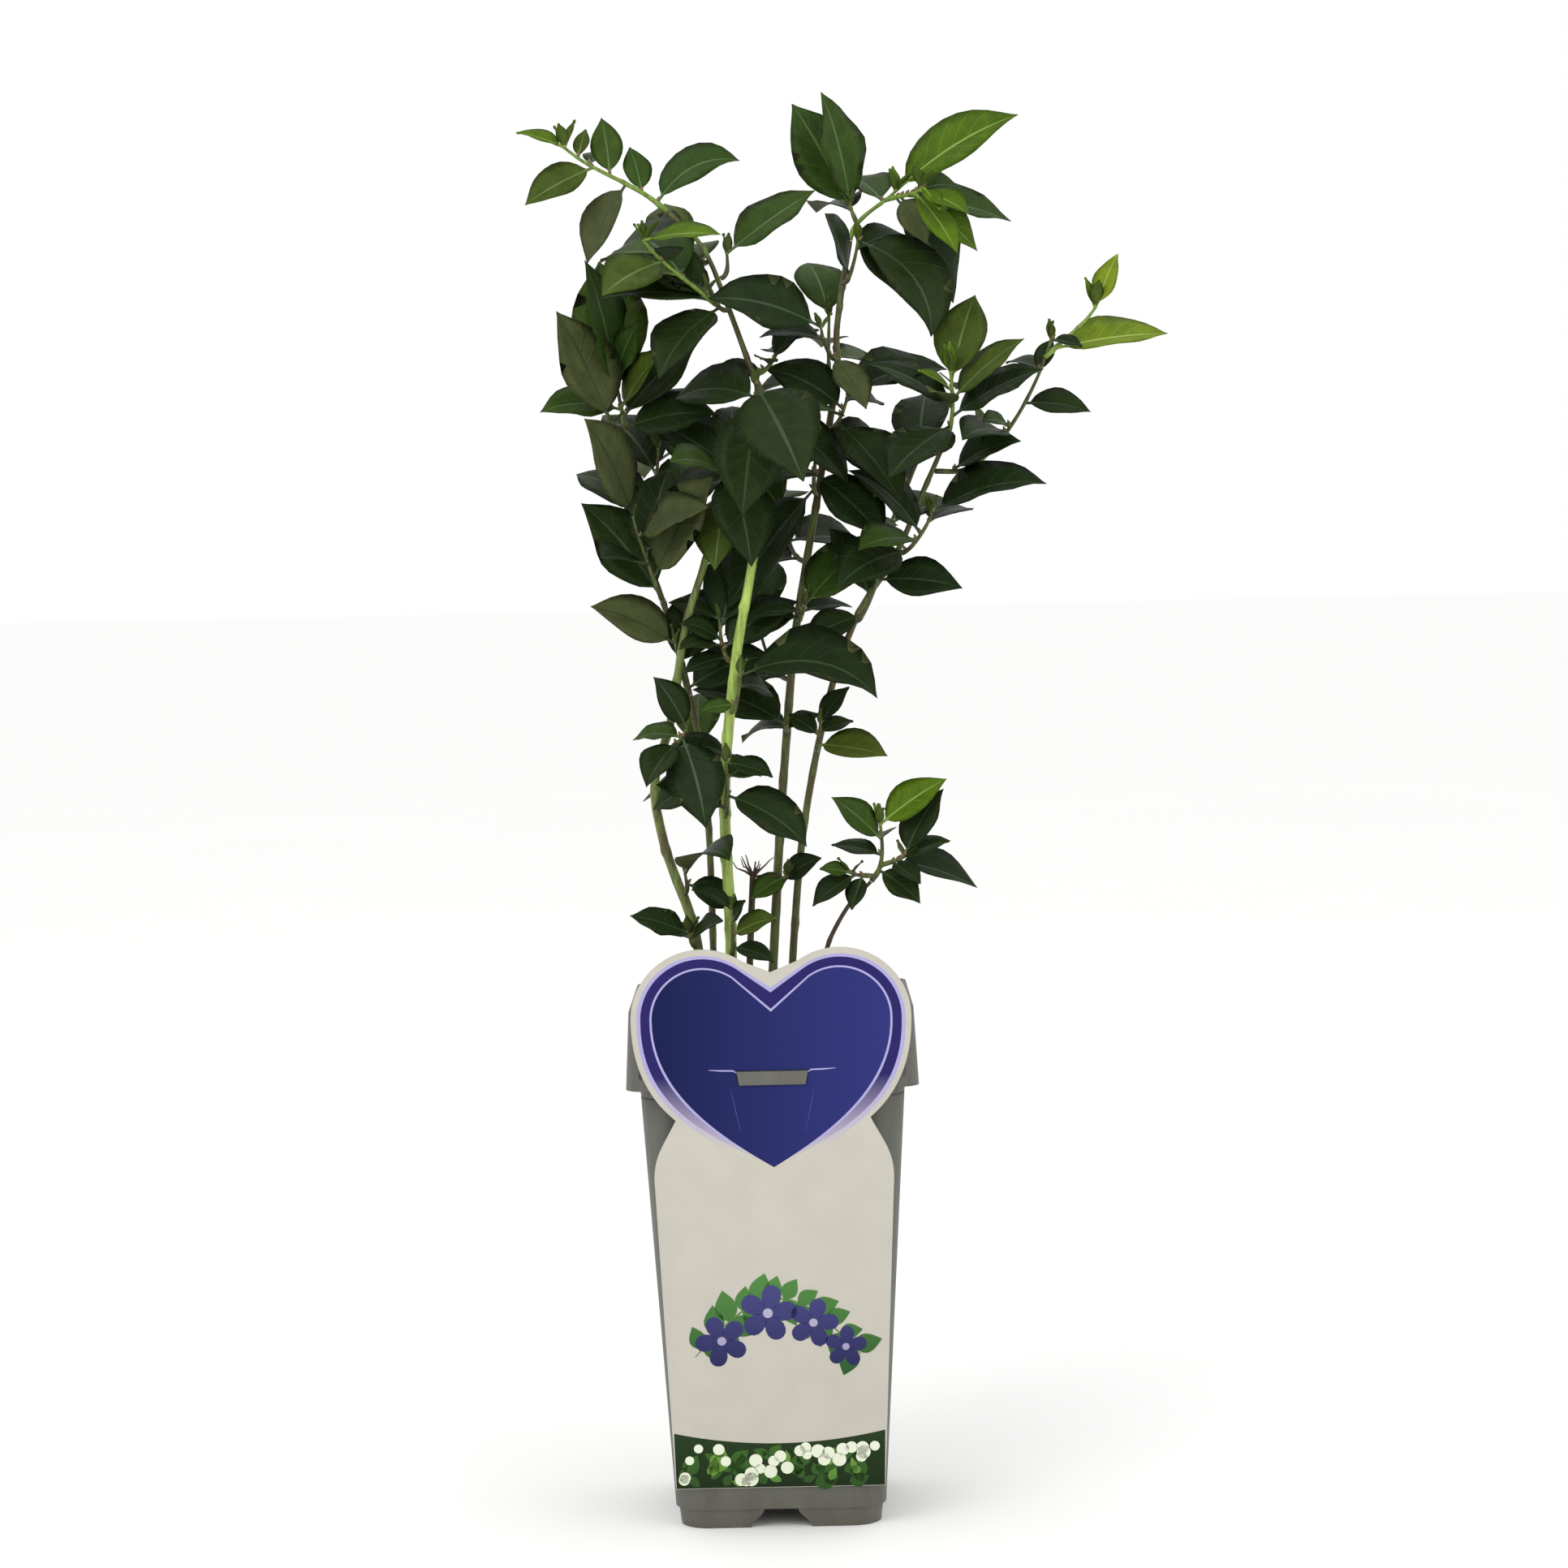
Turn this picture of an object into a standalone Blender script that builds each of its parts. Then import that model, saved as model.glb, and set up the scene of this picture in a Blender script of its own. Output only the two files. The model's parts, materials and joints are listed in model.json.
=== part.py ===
"""Young highbush blueberry bush in a tall square nursery pot.

Metres, +Z up. The origin is under the middle of the pot, the pot's front faces -Y,
and the crown leans to +X.
"""

import math
import random
from collections import namedtuple

import bmesh
import bpy
from mathutils import Matrix, Vector
from mathutils.bvhtree import BVHTree

MM = 0.001
CM = 0.01
GAP = 0.3 * MM

# Pot: a thin tapering square shell on four corner feet, which steps out to a collar round its top
POT_HEIGHT = 19.8 * CM
FOOT_HEIGHT = 0.75 * CM
FLOOR_WIDTH = 8.0 * CM
WALL_TOP_WIDTH = 9.95 * CM
WALL_THICKNESS = 1.6 * MM
WALL_CORNER = 11 * MM
COLLAR_LOW = 16.9 * CM
COLLAR_LOW_WIDTH = 10.95 * CM
COLLAR_TOP_WIDTH = 10.65 * CM
COLLAR_CORNER = 8 * MM
FOOT_INSET = 1.0 * MM
ARCH_TOP_WIDTH = 12.5 * MM
ARCH_FOOT_WIDTH = 23 * MM
MIDDLE_FOOT_RADIUS = 6 * MM
DRAIN_RADIUS = 3.5 * MM
DRAIN_PLACE = 17 * MM
CORNER_SEGMENTS = 5
ROUND_SIDES = 20

# Tab on the front of the collar that the label hangs on
TAB_WIDTH = 27 * MM
TAB_LOW = 17.1 * CM
TAB_HIGH = 17.65 * CM
TAB_REACH = 2.6 * MM

# Label: a card with a heart for its head, which hangs down the front of the pot
CARD_THICKNESS = 0.8 * MM
CARD_FOOT = 1.55 * CM
CARD_FOOT_HALF_WIDTH = 3.95 * CM
CARD_SHOULDER = 13.2 * CM
CARD_SHOULDER_HALF_WIDTH = 4.45 * CM
CARD_NECK = 15.8 * CM
CARD_NECK_HALF_WIDTH = 3.62 * CM
HEART_HALF_WIDTH = 5.2 * CM
HEART_WIDEST = 19.6 * CM
HEART_LOBE = 2.65 * CM
HEART_NOTCH = 21.35 * CM
SHOULDER_PULL = (0.1 * CM, 1.2 * CM)
UNDER_NECK_PULL = (0.5 * CM, -1.0 * CM)
OVER_NECK_PULL = (1.1 * CM, 0.95 * CM)
HEART_SIDE_PULL = 1.6 * CM
LOBE_TURN = 125
CARD_SIDE_STEPS = 5
HEART_SIDE_STEPS = 6
LOBE_STEPS = 10

# Peat: fills the pot to a little below the rim
SOIL_TOP = 16.2 * CM

# Leaves and twigs
FIRST_LEAF = 0.1
YOUTH_POWER = 1.5
FIRST_ROOM = 5 * MM
BACK = 90.0
DIVERGENCE = 137.5
MEAN_DROOP = 0.435
DROOP_POWER = 1.3
LEAF_STEPS = 12
LEAF_RINGS = (0.0, 0.3, 0.68)
LEAF_THICKNESS = 1.1 * MM
SLIMNESS = 0.29
WIDEST_POWER = 0.85
BLUNTNESS = 0.8
YOUNG_SLIMNESS = 0.06
PETIOLE_PART = 0.1
PETIOLE_RADIUS = 0.7 * MM
FOLD = 16.0
TWIG_RADIUS = 1.1 * MM
TWIG_TIP_RADIUS = 0.6 * MM
TWIG_POINTS = 6
TWIG_KNEE = 0.35
TWIG_RISE = 0.25
TWIG_SAG = 0.1
CLEARANCE = 0.55 * MM
# How far the seeded rule may move a leaf: its turn about its own length in radians, and for the
# leaves behind the named ones also the way it points, first rise and droop in degrees, and length
NAMED_SWAY = 0.25
FILL_SWAY = 0.3
FILL_TURN = 25
FILL_LIFT = (5, 30)
FILL_DROOP = (20, 50)
FILL_LENGTH = (0.7, 0.9)
LIGHT = Vector((0.0, -0.8, 0.7)).normalized()
LIGHT_PULL = 0.85
MOST_ROLL = 1.3
FLARE = 0.7
FLARE_HEIGHT = 1.2 * CM
STRAIGHT_FOOT = 3 * MM
LIMB_PIECES = 3
LIMB_GRAIN = 1
# Ways of making room for a leaf: what it may touch of its mass, 1 for leaves and 2 for twigs as
# well, with its size, and turns and sags that are tried for each
NAMED_TRIES = ((0, 1.0), (1, 1.0), (0, 0.8), (1, 0.8), (2, 1.0), (2, 0.8), (2, 0.65))
FILL_TRIES = ((0, 1.0), (0, 0.8))
SECOND_TRIES = ((0, 0), (16, 0), (-16, 0), (0, 18), (0, -18), (32, 8), (-32, 8), (50, 0), (-50, 0))

Limb = namedtuple("Limb", "name foot_radius tip_radius points")
Mass = namedtuple("Mass", "name middle reach")
Shoot = namedtuple("Shoot", "name mass parent along tip youth fill leaves")

# Limbs, as the bends of their middle lines in centimetres from the peat or fork up
LIMBS = (
    Limb("stem_left", 2.1 * MM, 1.3 * MM, (
        (-2.6, -0.3, 16.23), (-2.8, 0.0, 21.8), (-3.9, 0.0, 25.4), (-4.3, 0.0, 28.1),
        (-3.6, 0.0, 30.6), (-3.0, 0.0, 34.0), (-2.3, 0.0, 36.2), (-1.5, 0.2, 38.8))),
    Limb("stem_middle", 2.4 * MM, 1.5 * MM, (
        (-1.6, -1.0, 16.23), (-1.5, -1.0, 22.0), (-1.6, -1.0, 27.8), (-1.1, -1.0, 32.6),
        (-0.4, -1.0, 36.3), (0.0, -0.8, 39.0), (0.1, -0.5, 42.6))),
    Limb("stem_right", 1.9 * MM, 1.1 * MM, (
        (-0.2, 1.0, 16.23), (0.3, 1.0, 23.8), (0.8, 1.0, 29.8), (1.3, 1.0, 34.2),
        (2.3, 1.0, 39.6), (3.0, 1.0, 43.6), (3.05, 1.0, 45.4), (3.6, 1.0, 48.7))),
    Limb("stem_far_right", 1.6 * MM, 0.9 * MM, (
        (0.5, 0.6, 16.23), (1.2, 0.6, 24.8), (2.3, 0.5, 30.6), (3.6, 0.5, 34.3),
        (5.1, 0.2, 36.6), (6.2, 0.0, 39.0), (7.1, -0.4, 41.0))),
    Limb("stem_thin_left", 1.4 * MM, 0.9 * MM, (
        (-2.2, 1.2, 16.23), (-2.3, 1.2, 26.5), (-2.9, 1.1, 31.3), (-3.8, 1.0, 34.8),
        (-4.6, 1.0, 37.2), (-5.2, 1.0, 39.6), (-5.2, 1.0, 41.2))),
    Limb("stem_low_right", 1.1 * MM, 0.7 * MM, (
        (1.5, -1.0, 16.23), (2.0, -1.0, 21.0), (2.9, -1.0, 23.1), (3.9, -1.1, 24.2))),
    Limb("stem_pruned", 1.5 * MM, 1.2 * MM, (
        (-0.9, 0.1, 16.23), (-0.8, 0.1, 21.0), (-0.6, 0.0, 24.6))),
    Limb("bough_left_fork", 1.3 * MM, 0.8 * MM, (
        (0.1, -0.5, 42.64), (0.1, -0.47, 42.95), (-0.3, -0.5, 43.9), (-1.1, -0.5, 46.2),
        (-2.0, -0.5, 48.4), (-3.3, -0.5, 49.8))),
)

# Space that each mass of leaves keeps to, as the middle and the reach of an ellipsoid in centimetres
MASSES = (
    Mass("leaves_top_left", (-5.5, -0.5, 51.2), (5.5, 6.0, 5.0)),
    Mass("leaves_upper_left", (-3.0, -1.5, 47.2), (6.8, 6.5, 5.5)),
    Mass("leaves_upper_right", (0.2, -0.5, 49.0), (4.0, 3.5, 3.2)),
    Mass("leaves_fork_right", (0.8, 0.8, 44.8), (4.5, 5.0, 4.0)),
    Mass("leaves_left_top", (-5.4, 1.0, 44.5), (5.0, 6.0, 6.5)),
    Mass("leaves_left_middle", (-4.8, 0.0, 38.0), (5.5, 6.0, 5.5)),
    Mass("leaves_left_low", (-4.0, 0.5, 34.8), (6.0, 5.0, 4.5)),
    Mass("leaves_centre", (-0.8, -0.5, 39.0), (5.0, 6.0, 5.5)),
    Mass("leaves_heart", (0.2, -2.2, 41.5), (4.5, 6.0, 6.0)),
    Mass("leaves_middle", (0.0, -1.0, 32.5), (7.0, 7.0, 5.0)),
    Mass("leaves_middle_back", (-0.8, 0.8, 34.6), (6.5, 6.0, 5.0)),
    Mass("leaves_low_left", (-3.3, -1.0, 29.4), (5.0, 5.0, 5.0)),
    Mass("leaves_low_middle", (-1.5, -1.5, 26.8), (5.5, 5.5, 4.5)),
    Mass("leaves_low_arch", (-2.8, -0.5, 23.8), (5.0, 5.0, 3.5)),
    Mass("leaves_left_foot", (-3.4, -0.3, 22.0), (3.5, 3.5, 2.6)),
    Mass("leaves_foot", (-1.6, -0.6, 21.6), (4.5, 4.5, 2.8)),
    Mass("leaves_top_right", (5.8, 0.0, 50.2), (7.5, 7.0, 7.0)),
    Mass("leaves_right_node", (3.0, 0.0, 47.0), (6.0, 6.0, 5.0)),
    Mass("leaves_right_fork", (1.5, 0.0, 45.4), (5.5, 6.0, 4.0)),
    Mass("leaves_right_stem", (3.6, 0.5, 42.4), (6.0, 6.0, 5.0)),
    Mass("leaves_right_inner", (2.0, 0.0, 39.3), (6.0, 6.0, 6.0)),
    Mass("leaves_right_crown", (7.4, -0.8, 43.2), (6.0, 6.5, 6.0)),
    Mass("leaves_far_right", (11.0, 0.0, 43.8), (6.5, 6.0, 6.0)),
    Mass("leaves_right_middle", (6.6, 0.0, 38.6), (6.0, 6.0, 5.0)),
    Mass("leaves_right_low", (5.0, 0.0, 35.4), (5.0, 6.0, 4.0)),
    Mass("leaves_right_foot", (2.9, 0.5, 30.0), (4.5, 5.0, 4.5)),
    Mass("leaves_stem_right_low", (1.6, 1.0, 34.8), (5.0, 5.5, 4.5)),
    Mass("leaves_stem_right_foot", (0.6, 1.0, 29.6), (4.5, 5.5, 4.0)),
    Mass("leaves_stem_right_base", (0.3, 1.2, 24.2), (4.0, 4.5, 3.5)),
    Mass("leaves_low_right", (4.6, -1.2, 25.0), (5.5, 5.5, 5.0)),
    Mass("leaves_back_top", (-3.0, 2.8, 48.6), (5.0, 5.5, 4.5)),
    Mass("leaves_back_left", (-4.2, 3.8, 40.8), (5.5, 5.5, 5.0)),
    Mass("leaves_back_centre", (0.8, 4.0, 39.6), (5.5, 5.5, 5.0)),
    Mass("leaves_back_right", (3.0, 3.6, 46.0), (5.0, 5.5, 4.5)),
    Mass("leaves_back_far", (6.2, 3.6, 40.4), (5.0, 5.5, 5.0)),
    Mass("leaves_back_middle", (0.0, 3.8, 34.0), (5.0, 5.0, 4.5)),
    Mass("leaves_back_low", (-2.7, 3.6, 29.2), (4.0, 4.5, 3.8)),
)

# Shoots of each mass: parent limb or shoot, place along it, tip in centimetres, how young its last
# leaves are from 0 to 1, leaves grown by the turn rule behind the named ones, and the named leaves
# from the first up. A named leaf has the way it points as seen from the front, how far it comes
# forward and its droop, in degrees, and its length in centimetres
SHOOTS = (
    Shoot("tl_main", "leaves_top_left", "bough_left_fork", 1.0, (-7.2, -0.7, 52.3), 0.7, 1, (
        (22, 5, 75, 3.8), (105, -20, 20, 2.0), (243, -5, 20, 3.4), (98, -10, 15, 2.3),
        (210, 15, 15, 3.1), (75, -25, 10, 1.3), (163, 0, 20, 1.9))),
    Shoot("ul_node", "leaves_upper_left", "bough_left_fork", 0.45, (-1.9, -1.5, 46.7), 0.1, 2, (
        (232, 28, 40, 4.2), (179, 12, 30, 4.4), (165, -20, 45, 4.0))),
    Shoot("ul_main", "leaves_upper_left", "ul_node", 0.5, (-4.2, -2.3, 48.6), 0.9, 2, (
        (150, -20, 40, 3.4), (80, -62, 20, 4.6), (215, 48, 20, 4.0), (0, 22, 20, 3.2))),
    Shoot("ul_back", "leaves_upper_left", "ul_node", 0.4, (-2.6, 0.8, 48.8), 0.2, 1, (
        (150, -30, 40, 3.4), (188, -15, 50, 4.8))),
    Shoot("ur_main", "leaves_upper_right", "bough_left_fork", 0.6, (-1.1, -0.4, 48.2), 0.2, 0, (
        (34, -5, 10, 4.2),)),
    Shoot("fr_main", "leaves_fork_right", "bough_left_fork", 0.12, (0.8, 0.8, 44.7), 0.1, 2, (
        (188, 0, 20, 2.2), (50, -20, 30, 2.2), (20, -15, 40, 1.8))),
    Shoot("lt_main", "leaves_left_top", "stem_thin_left", 1.0, (-5.5, 0.8, 43.6), 0.3, 2, (
        (5, 15, 30, 3.8), (43, -15, 25, 4.2), (50, 25, 20, 3.0),
        (103, 12, 15, 5.5), (98, -20, 20, 5.4), (65, 10, 20, 2.4))),
    Shoot("lt_front", "leaves_left_top", "lt_main", 0.2, (-5.7, -0.1, 41.9), 0.0, 0, (
        (115, 5, 12, 4.7),)),
    Shoot("lm_main", "leaves_left_middle", "stem_thin_left", 0.75, (-4.9, -0.3, 38.3), 0.1, 2, (
        (130, 5, 20, 4.7), (57, 20, 20, 4.9), (108, -30, 20, 4.2), (20, 35, 30, 3.6),
        (115, 33, 25, 4.8))),
    Shoot("ll_main", "leaves_left_low", "stem_thin_left", 0.6, (-3.4, 0.2, 33.4), 0.0, 1, (
        (20, 20, 35, 3.6), (60, -20, 30, 3.8), (156, 5, 25, 3.6))),
    Shoot("ce_main", "leaves_centre", "stem_left", 1.0, (-1.0, -1.3, 40.6), 0.1, 2, (
        (262, 30, 15, 3.7), (200, -10, 35, 4.0), (150, -15, 30, 4.2), (272, 28, 20, 4.4),
        (35, -20, 30, 3.6), (60, -40, 30, 3.0))),
    Shoot("he_main", "leaves_heart", "stem_middle", 0.97, (-0.1, -2.5, 43.1), 0.1, 1, (
        (320, -10, 40, 4.4), (262, 25, 20, 4.8), (294, 44, 15, 5.8))),
    Shoot("mi_main", "leaves_middle", "stem_middle", 0.55, (-0.9, -1.9, 32.2), 0.1, 1, (
        (190, 10, 30, 1.4), (346, 12, 80, 5.8))),
    Shoot("mi_back", "leaves_middle_back", "stem_middle", 0.62, (-1.7, 0.5, 34.3), 0.1, 2, (
        (200, 10, 30, 1.8), (30, -15, 40, 3.6), (160, 10, 40, 1.9), (70, -25, 30, 4.2),
        (163, 0, 30, 2.2))),
    Shoot("lo_main", "leaves_low_left", "stem_left", 0.58, (-3.0, -1.3, 30.2), 0.0, 1, (
        (350, 10, 40, 2.6), (235, 40, 30, 2.6), (268, 30, 20, 3.9), (122, 10, 20, 2.4))),
    Shoot("lw_main", "leaves_low_middle", "stem_middle", 0.4, (-1.5, -2.0, 28.9), 0.0, 1, (
        (160, 15, 30, 2.9), (325, 10, 35, 3.7), (205, 25, 30, 3.4), (341, 10, 25, 1.9))),
    Shoot("la_main", "leaves_low_arch", "stem_left", 0.33, (-3.2, -0.6, 24.6), 0.0, 1, (
        (332, 10, 20, 2.3), (8, 10, 75, 3.9))),
    Shoot("lf_main", "leaves_left_foot", "stem_left", 0.24, (-3.1, -0.6, 22.3), 0.0, 1, (
        (30, 40, 20, 2.0), (163, 0, 20, 2.4))),
    Shoot("fo_main", "leaves_foot", "stem_middle", 0.2, (-1.4, -1.8, 23.3), 0.0, 0, (
        (340, 20, 30, 1.8), (20, 20, 30, 2.0), (60, 30, 20, 1.2), (146, 5, 20, 1.8))),
    Shoot("tr_main", "leaves_top_right", "stem_right", 1.0, (5.4, 0.3, 50.5), 0.8, 1, (
        (290, 25, 20, 3.2), (29, 8, 25, 5.5))),
    Shoot("tr_upright", "leaves_top_right", "tr_main", 0.25, (3.65, 0.9, 50.0), 0.2, 1, (
        (118, -10, 10, 4.9), (96, 12, 10, 4.5))),
    Shoot("tr_young", "leaves_top_right", "tr_main", 0.8, (6.4, -0.8, 50.5), 1.0, 1, (
        (298, -20, 30, 4.9), (295, 25, 20, 2.4), (346, -15, 15, 4.4), (320, -20, 20, 3.6),
        (301, 25, 20, 3.2), (328, 35, 20, 2.6), (300, 45, 10, 1.6))),
    Shoot("rn_main", "leaves_right_node", "stem_right", 0.95, (3.9, 0.0, 48.6), 0.1, 2, (
        (97, 48, 20, 3.3), (302, 10, 80, 5.1))),
    Shoot("rk_main", "leaves_right_fork", "stem_right", 0.86, (2.4, -1.2, 45.3), 0.0, 1, (
        (300, 20, 30, 2.6), (167, 10, 35, 4.5))),
    Shoot("rs_main", "leaves_right_stem", "stem_right", 0.78, (3.4, 0.0, 42.8), 0.1, 2, (
        (306, 28, 20, 4.4), (140, -40, 30, 3.6), (14, 5, 30, 4.6))),
    Shoot("ri_main", "leaves_right_inner", "stem_right", 0.7, (2.2, -0.3, 41.1), 0.0, 2, (
        (234, 0, 15, 5.8), (314, 15, 20, 3.9), (200, -20, 35, 4.0), (330, -40, 25, 5.4))),
    Shoot("rc_main", "leaves_right_crown", "stem_far_right", 1.0, (7.3, -0.9, 43.5), 0.8, 2, (
        (220, 45, 20, 4.6), (25, 10, 25, 4.0), (150, -25, 35, 3.8), (38, 10, 20, 3.6),
        (151, 25, 15, 1.7), (72, -30, 20, 4.1), (90, 0, 10, 1.2))),
    Shoot("fa_main", "leaves_far_right", "stem_far_right", 0.95, (11.2, -0.2, 44.7), 0.5, 2, (
        (20, 20, 35, 3.0), (100, 10, 40, 2.2), (185, 25, 30, 3.4),
        (350, 5, 25, 2.6), (65, -20, 20, 1.5), (345, 10, 20, 1.3))),
    Shoot("fa_tip", "leaves_far_right", "fa_main", 0.9, (12.9, -0.3, 45.9), 1.0, 0, (
        (6, 15, 14, 4.4), (66, 0, 10, 2.2))),
    Shoot("rm_main", "leaves_right_middle", "stem_far_right", 0.82, (6.5, -1.1, 38.2), 0.0, 2, (
        (205, 20, 35, 3.8), (130, -25, 35, 3.8), (11, 5, 45, 4.6))),
    Shoot("rl_main", "leaves_right_low", "stem_far_right", 0.7, (4.4, -0.3, 35.7), 0.0, 1, (
        (205, 10, 25, 2.6), (120, -20, 30, 3.4), (352, 5, 25, 3.3))),
    Shoot("rf_main", "leaves_right_foot", "stem_far_right", 0.5, (2.1, -0.4, 30.2), 0.2, 1, (
        (350, 25, 15, 3.0), (150, -20, 30, 1.6), (50, -12, 25, 1.9))),
    Shoot("sl_main", "leaves_stem_right_low", "stem_right", 0.55, (1.6, -0.1, 34.8), 0.3, 1, (
        (190, 10, 35, 3.4), (188, -25, 35, 3.0), (39, -12, 15, 4.0))),
    Shoot("sf_main", "leaves_stem_right_foot", "stem_right", 0.42, (0.8, 0.0, 30.2), 0.0, 1, (
        (20, -20, 35, 2.4), (158, 10, 25, 4.2))),
    Shoot("sb_main", "leaves_stem_right_base", "stem_right", 0.24, (0.7, 0.0, 24.4), 0.0, 1, (
        (30, 10, 30, 1.8), (209, 10, 20, 1.8))),
    Shoot("lr_main", "leaves_low_right", "stem_low_right", 1.0, (4.3, -1.3, 26.4), 0.6, 1, (
        (320, 15, 20, 2.1), (170, -20, 20, 2.1), (139, 10, 15, 2.6), (33, 5, 15, 3.1))),
    Shoot("lr_right", "leaves_low_right", "lr_main", 0.3, (5.2, -1.6, 25.2), 0.1, 0, (
        (329, 25, 15, 1.7), (339, 5, 20, 3.4), (19, 15, 20, 2.1), (62, 10, 15, 3.0))),
    Shoot("lr_left", "leaves_low_right", "lr_main", 0.1, (3.1, -1.5, 24.6), 0.0, 0, (
        (250, 25, 10, 1.5), (215, 10, 20, 2.1), (172, 10, 15, 1.2))),
    Shoot("bt_main", "leaves_back_top", "bough_left_fork", 0.7, (-3.2, 3.0, 48.4), 0.4, 1, (
        (200, -30, 40, 3.8), (20, -35, 40, 3.6), (100, -50, 30, 3.6))),
    Shoot("bl_main", "leaves_back_left", "stem_thin_left", 0.88, (-4.0, 3.8, 41.0), 0.2, 2, (
        (150, -40, 40, 4.2), (10, -40, 40, 4.2), (120, -50, 40, 4.4), (60, -45, 40, 4.0))),
    Shoot("bc_main", "leaves_back_centre", "stem_right", 0.62, (0.8, 4.2, 39.6), 0.1, 2, (
        (200, -35, 40, 4.4), (350, -40, 40, 4.2), (110, -50, 40, 4.4), (60, -45, 40, 4.4))),
    Shoot("br_main", "leaves_back_right", "stem_right", 0.83, (2.8, 3.8, 46.0), 0.3, 1, (
        (190, -35, 40, 4.0), (340, -45, 40, 4.0), (110, -50, 40, 3.8))),
    Shoot("bf_main", "leaves_back_far", "stem_far_right", 0.76, (6.2, 3.8, 40.4), 0.2, 2, (
        (200, -35, 40, 4.2), (10, -40, 40, 4.0), (80, -50, 40, 4.2))),
    Shoot("bm_main", "leaves_back_middle", "stem_right", 0.48, (-0.2, 4.0, 34.0), 0.0, 2, (
        (195, -35, 40, 4.2), (340, -40, 40, 3.8), (90, -50, 40, 4.0))),
    Shoot("bo_main", "leaves_back_low", "stem_thin_left", 0.45, (-2.7, 3.8, 29.2), 0.0, 1, (
        (195, -35, 40, 3.2), (350, -40, 40, 3.2), (90, -50, 40, 3.2))),
)


def cm(point):
    """A place given in centimetres, in metres."""
    return Vector(point) * CM


def smooth_path(points, pieces):
    """Places on a smooth curve through the given ones, so many to each stretch."""
    ends = [points[0] * 2 - points[1]] + list(points) + [points[-1] * 2 - points[-2]]
    path = []
    for before, start, end, after in zip(ends, ends[1:], ends[2:], ends[3:]):
        for step in range(pieces):
            t = step / pieces
            path.append(0.5 * (2 * start + (end - before) * t
                               + (2 * before - 5 * start + 4 * end - after) * t * t
                               + (3 * start - before - 3 * end + after) * t ** 3))
    return path + [points[-1].copy()]


def new_object(name, mesh, collection):
    """A named object that holds the mesh."""
    piece = bpy.data.objects.new(name, mesh)
    collection.objects.link(piece)
    return piece


def mesh_from_curve(name, curve, turn, collection):
    """The closed mesh of a curve, with its caps welded on."""
    guide = new_object(name + "_curve", curve, collection)
    guide.matrix_world = turn
    bpy.context.view_layer.update()
    seen = guide.evaluated_get(bpy.context.evaluated_depsgraph_get())
    mesh = bpy.data.meshes.new_from_object(seen)
    mesh.transform(turn)
    bpy.data.objects.remove(guide)
    shape = bmesh.new()
    shape.from_mesh(mesh)
    bmesh.ops.remove_doubles(shape, verts=shape.verts, dist=0.001 * MM)
    shape.to_mesh(mesh)
    shape.free()
    mesh.name = name
    return new_object(name, mesh, collection)


def tube(name, path, radii, grain, collection):
    """A round tapering limb or twig along a path."""
    curve = bpy.data.curves.new(name, "CURVE")
    curve.dimensions = "3D"
    curve.bevel_depth = radii[0]
    curve.bevel_resolution = grain
    curve.use_fill_caps = True
    spline = curve.splines.new("POLY")
    spline.points.add(len(path) - 1)
    for knot, place, radius in zip(spline.points, path, radii):
        knot.co = (*place, 1.0)
        knot.radius = radius / radii[0]
    return mesh_from_curve(name, curve, Matrix(), collection)


def plate(name, outlines, half_depth, turn, collection):
    """A flat plate from closed outlines, the later ones its openings."""
    curve = bpy.data.curves.new(name, "CURVE")
    curve.dimensions = "2D"
    curve.fill_mode = "BOTH"
    curve.extrude = half_depth
    for outline in outlines:
        spline = curve.splines.new("POLY")
        spline.points.add(len(outline) - 1)
        spline.use_cyclic_u = True
        for knot, (x, y) in zip(spline.points, outline):
            knot.co = (x, y, 0.0, 1.0)
    return mesh_from_curve(name, curve, turn, collection)


def tapered_box(name, low_width, high_width, low, high, corner, collection):
    """A square block that tapers, with rounded upright corners."""
    shape = bmesh.new()
    bmesh.ops.create_cube(shape, size=1.0)
    for vertex in shape.verts:
        top = vertex.co.z > 0
        width = high_width if top else low_width
        vertex.co = (vertex.co.x * width, vertex.co.y * width, high if top else low)
    uprights = [edge for edge in shape.edges
                if abs(edge.verts[0].co.z - edge.verts[1].co.z) > (high - low) / 2]
    bmesh.ops.bevel(shape, geom=uprights, offset=corner, segments=CORNER_SEGMENTS,
                    profile=0.5, affect="EDGES")
    mesh = bpy.data.meshes.new(name)
    shape.to_mesh(mesh)
    shape.free()
    return new_object(name, mesh, collection)


def cylinder(name, radius, low, high, place, collection):
    """An upright round stub or hole."""
    shape = bmesh.new()
    middle = Matrix.Translation((place[0], place[1], (low + high) / 2))
    bmesh.ops.create_cone(shape, cap_ends=True, segments=ROUND_SIDES, radius1=radius, radius2=radius,
                          depth=high - low, matrix=middle)
    mesh = bpy.data.meshes.new(name)
    shape.to_mesh(mesh)
    shape.free()
    return new_object(name, mesh, collection)


def combine(piece, other, operation):
    """Adds a Boolean of another piece, applies it and removes the other."""
    change = piece.modifiers.new("combine", "BOOLEAN")
    change.object = other
    change.operation = operation
    change.solver = "MANIFOLD"
    apply_modifiers(piece)
    bpy.data.objects.remove(other)


def apply_modifiers(piece):
    """Replaces the mesh of a piece by what its modifiers make."""
    bpy.context.view_layer.update()
    seen = piece.evaluated_get(bpy.context.evaluated_depsgraph_get())
    mesh = bpy.data.meshes.new_from_object(seen)
    piece.modifiers.clear()
    piece.data = mesh


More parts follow.
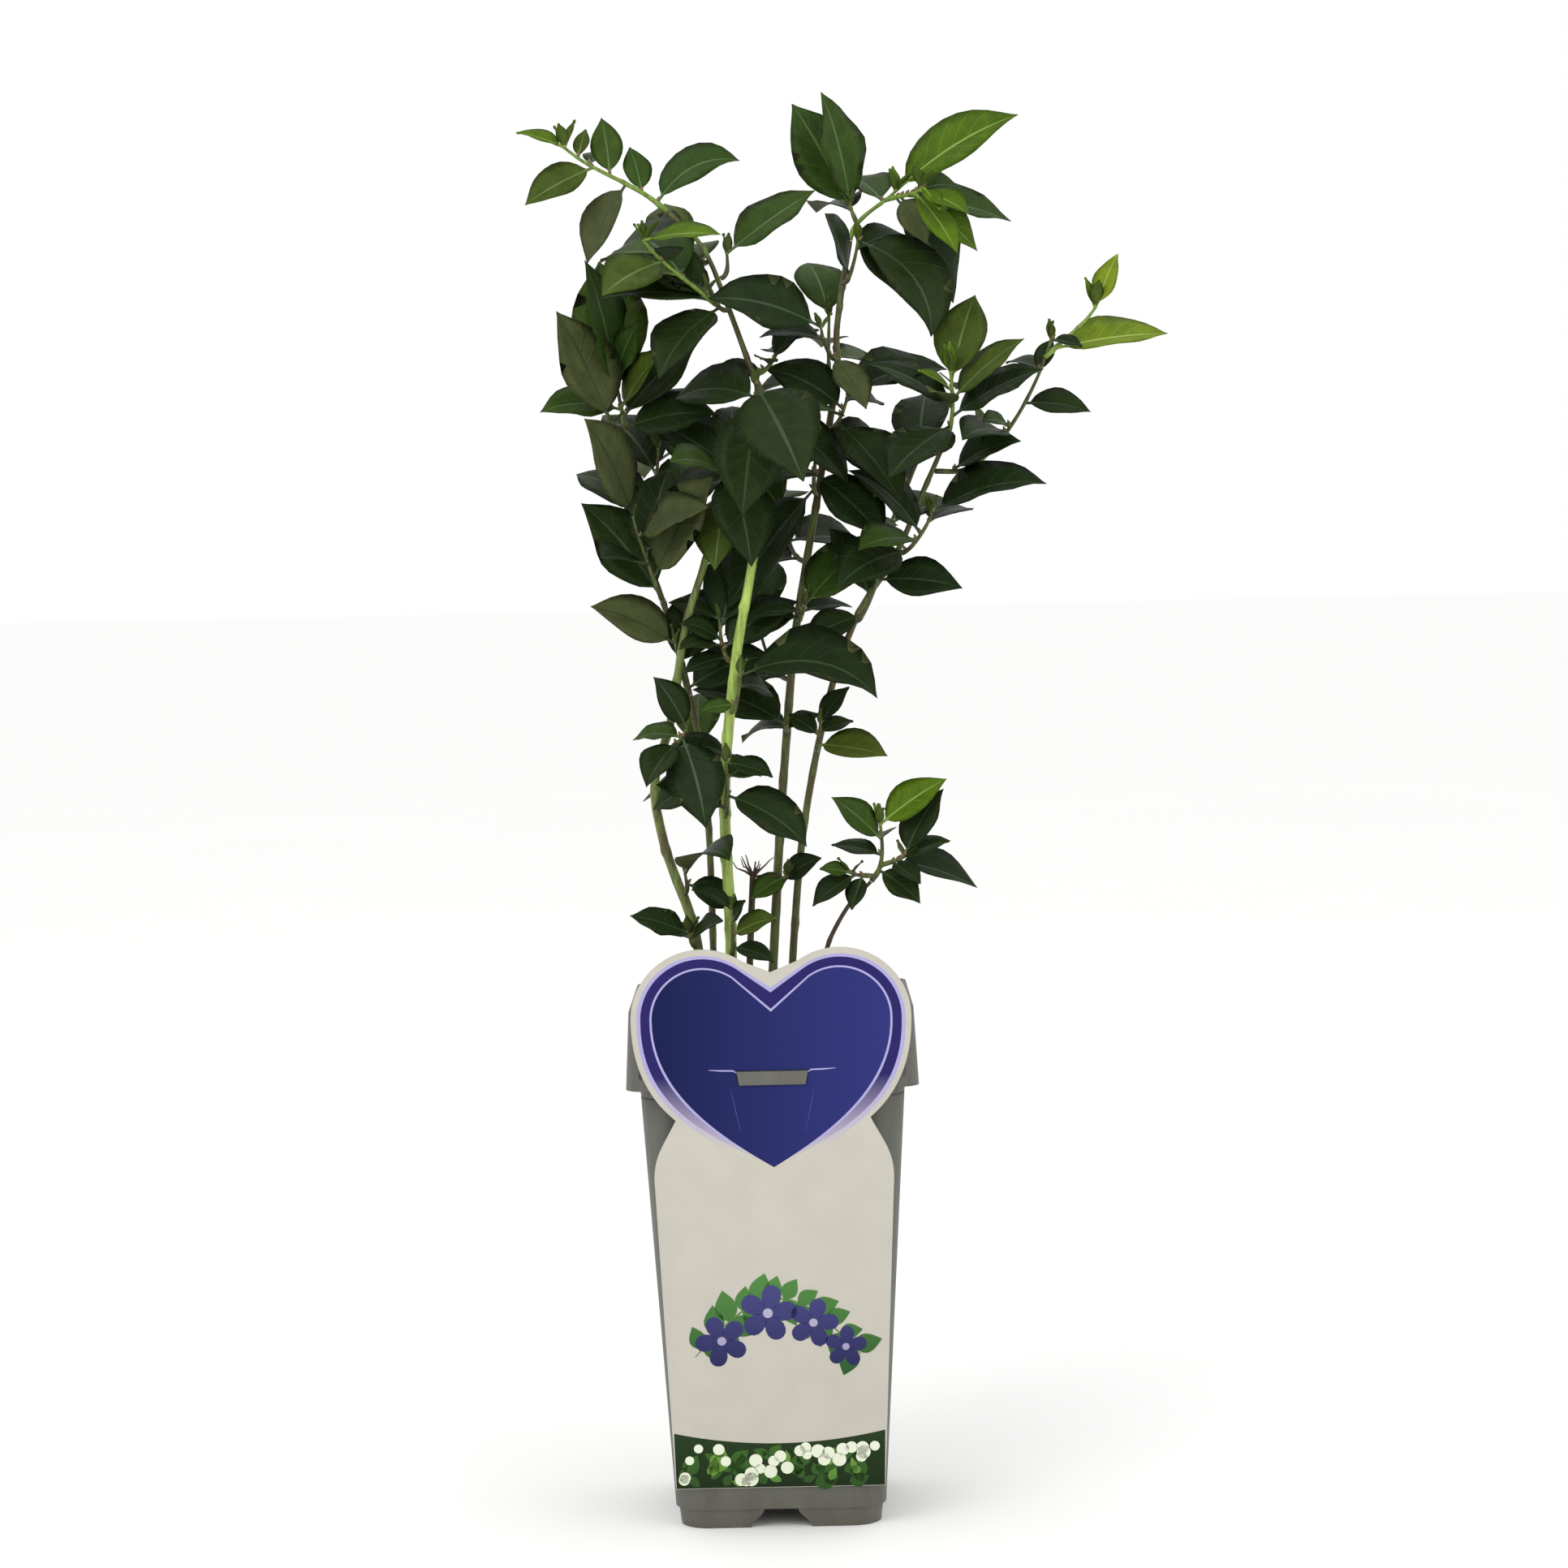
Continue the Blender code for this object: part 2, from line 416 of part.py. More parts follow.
def finish(name, colour, roughness):
    """A plain material of one colour."""
    material = bpy.data.materials.new(name)
    material.use_nodes = True
    shader = material.node_tree.nodes["Principled BSDF"]
    shader.inputs["Base Color"].default_value = (*colour, 1.0)
    shader.inputs["Roughness"].default_value = roughness
    return material


def wall_width(height):
    """Outer width of the pot's wall at a height."""
    part = (height - FOOT_HEIGHT) / (COLLAR_LOW - FOOT_HEIGHT)
    return FLOOR_WIDTH + (WALL_TOP_WIDTH - FLOOR_WIDTH) * part


def arch_outline():
    """Side view of the passage between two feet, with soft shoulders."""
    steps = 6
    right = []
    for step in range(steps + 1):
        part = step / steps
        sway = (1 - math.cos(math.pi * part)) / 2
        half = (ARCH_TOP_WIDTH + (ARCH_FOOT_WIDTH - ARCH_TOP_WIDTH) * sway) / 2
        right.append((half, FOOT_HEIGHT * (1 - part)))
    right.append((ARCH_FOOT_WIDTH / 2, -FOOT_HEIGHT))
    return right + [(-x, z) for x, z in reversed(right)]


def make_pot(collection, cutters):
    """The pot's shell, collar, label tab and feet in one piece."""
    wall_top = COLLAR_LOW + WALL_THICKNESS / 2
    pot = tapered_box("pot", FLOOR_WIDTH, wall_width(wall_top), FOOT_HEIGHT, wall_top, WALL_CORNER,
                      collection)
    collar = tapered_box("collar", COLLAR_LOW_WIDTH, COLLAR_TOP_WIDTH, COLLAR_LOW, POT_HEIGHT,
                         COLLAR_CORNER, cutters)
    combine(pot, collar, "UNION")
    slab_width = FLOOR_WIDTH - 2 * FOOT_INSET
    slab = tapered_box("foot_slab", slab_width - 2 * FOOT_INSET, slab_width, 0.0,
                       FOOT_HEIGHT + WALL_THICKNESS / 2, WALL_CORNER, cutters)
    upright = Matrix.Rotation(math.radians(90), 4, "X")
    for bearing in (0, 90):
        turn = Matrix.Rotation(math.radians(bearing), 4, "Z") @ upright
        combine(slab, plate("arch", [arch_outline()], FLOOR_WIDTH, turn, cutters), "DIFFERENCE")
    combine(pot, slab, "UNION")
    middle_foot = cylinder("middle_foot", MIDDLE_FOOT_RADIUS, 0.0, FOOT_HEIGHT + WALL_THICKNESS / 2,
                           (0, 0), cutters)
    combine(pot, middle_foot, "UNION")
    inside_top = COLLAR_LOW + 2 * WALL_THICKNESS
    inside = tapered_box("inside", FLOOR_WIDTH - 2 * WALL_THICKNESS,
                         wall_width(inside_top) - 2 * WALL_THICKNESS,
                         FOOT_HEIGHT + WALL_THICKNESS, inside_top, WALL_CORNER - WALL_THICKNESS,
                         cutters)
    combine(pot, inside, "DIFFERENCE")
    collar_inside = tapered_box("collar_inside", COLLAR_LOW_WIDTH - 2 * WALL_THICKNESS,
                                COLLAR_TOP_WIDTH - 2 * WALL_THICKNESS, COLLAR_LOW + WALL_THICKNESS,
                                POT_HEIGHT + WALL_THICKNESS, COLLAR_CORNER - WALL_THICKNESS, cutters)
    combine(pot, collar_inside, "DIFFERENCE")
    for x in (-DRAIN_PLACE, DRAIN_PLACE):
        for y in (-DRAIN_PLACE, DRAIN_PLACE):
            drain = cylinder("drain", DRAIN_RADIUS, -FOOT_HEIGHT, FOOT_HEIGHT + 2 * WALL_THICKNESS,
                             (x, y), cutters)
            combine(pot, drain, "DIFFERENCE")
    combine(pot, make_tab(cutters), "UNION")
    return pot


def make_tab(collection):
    """The tab that stands out of the collar through the label."""
    shape = bmesh.new()
    front = -COLLAR_LOW_WIDTH / 2 - TAB_REACH
    back = -COLLAR_LOW_WIDTH / 2 + WALL_THICKNESS
    middle = Matrix.Translation((0, (front + back) / 2, (TAB_LOW + TAB_HIGH) / 2))
    size = Matrix.Diagonal((TAB_WIDTH, back - front, TAB_HIGH - TAB_LOW, 1.0))
    bmesh.ops.create_cube(shape, size=1.0, matrix=middle @ size)
    mesh = bpy.data.meshes.new("tab")
    shape.to_mesh(mesh)
    shape.free()
    return new_object("tab", mesh, collection)


def bezier(start, first, second, end, steps):
    """Places on a curve from its start up to, but not at, its end."""
    path = []
    for step in range(steps):
        t = step / steps
        u = 1 - t
        path.append(tuple(u ** 3 * a + 3 * u * u * t * b + 3 * u * t * t * c + t ** 3 * d
                          for a, b, c, d in zip(start, first, second, end)))
    return path


def pulled(point, pull):
    """A point moved sideways and up."""
    return (point[0] + pull[0], point[1] + pull[1])


def card_outline():
    """Right half of the label from its foot up to the heart's notch, then the left half."""
    neck = (CARD_NECK_HALF_WIDTH, CARD_NECK)
    shoulder = (CARD_SHOULDER_HALF_WIDTH, CARD_SHOULDER)
    lobe_middle = HEART_HALF_WIDTH - HEART_LOBE
    right = [(CARD_FOOT_HALF_WIDTH, CARD_FOOT)]
    widest = (HEART_HALF_WIDTH, HEART_WIDEST)
    right += bezier(shoulder, pulled(shoulder, SHOULDER_PULL), pulled(neck, UNDER_NECK_PULL), neck,
                    CARD_SIDE_STEPS)
    right += bezier(neck, pulled(neck, OVER_NECK_PULL), pulled(widest, (0, -HEART_SIDE_PULL)), widest,
                    HEART_SIDE_STEPS)
    for step in range(LOBE_STEPS + 1):
        angle = math.radians(LOBE_TURN * step / LOBE_STEPS)
        right.append((lobe_middle + HEART_LOBE * math.cos(angle),
                      HEART_WIDEST + HEART_LOBE * math.sin(angle)))
    left = [(-x, z) for x, z in reversed(right)]
    return right + [(0.0, HEART_NOTCH)] + left


def make_card(collection):
    """The label: a thin card that hangs on the collar's tab and rests near the wall's foot."""
    foot = -wall_width(CARD_FOOT) / 2 - GAP - CARD_THICKNESS
    head = -COLLAR_LOW_WIDTH / 2 - GAP - CARD_THICKNESS
    lean = math.atan2(foot - head, COLLAR_LOW - CARD_FOOT)
    window = [(x * (TAB_WIDTH / 2 + 2 * GAP), z) for x, z in
              ((-1, TAB_LOW - 2 * GAP), (1, TAB_LOW - 2 * GAP),
               (1, TAB_HIGH + 2 * GAP), (-1, TAB_HIGH + 2 * GAP))]
    outlines = [[(x, z - COLLAR_LOW) for x, z in outline] for outline in (card_outline(), window)]
    turn = (Matrix.Translation((0, head + CARD_THICKNESS / 2, COLLAR_LOW))
            @ Matrix.Rotation(math.radians(90) + lean, 4, "X"))
    return plate("label_card", outlines, CARD_THICKNESS / 2, turn, collection)


def make_soil(collection):
    """The peat, clear of the pot's wall and floor."""
    low = FOOT_HEIGHT + WALL_THICKNESS + GAP
    lining = 2 * (WALL_THICKNESS + 2 * GAP)
    return tapered_box("soil", wall_width(low) - lining, wall_width(SOIL_TOP) - lining, low,
                       SOIL_TOP, WALL_CORNER - WALL_THICKNESS, collection)


def limb_path(limb):
    """Middle line of a limb, straight up from a flat cut at its foot, and its radii."""
    points = [cm(point) for point in limb.points]
    path = smooth_path(points, LIMB_PIECES)
    start = path[0]
    if limb.points[0][2] * CM < POT_HEIGHT:
        path[1:1] = [start + Vector((0, 0, STRAIGHT_FOOT)), start + Vector((0, 0, FLARE_HEIGHT))]
    radii = []
    for index, place in enumerate(path):
        part = index / (len(path) - 1)
        radius = limb.foot_radius + (limb.tip_radius - limb.foot_radius) * part
        if limb.points[0][2] * CM < POT_HEIGHT:
            height = (place.z - start.z) / FLARE_HEIGHT
            radius *= 1 + FLARE * max(0.0, 1 - height) ** 2
        radii.append(radius)
    return path, radii


def along(path, part):
    """Place on a path, its direction and how many steps up it is, by the share of its length."""
    lengths = [(b - a).length for a, b in zip(path, path[1:])]
    left = sum(lengths) * part
    for step, length in enumerate(lengths):
        if left <= length or step == len(lengths) - 1:
            share = min(1.0, left / length)
            start, end = path[step], path[step + 1]
            return start.lerp(end, share), (end - start).normalized(), step + share
        left -= length


def shoot_path(shoot, parents):
    """Middle line of a shoot: off its limb with a hair's gap, or out of its parent shoot."""
    path, radii, is_limb = parents[shoot.parent]
    place, axis, steps = along(path, shoot.along)
    tip = cm(shoot.tip)
    if not is_limb:
        start = place
        out = (tip - place).normalized()
    elif shoot.along >= 1.0:
        start = place + axis * GAP
        out = axis
    else:
        out = tip - place
        out = (out - axis * out.dot(axis)).normalized()
        below = radii[int(steps)]
        radius = below + (radii[int(steps) + 1] - below) * (steps - int(steps))
        start = place + out * (radius + GAP)
    reach = (tip - start).length
    knee = start + out * reach * TWIG_KNEE
    rise = tip - (tip - knee).normalized() * reach * TWIG_RISE - Vector((0, 0, TWIG_SAG * reach))
    points = bezier(start, knee, rise, tip, TWIG_POINTS - 1)
    return [Vector(point) for point in points] + [tip]


def twig_radii(count):
    """Radii of a twig from its start to its tip."""
    return [TWIG_RADIUS + (TWIG_TIP_RADIUS - TWIG_RADIUS) * step / (count - 1)
            for step in range(count)]


def leaf_spine(root, bearing, rise, droop, roll, length):
    """Places, directions, sideways and facing vectors along a leaf from its root to its tip."""
    bearing = math.radians(bearing)
    side = Vector((-math.sin(bearing), math.cos(bearing), 0))
    flat = Vector((math.cos(bearing), math.sin(bearing), 0))
    place = root.copy()
    step = length / LEAF_STEPS
    spine = []
    for index in range(LEAF_STEPS + 1):
        part = index / LEAF_STEPS
        lift = math.radians(rise - droop * part ** DROOP_POWER)
        forward = flat * math.cos(lift) + Vector((0, 0, math.sin(lift)))
        face = forward.cross(side)
        twist = Matrix.Rotation(roll * min(1.0, part / PETIOLE_PART), 3, forward)
        spine.append((place.copy(), forward, twist @ side, twist @ face))
        place += forward * step
    return spine


def light_roll(bearing, rise, droop):
    """Turn about its own length that brings a leaf's face some way to the light."""
    root = Vector((0, 0, 0))
    _, _, side, face = leaf_spine(root, bearing, rise, droop, 0.0, 1.0)[LEAF_STEPS // 2]
    turn = math.atan2(-side.dot(LIGHT), face.dot(LIGHT))
    return max(-MOST_ROLL, min(MOST_ROLL, turn * LIGHT_PULL))


def blade_width(part):
    """Half width of a leaf's blade along it, as a share of the widest half."""
    return max(0.0, math.sin(math.pi * part ** WIDEST_POWER)) ** BLUNTNESS


def leaf_mesh(spine, half_width, thickness):
    """A closed thin leaf: a stalk sunk in the twig and a folded blade with a pointed tip."""
    rise = math.tan(math.radians(FOLD))
    verts = []
    stalk = PETIOLE_RADIUS
    sections = [(0.0, stalk, stalk)]
    for part in LEAF_RINGS:
        width = max(stalk, half_width * blade_width(part))
        sections.append((PETIOLE_PART + part * (1 - PETIOLE_PART), width, thickness / 2))
    for part, width, half in sections:
        spot = part * LEAF_STEPS
        index = min(int(spot), LEAF_STEPS - 1)
        blend = spot - index
        place = spine[index][0].lerp(spine[index + 1][0], blend)
        side = spine[index][2].lerp(spine[index + 1][2], blend)
        face = spine[index][3].lerp(spine[index + 1][3], blend)
        lift = face * rise * (width - stalk)
        verts += [place + side * width + lift, place + face * half,
                  place - side * width + lift, place - face * half]
    verts.append(spine[-1][0])
    rings = len(sections)
    faces = [(3, 2, 1, 0)]
    for ring in range(rings - 1):
        for corner in range(4):
            a = ring * 4 + corner
            b = ring * 4 + (corner + 1) % 4
            faces += [(a, b, b + 4), (a, b + 4, a + 4)]
    last = (rings - 1) * 4
    faces += [(last + corner, last + (corner + 1) % 4, len(verts) - 1) for corner in range(4)]
    return verts, faces


def in_space(mass, place):
    """Whether a place is in the space that a mass keeps to."""
    away = [(place[axis] / CM - mass.middle[axis]) / mass.reach[axis] for axis in range(3)]
    return sum(value * value for value in away) <= 1.0


def pointing(way, forward, droop):
    """Bearing and first rise of a leaf that points one way as seen from the front."""
    way, forward = math.radians(way), math.radians(forward)
    reach = Vector((math.cos(forward) * math.cos(way), -math.sin(forward),
                    math.cos(forward) * math.sin(way)))
    bearing = math.degrees(math.atan2(reach.y, reach.x))
    return bearing, math.degrees(math.asin(reach.z)) + MEAN_DROOP * droop


def find_room(mass, root, wish, named, own, near, far):
    """The first way of holding a leaf that touches nothing, or if named only its own mass."""
    bearing, rise, droop, sway, length, slimness = wish
    for touching, share in NAMED_TRIES if named else FILL_TRIES:
        size = length * share
        half_width = size * slimness
        for turn, sag in SECOND_TRIES:
            roll = light_roll(bearing + turn, rise, droop + sag) + sway
            spine = leaf_spine(root, bearing + turn, rise, droop + sag, roll, size)
            if not all(in_space(mass, row[0]) for row in spine):
                continue
            verts, faces = leaf_mesh(spine, half_width + CLEARANCE, LEAF_THICKNESS + 2 * CLEARANCE)
            whole = BVHTree.FromPolygons(verts, faces)
            if any(whole.overlap(tree) for tree in far):
                continue
            blade_faces = [tuple(corner - 4 for corner in face) for face in faces if min(face) >= 4]
            blade = BVHTree.FromPolygons(verts[4:], blade_faces)
            if touching < 2 and any(blade.overlap(tree) for tree in own):
                continue
            if touching < 1 and any(blade.overlap(tree) for tree in near):
                continue
            return spine, half_width
    return None


def leaf_wishes(shoot, path):
    """Where each leaf of a shoot should sit and how it should be held, the named ones first."""
    rule = random.Random(shoot.name)
    first = max(FIRST_LEAF, min(1.0, FIRST_ROOM / (path[-1] - path[0]).length))
    steps = max(1, len(shoot.leaves) - 1)
    wishes = []
    for index, (way, forward, droop, length) in enumerate(shoot.leaves):
        part = first + (1 - first) * (index + 1 if len(shoot.leaves) == 1 else index) / steps
        bearing, rise = pointing(way, forward, droop)
        wishes.append((part, bearing, rise, droop, rule.uniform(-NAMED_SWAY, NAMED_SWAY), length * CM))
    usual = sum(leaf[3] for leaf in shoot.leaves) / len(shoot.leaves)
    for index in range(shoot.fill):
        part = 1 - (index + 0.5) / (shoot.fill + 1)
        wishes.append((part, BACK + DIVERGENCE * index + rule.uniform(-FILL_TURN, FILL_TURN),
                       rule.uniform(*FILL_LIFT), rule.uniform(*FILL_DROOP),
                       rule.uniform(-FILL_SWAY, FILL_SWAY),
                       usual * CM * rule.uniform(*FILL_LENGTH)))
    return wishes


def grow_leaves(shoot, wishes, named, mass, path, own, near, far):
    """Leaves held as wished on one shoot, leaving out those that find no room."""
    leaves = []
    for part, *wish in wishes:
        youth = shoot.youth * part ** YOUTH_POWER
        root, _, _ = along(path, part)
        wish.append(SLIMNESS - YOUNG_SLIMNESS * youth)
        held = find_room(mass, root, wish, named, own, near, far)
        if held:
            leaves.append((*held, youth))
            near.append(BVHTree.FromPolygons(*leaf_mesh(*held, LEAF_THICKNESS)))
    return leaves


def tree_of(piece):
    """Search tree of a piece's faces."""
    mesh = piece.data
    return BVHTree.FromPolygons([vertex.co for vertex in mesh.vertices],
                                [tuple(face.vertices) for face in mesh.polygons])


def make_limbs(collection):
    """Every stem and bough, and what the shoots need to know of them."""
    parents = {}
    limbs = {}
    for limb in LIMBS:
        path, radii = limb_path(limb)
        limbs[limb.name] = tube(limb.name, path, radii, LIMB_GRAIN, collection)
        parents[limb.name] = (path, radii, True)
    return limbs, parents


def grow_crown(limbs, parents, scratch):
    """All twigs, then all leaves, in the order of the table."""
    limb_trees = [tree_of(limb) for limb in limbs.values()]
    twigs = {}
    for shoot in SHOOTS:
        path = shoot_path(shoot, parents)
        radii = twig_radii(len(path))
        parents[shoot.name] = (path, radii, False)
        twigs[shoot.name] = tube(shoot.name, path, radii, 0, scratch)
    twig_trees = {name: tree_of(twig) for name, twig in twigs.items()}
    leaf_trees = {mass.name: [] for mass in MASSES}
    masses = {mass.name: mass for mass in MASSES}
    wishes = {shoot.name: leaf_wishes(shoot, parents[shoot.name][0]) for shoot in SHOOTS}
    leaves = {shoot.name: [] for shoot in SHOOTS}
    for named in (True, False):
        for shoot in SHOOTS:
            far = list(limb_trees)
            own = []
            for other in SHOOTS:
                (own if other.mass == shoot.mass else far).append(twig_trees[other.name])
            for name, trees in leaf_trees.items():
                if name != shoot.mass:
                    far += trees
            count = len(shoot.leaves)
            some = wishes[shoot.name][:count] if named else wishes[shoot.name][count:]
            leaves[shoot.name] += grow_leaves(shoot, some, named, masses[shoot.mass],
                                              parents[shoot.name][0], own,
                                              leaf_trees[shoot.mass], far)
    return twigs, leaves


def make_mass(mass, twigs, leaves, collection):
    """One mass of leaves: its twigs and leaves joined by one union."""
    shoots = [shoot for shoot in SHOOTS if shoot.mass == mass.name]
    main = twigs[shoots[0].name]
    parts = bpy.data.collections.new(mass.name + "_parts")
    bpy.context.scene.collection.children.link(parts)
    for shoot in shoots:
        if shoot is not shoots[0]:
            parts.objects.link(twigs[shoot.name])
        for spine, half_width, _ in leaves[shoot.name]:
            verts, faces = leaf_mesh(spine, half_width, LEAF_THICKNESS)
            mesh = bpy.data.meshes.new("leaf")
            mesh.from_pydata([tuple(vert) for vert in verts], [], faces)
            new_object("leaf", mesh, parts)
    main.name = mass.name
    join = main.modifiers.new("join", "BOOLEAN")
    join.operand_type = "COLLECTION"
    join.collection = parts
    join.operation = "UNION"
    join.solver = "EXACT"
    apply_modifiers(main)
    for piece in list(parts.objects):
        bpy.data.objects.remove(piece)
    bpy.data.collections.remove(parts)
    for group in list(main.users_collection):
        group.objects.unlink(main)
    collection.objects.link(main)
    return main


def main():
    """Builds the whole bush and its pot."""
    for piece in list(bpy.data.objects):
        bpy.data.objects.remove(piece)
    bush = bpy.data.collections.new("blueberry_bush")
    scratch = bpy.data.collections.new("cutters")
    bpy.context.scene.collection.children.link(bush)
    bpy.context.scene.collection.children.link(scratch)

    pot_grey = finish("pot_plastic", (0.17, 0.185, 0.175), 0.55)
    card_white = finish("label_board", (0.70, 0.66, 0.58), 0.6)
    peat = finish("peat", (0.035, 0.022, 0.015), 0.95)
    bark = finish("green_bark", (0.20, 0.27, 0.07), 0.5)
    dry = finish("dry_bark", (0.13, 0.08, 0.04), 0.8)
    leaf = finish("leaf", (0.035, 0.10, 0.02), 0.45)

    make_pot(bush, scratch).data.materials.append(pot_grey)
    make_card(bush).data.materials.append(card_white)
    make_soil(bush).data.materials.append(peat)
    limbs, parents = make_limbs(bush)
    for name, limb in limbs.items():
        limb.data.materials.append(dry if name == "stem_pruned" else bark)
    twigs, leaves = grow_crown(limbs, parents, scratch)
    for mass in MASSES:
        make_mass(mass, twigs, leaves, bush).data.materials.append(leaf)


if __name__ == "__main__":
    main()
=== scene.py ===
"""Dressed scene of a young blueberry bush in a square nursery pot.

Metres, +Z up. The pot's front faces -Y and the crown leans to +X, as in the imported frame.
"""

import json
import math
import random
from collections import namedtuple

import bmesh
import bpy
import numpy as np
from mathutils import Matrix, Vector, noise
from mathutils.bvhtree import BVHTree

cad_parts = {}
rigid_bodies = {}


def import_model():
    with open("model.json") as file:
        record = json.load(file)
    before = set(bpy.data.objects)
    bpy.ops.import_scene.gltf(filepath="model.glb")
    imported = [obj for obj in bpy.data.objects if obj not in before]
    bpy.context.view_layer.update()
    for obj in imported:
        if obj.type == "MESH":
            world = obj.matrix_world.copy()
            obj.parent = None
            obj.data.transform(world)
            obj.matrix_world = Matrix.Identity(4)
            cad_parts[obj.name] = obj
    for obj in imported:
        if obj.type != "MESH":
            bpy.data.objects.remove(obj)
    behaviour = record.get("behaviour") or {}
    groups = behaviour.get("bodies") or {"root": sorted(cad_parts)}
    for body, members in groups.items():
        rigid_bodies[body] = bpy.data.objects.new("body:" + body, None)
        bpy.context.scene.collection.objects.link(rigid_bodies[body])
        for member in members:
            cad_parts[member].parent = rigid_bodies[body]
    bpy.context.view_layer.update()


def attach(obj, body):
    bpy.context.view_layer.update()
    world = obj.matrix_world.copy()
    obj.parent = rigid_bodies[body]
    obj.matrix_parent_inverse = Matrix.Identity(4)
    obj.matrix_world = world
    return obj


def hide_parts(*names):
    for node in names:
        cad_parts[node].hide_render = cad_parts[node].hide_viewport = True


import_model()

bl_info = {
    "name": "Potted Blueberry Bush",
    "version": (1, 0, 0),
    "blender": (4, 5, 0),
    "location": "3D View > Sidebar > Blueberry",
    "description": "Builds a young blueberry bush in its square nursery pot, with stage and camera",
    "category": "Add Mesh",
}

PHOTO_WIDTH = 1932
FOCAL_PIXELS = 4658
SENSOR_WIDTH = 36.0

MM = 0.001
CM = 0.01
GAP = 0.3 * MM

# Pot: a thin tapering square shell on four corner feet, which steps out to a collar round its top
POT_HEIGHT = 19.8 * CM
FOOT_HEIGHT = 0.75 * CM
FLOOR_WIDTH = 8.0 * CM
WALL_TOP_WIDTH = 9.95 * CM
WALL_THICKNESS = 1.6 * MM
WALL_CORNER = 11 * MM
COLLAR_LOW = 16.9 * CM
COLLAR_LOW_WIDTH = 10.95 * CM
COLLAR_TOP_WIDTH = 10.65 * CM
COLLAR_CORNER = 8 * MM
FOOT_INSET = 1.0 * MM
ARCH_TOP_WIDTH = 12.5 * MM
ARCH_FOOT_WIDTH = 23 * MM
MIDDLE_FOOT_RADIUS = 6 * MM
DRAIN_RADIUS = 3.5 * MM
DRAIN_PLACE = 17 * MM
CORNER_SEGMENTS = 5
ROUND_SIDES = 20

# Tab on the front of the collar that the label hangs on
TAB_WIDTH = 27 * MM
TAB_LOW = 17.1 * CM
TAB_HIGH = 17.65 * CM
TAB_REACH = 2.6 * MM

# Label: a card with a heart for its head, which hangs down the front of the pot
CARD_THICKNESS = 0.8 * MM
CARD_FOOT = 1.55 * CM
CARD_FOOT_HALF_WIDTH = 3.95 * CM
CARD_SHOULDER = 13.2 * CM
CARD_SHOULDER_HALF_WIDTH = 4.45 * CM
CARD_NECK = 15.8 * CM
CARD_NECK_HALF_WIDTH = 3.62 * CM
HEART_HALF_WIDTH = 5.2 * CM
HEART_WIDEST = 19.6 * CM
HEART_LOBE = 2.65 * CM
HEART_NOTCH = 21.35 * CM
SHOULDER_PULL = (0.1 * CM, 1.2 * CM)
UNDER_NECK_PULL = (0.5 * CM, -1.0 * CM)
OVER_NECK_PULL = (1.1 * CM, 0.95 * CM)
HEART_SIDE_PULL = 1.6 * CM
LOBE_TURN = 125
CARD_SIDE_STEPS = 5
HEART_SIDE_STEPS = 6
LOBE_STEPS = 10

# Peat: fills the pot to a little below the rim
SOIL_TOP = 16.2 * CM

# Leaves and twigs
FIRST_LEAF = 0.1
YOUTH_POWER = 1.5
FIRST_ROOM = 5 * MM
BACK = 90.0
DIVERGENCE = 137.5
MEAN_DROOP = 0.435
DROOP_POWER = 1.3
LEAF_STEPS = 12
LEAF_RINGS = (0.0, 0.3, 0.68)
LEAF_THICKNESS = 1.1 * MM
SLIMNESS = 0.29
WIDEST_POWER = 0.85
BLUNTNESS = 0.8
YOUNG_SLIMNESS = 0.06
PETIOLE_PART = 0.1
PETIOLE_RADIUS = 0.7 * MM
FOLD = 16.0
TWIG_RADIUS = 1.1 * MM
TWIG_TIP_RADIUS = 0.6 * MM
TWIG_POINTS = 6
TWIG_KNEE = 0.35
TWIG_RISE = 0.25
TWIG_SAG = 0.1
CLEARANCE = 0.55 * MM
# How far the seeded rule may move a leaf: its turn about its own length in radians, and for the
# leaves behind the named ones also the way it points, first rise and droop in degrees, and length
NAMED_SWAY = 0.25
FILL_SWAY = 0.3
FILL_TURN = 25
FILL_LIFT = (5, 30)
FILL_DROOP = (20, 50)
FILL_LENGTH = (0.7, 0.9)
LIGHT = Vector((0.0, -0.8, 0.7)).normalized()
LIGHT_PULL = 0.85
MOST_ROLL = 1.3
FLARE = 0.7
FLARE_HEIGHT = 1.2 * CM
STRAIGHT_FOOT = 3 * MM
LIMB_PIECES = 3
LIMB_GRAIN = 1
# Ways of making room for a leaf: what it may touch of its mass, 1 for leaves and 2 for twigs as
# well, with its size, and turns and sags that are tried for each
NAMED_TRIES = ((0, 1.0), (1, 1.0), (0, 0.8), (1, 0.8), (2, 1.0), (2, 0.8), (2, 0.65))
FILL_TRIES = ((0, 1.0), (0, 0.8))
SECOND_TRIES = ((0, 0), (16, 0), (-16, 0), (0, 18), (0, -18), (32, 8), (-32, 8), (50, 0), (-50, 0))

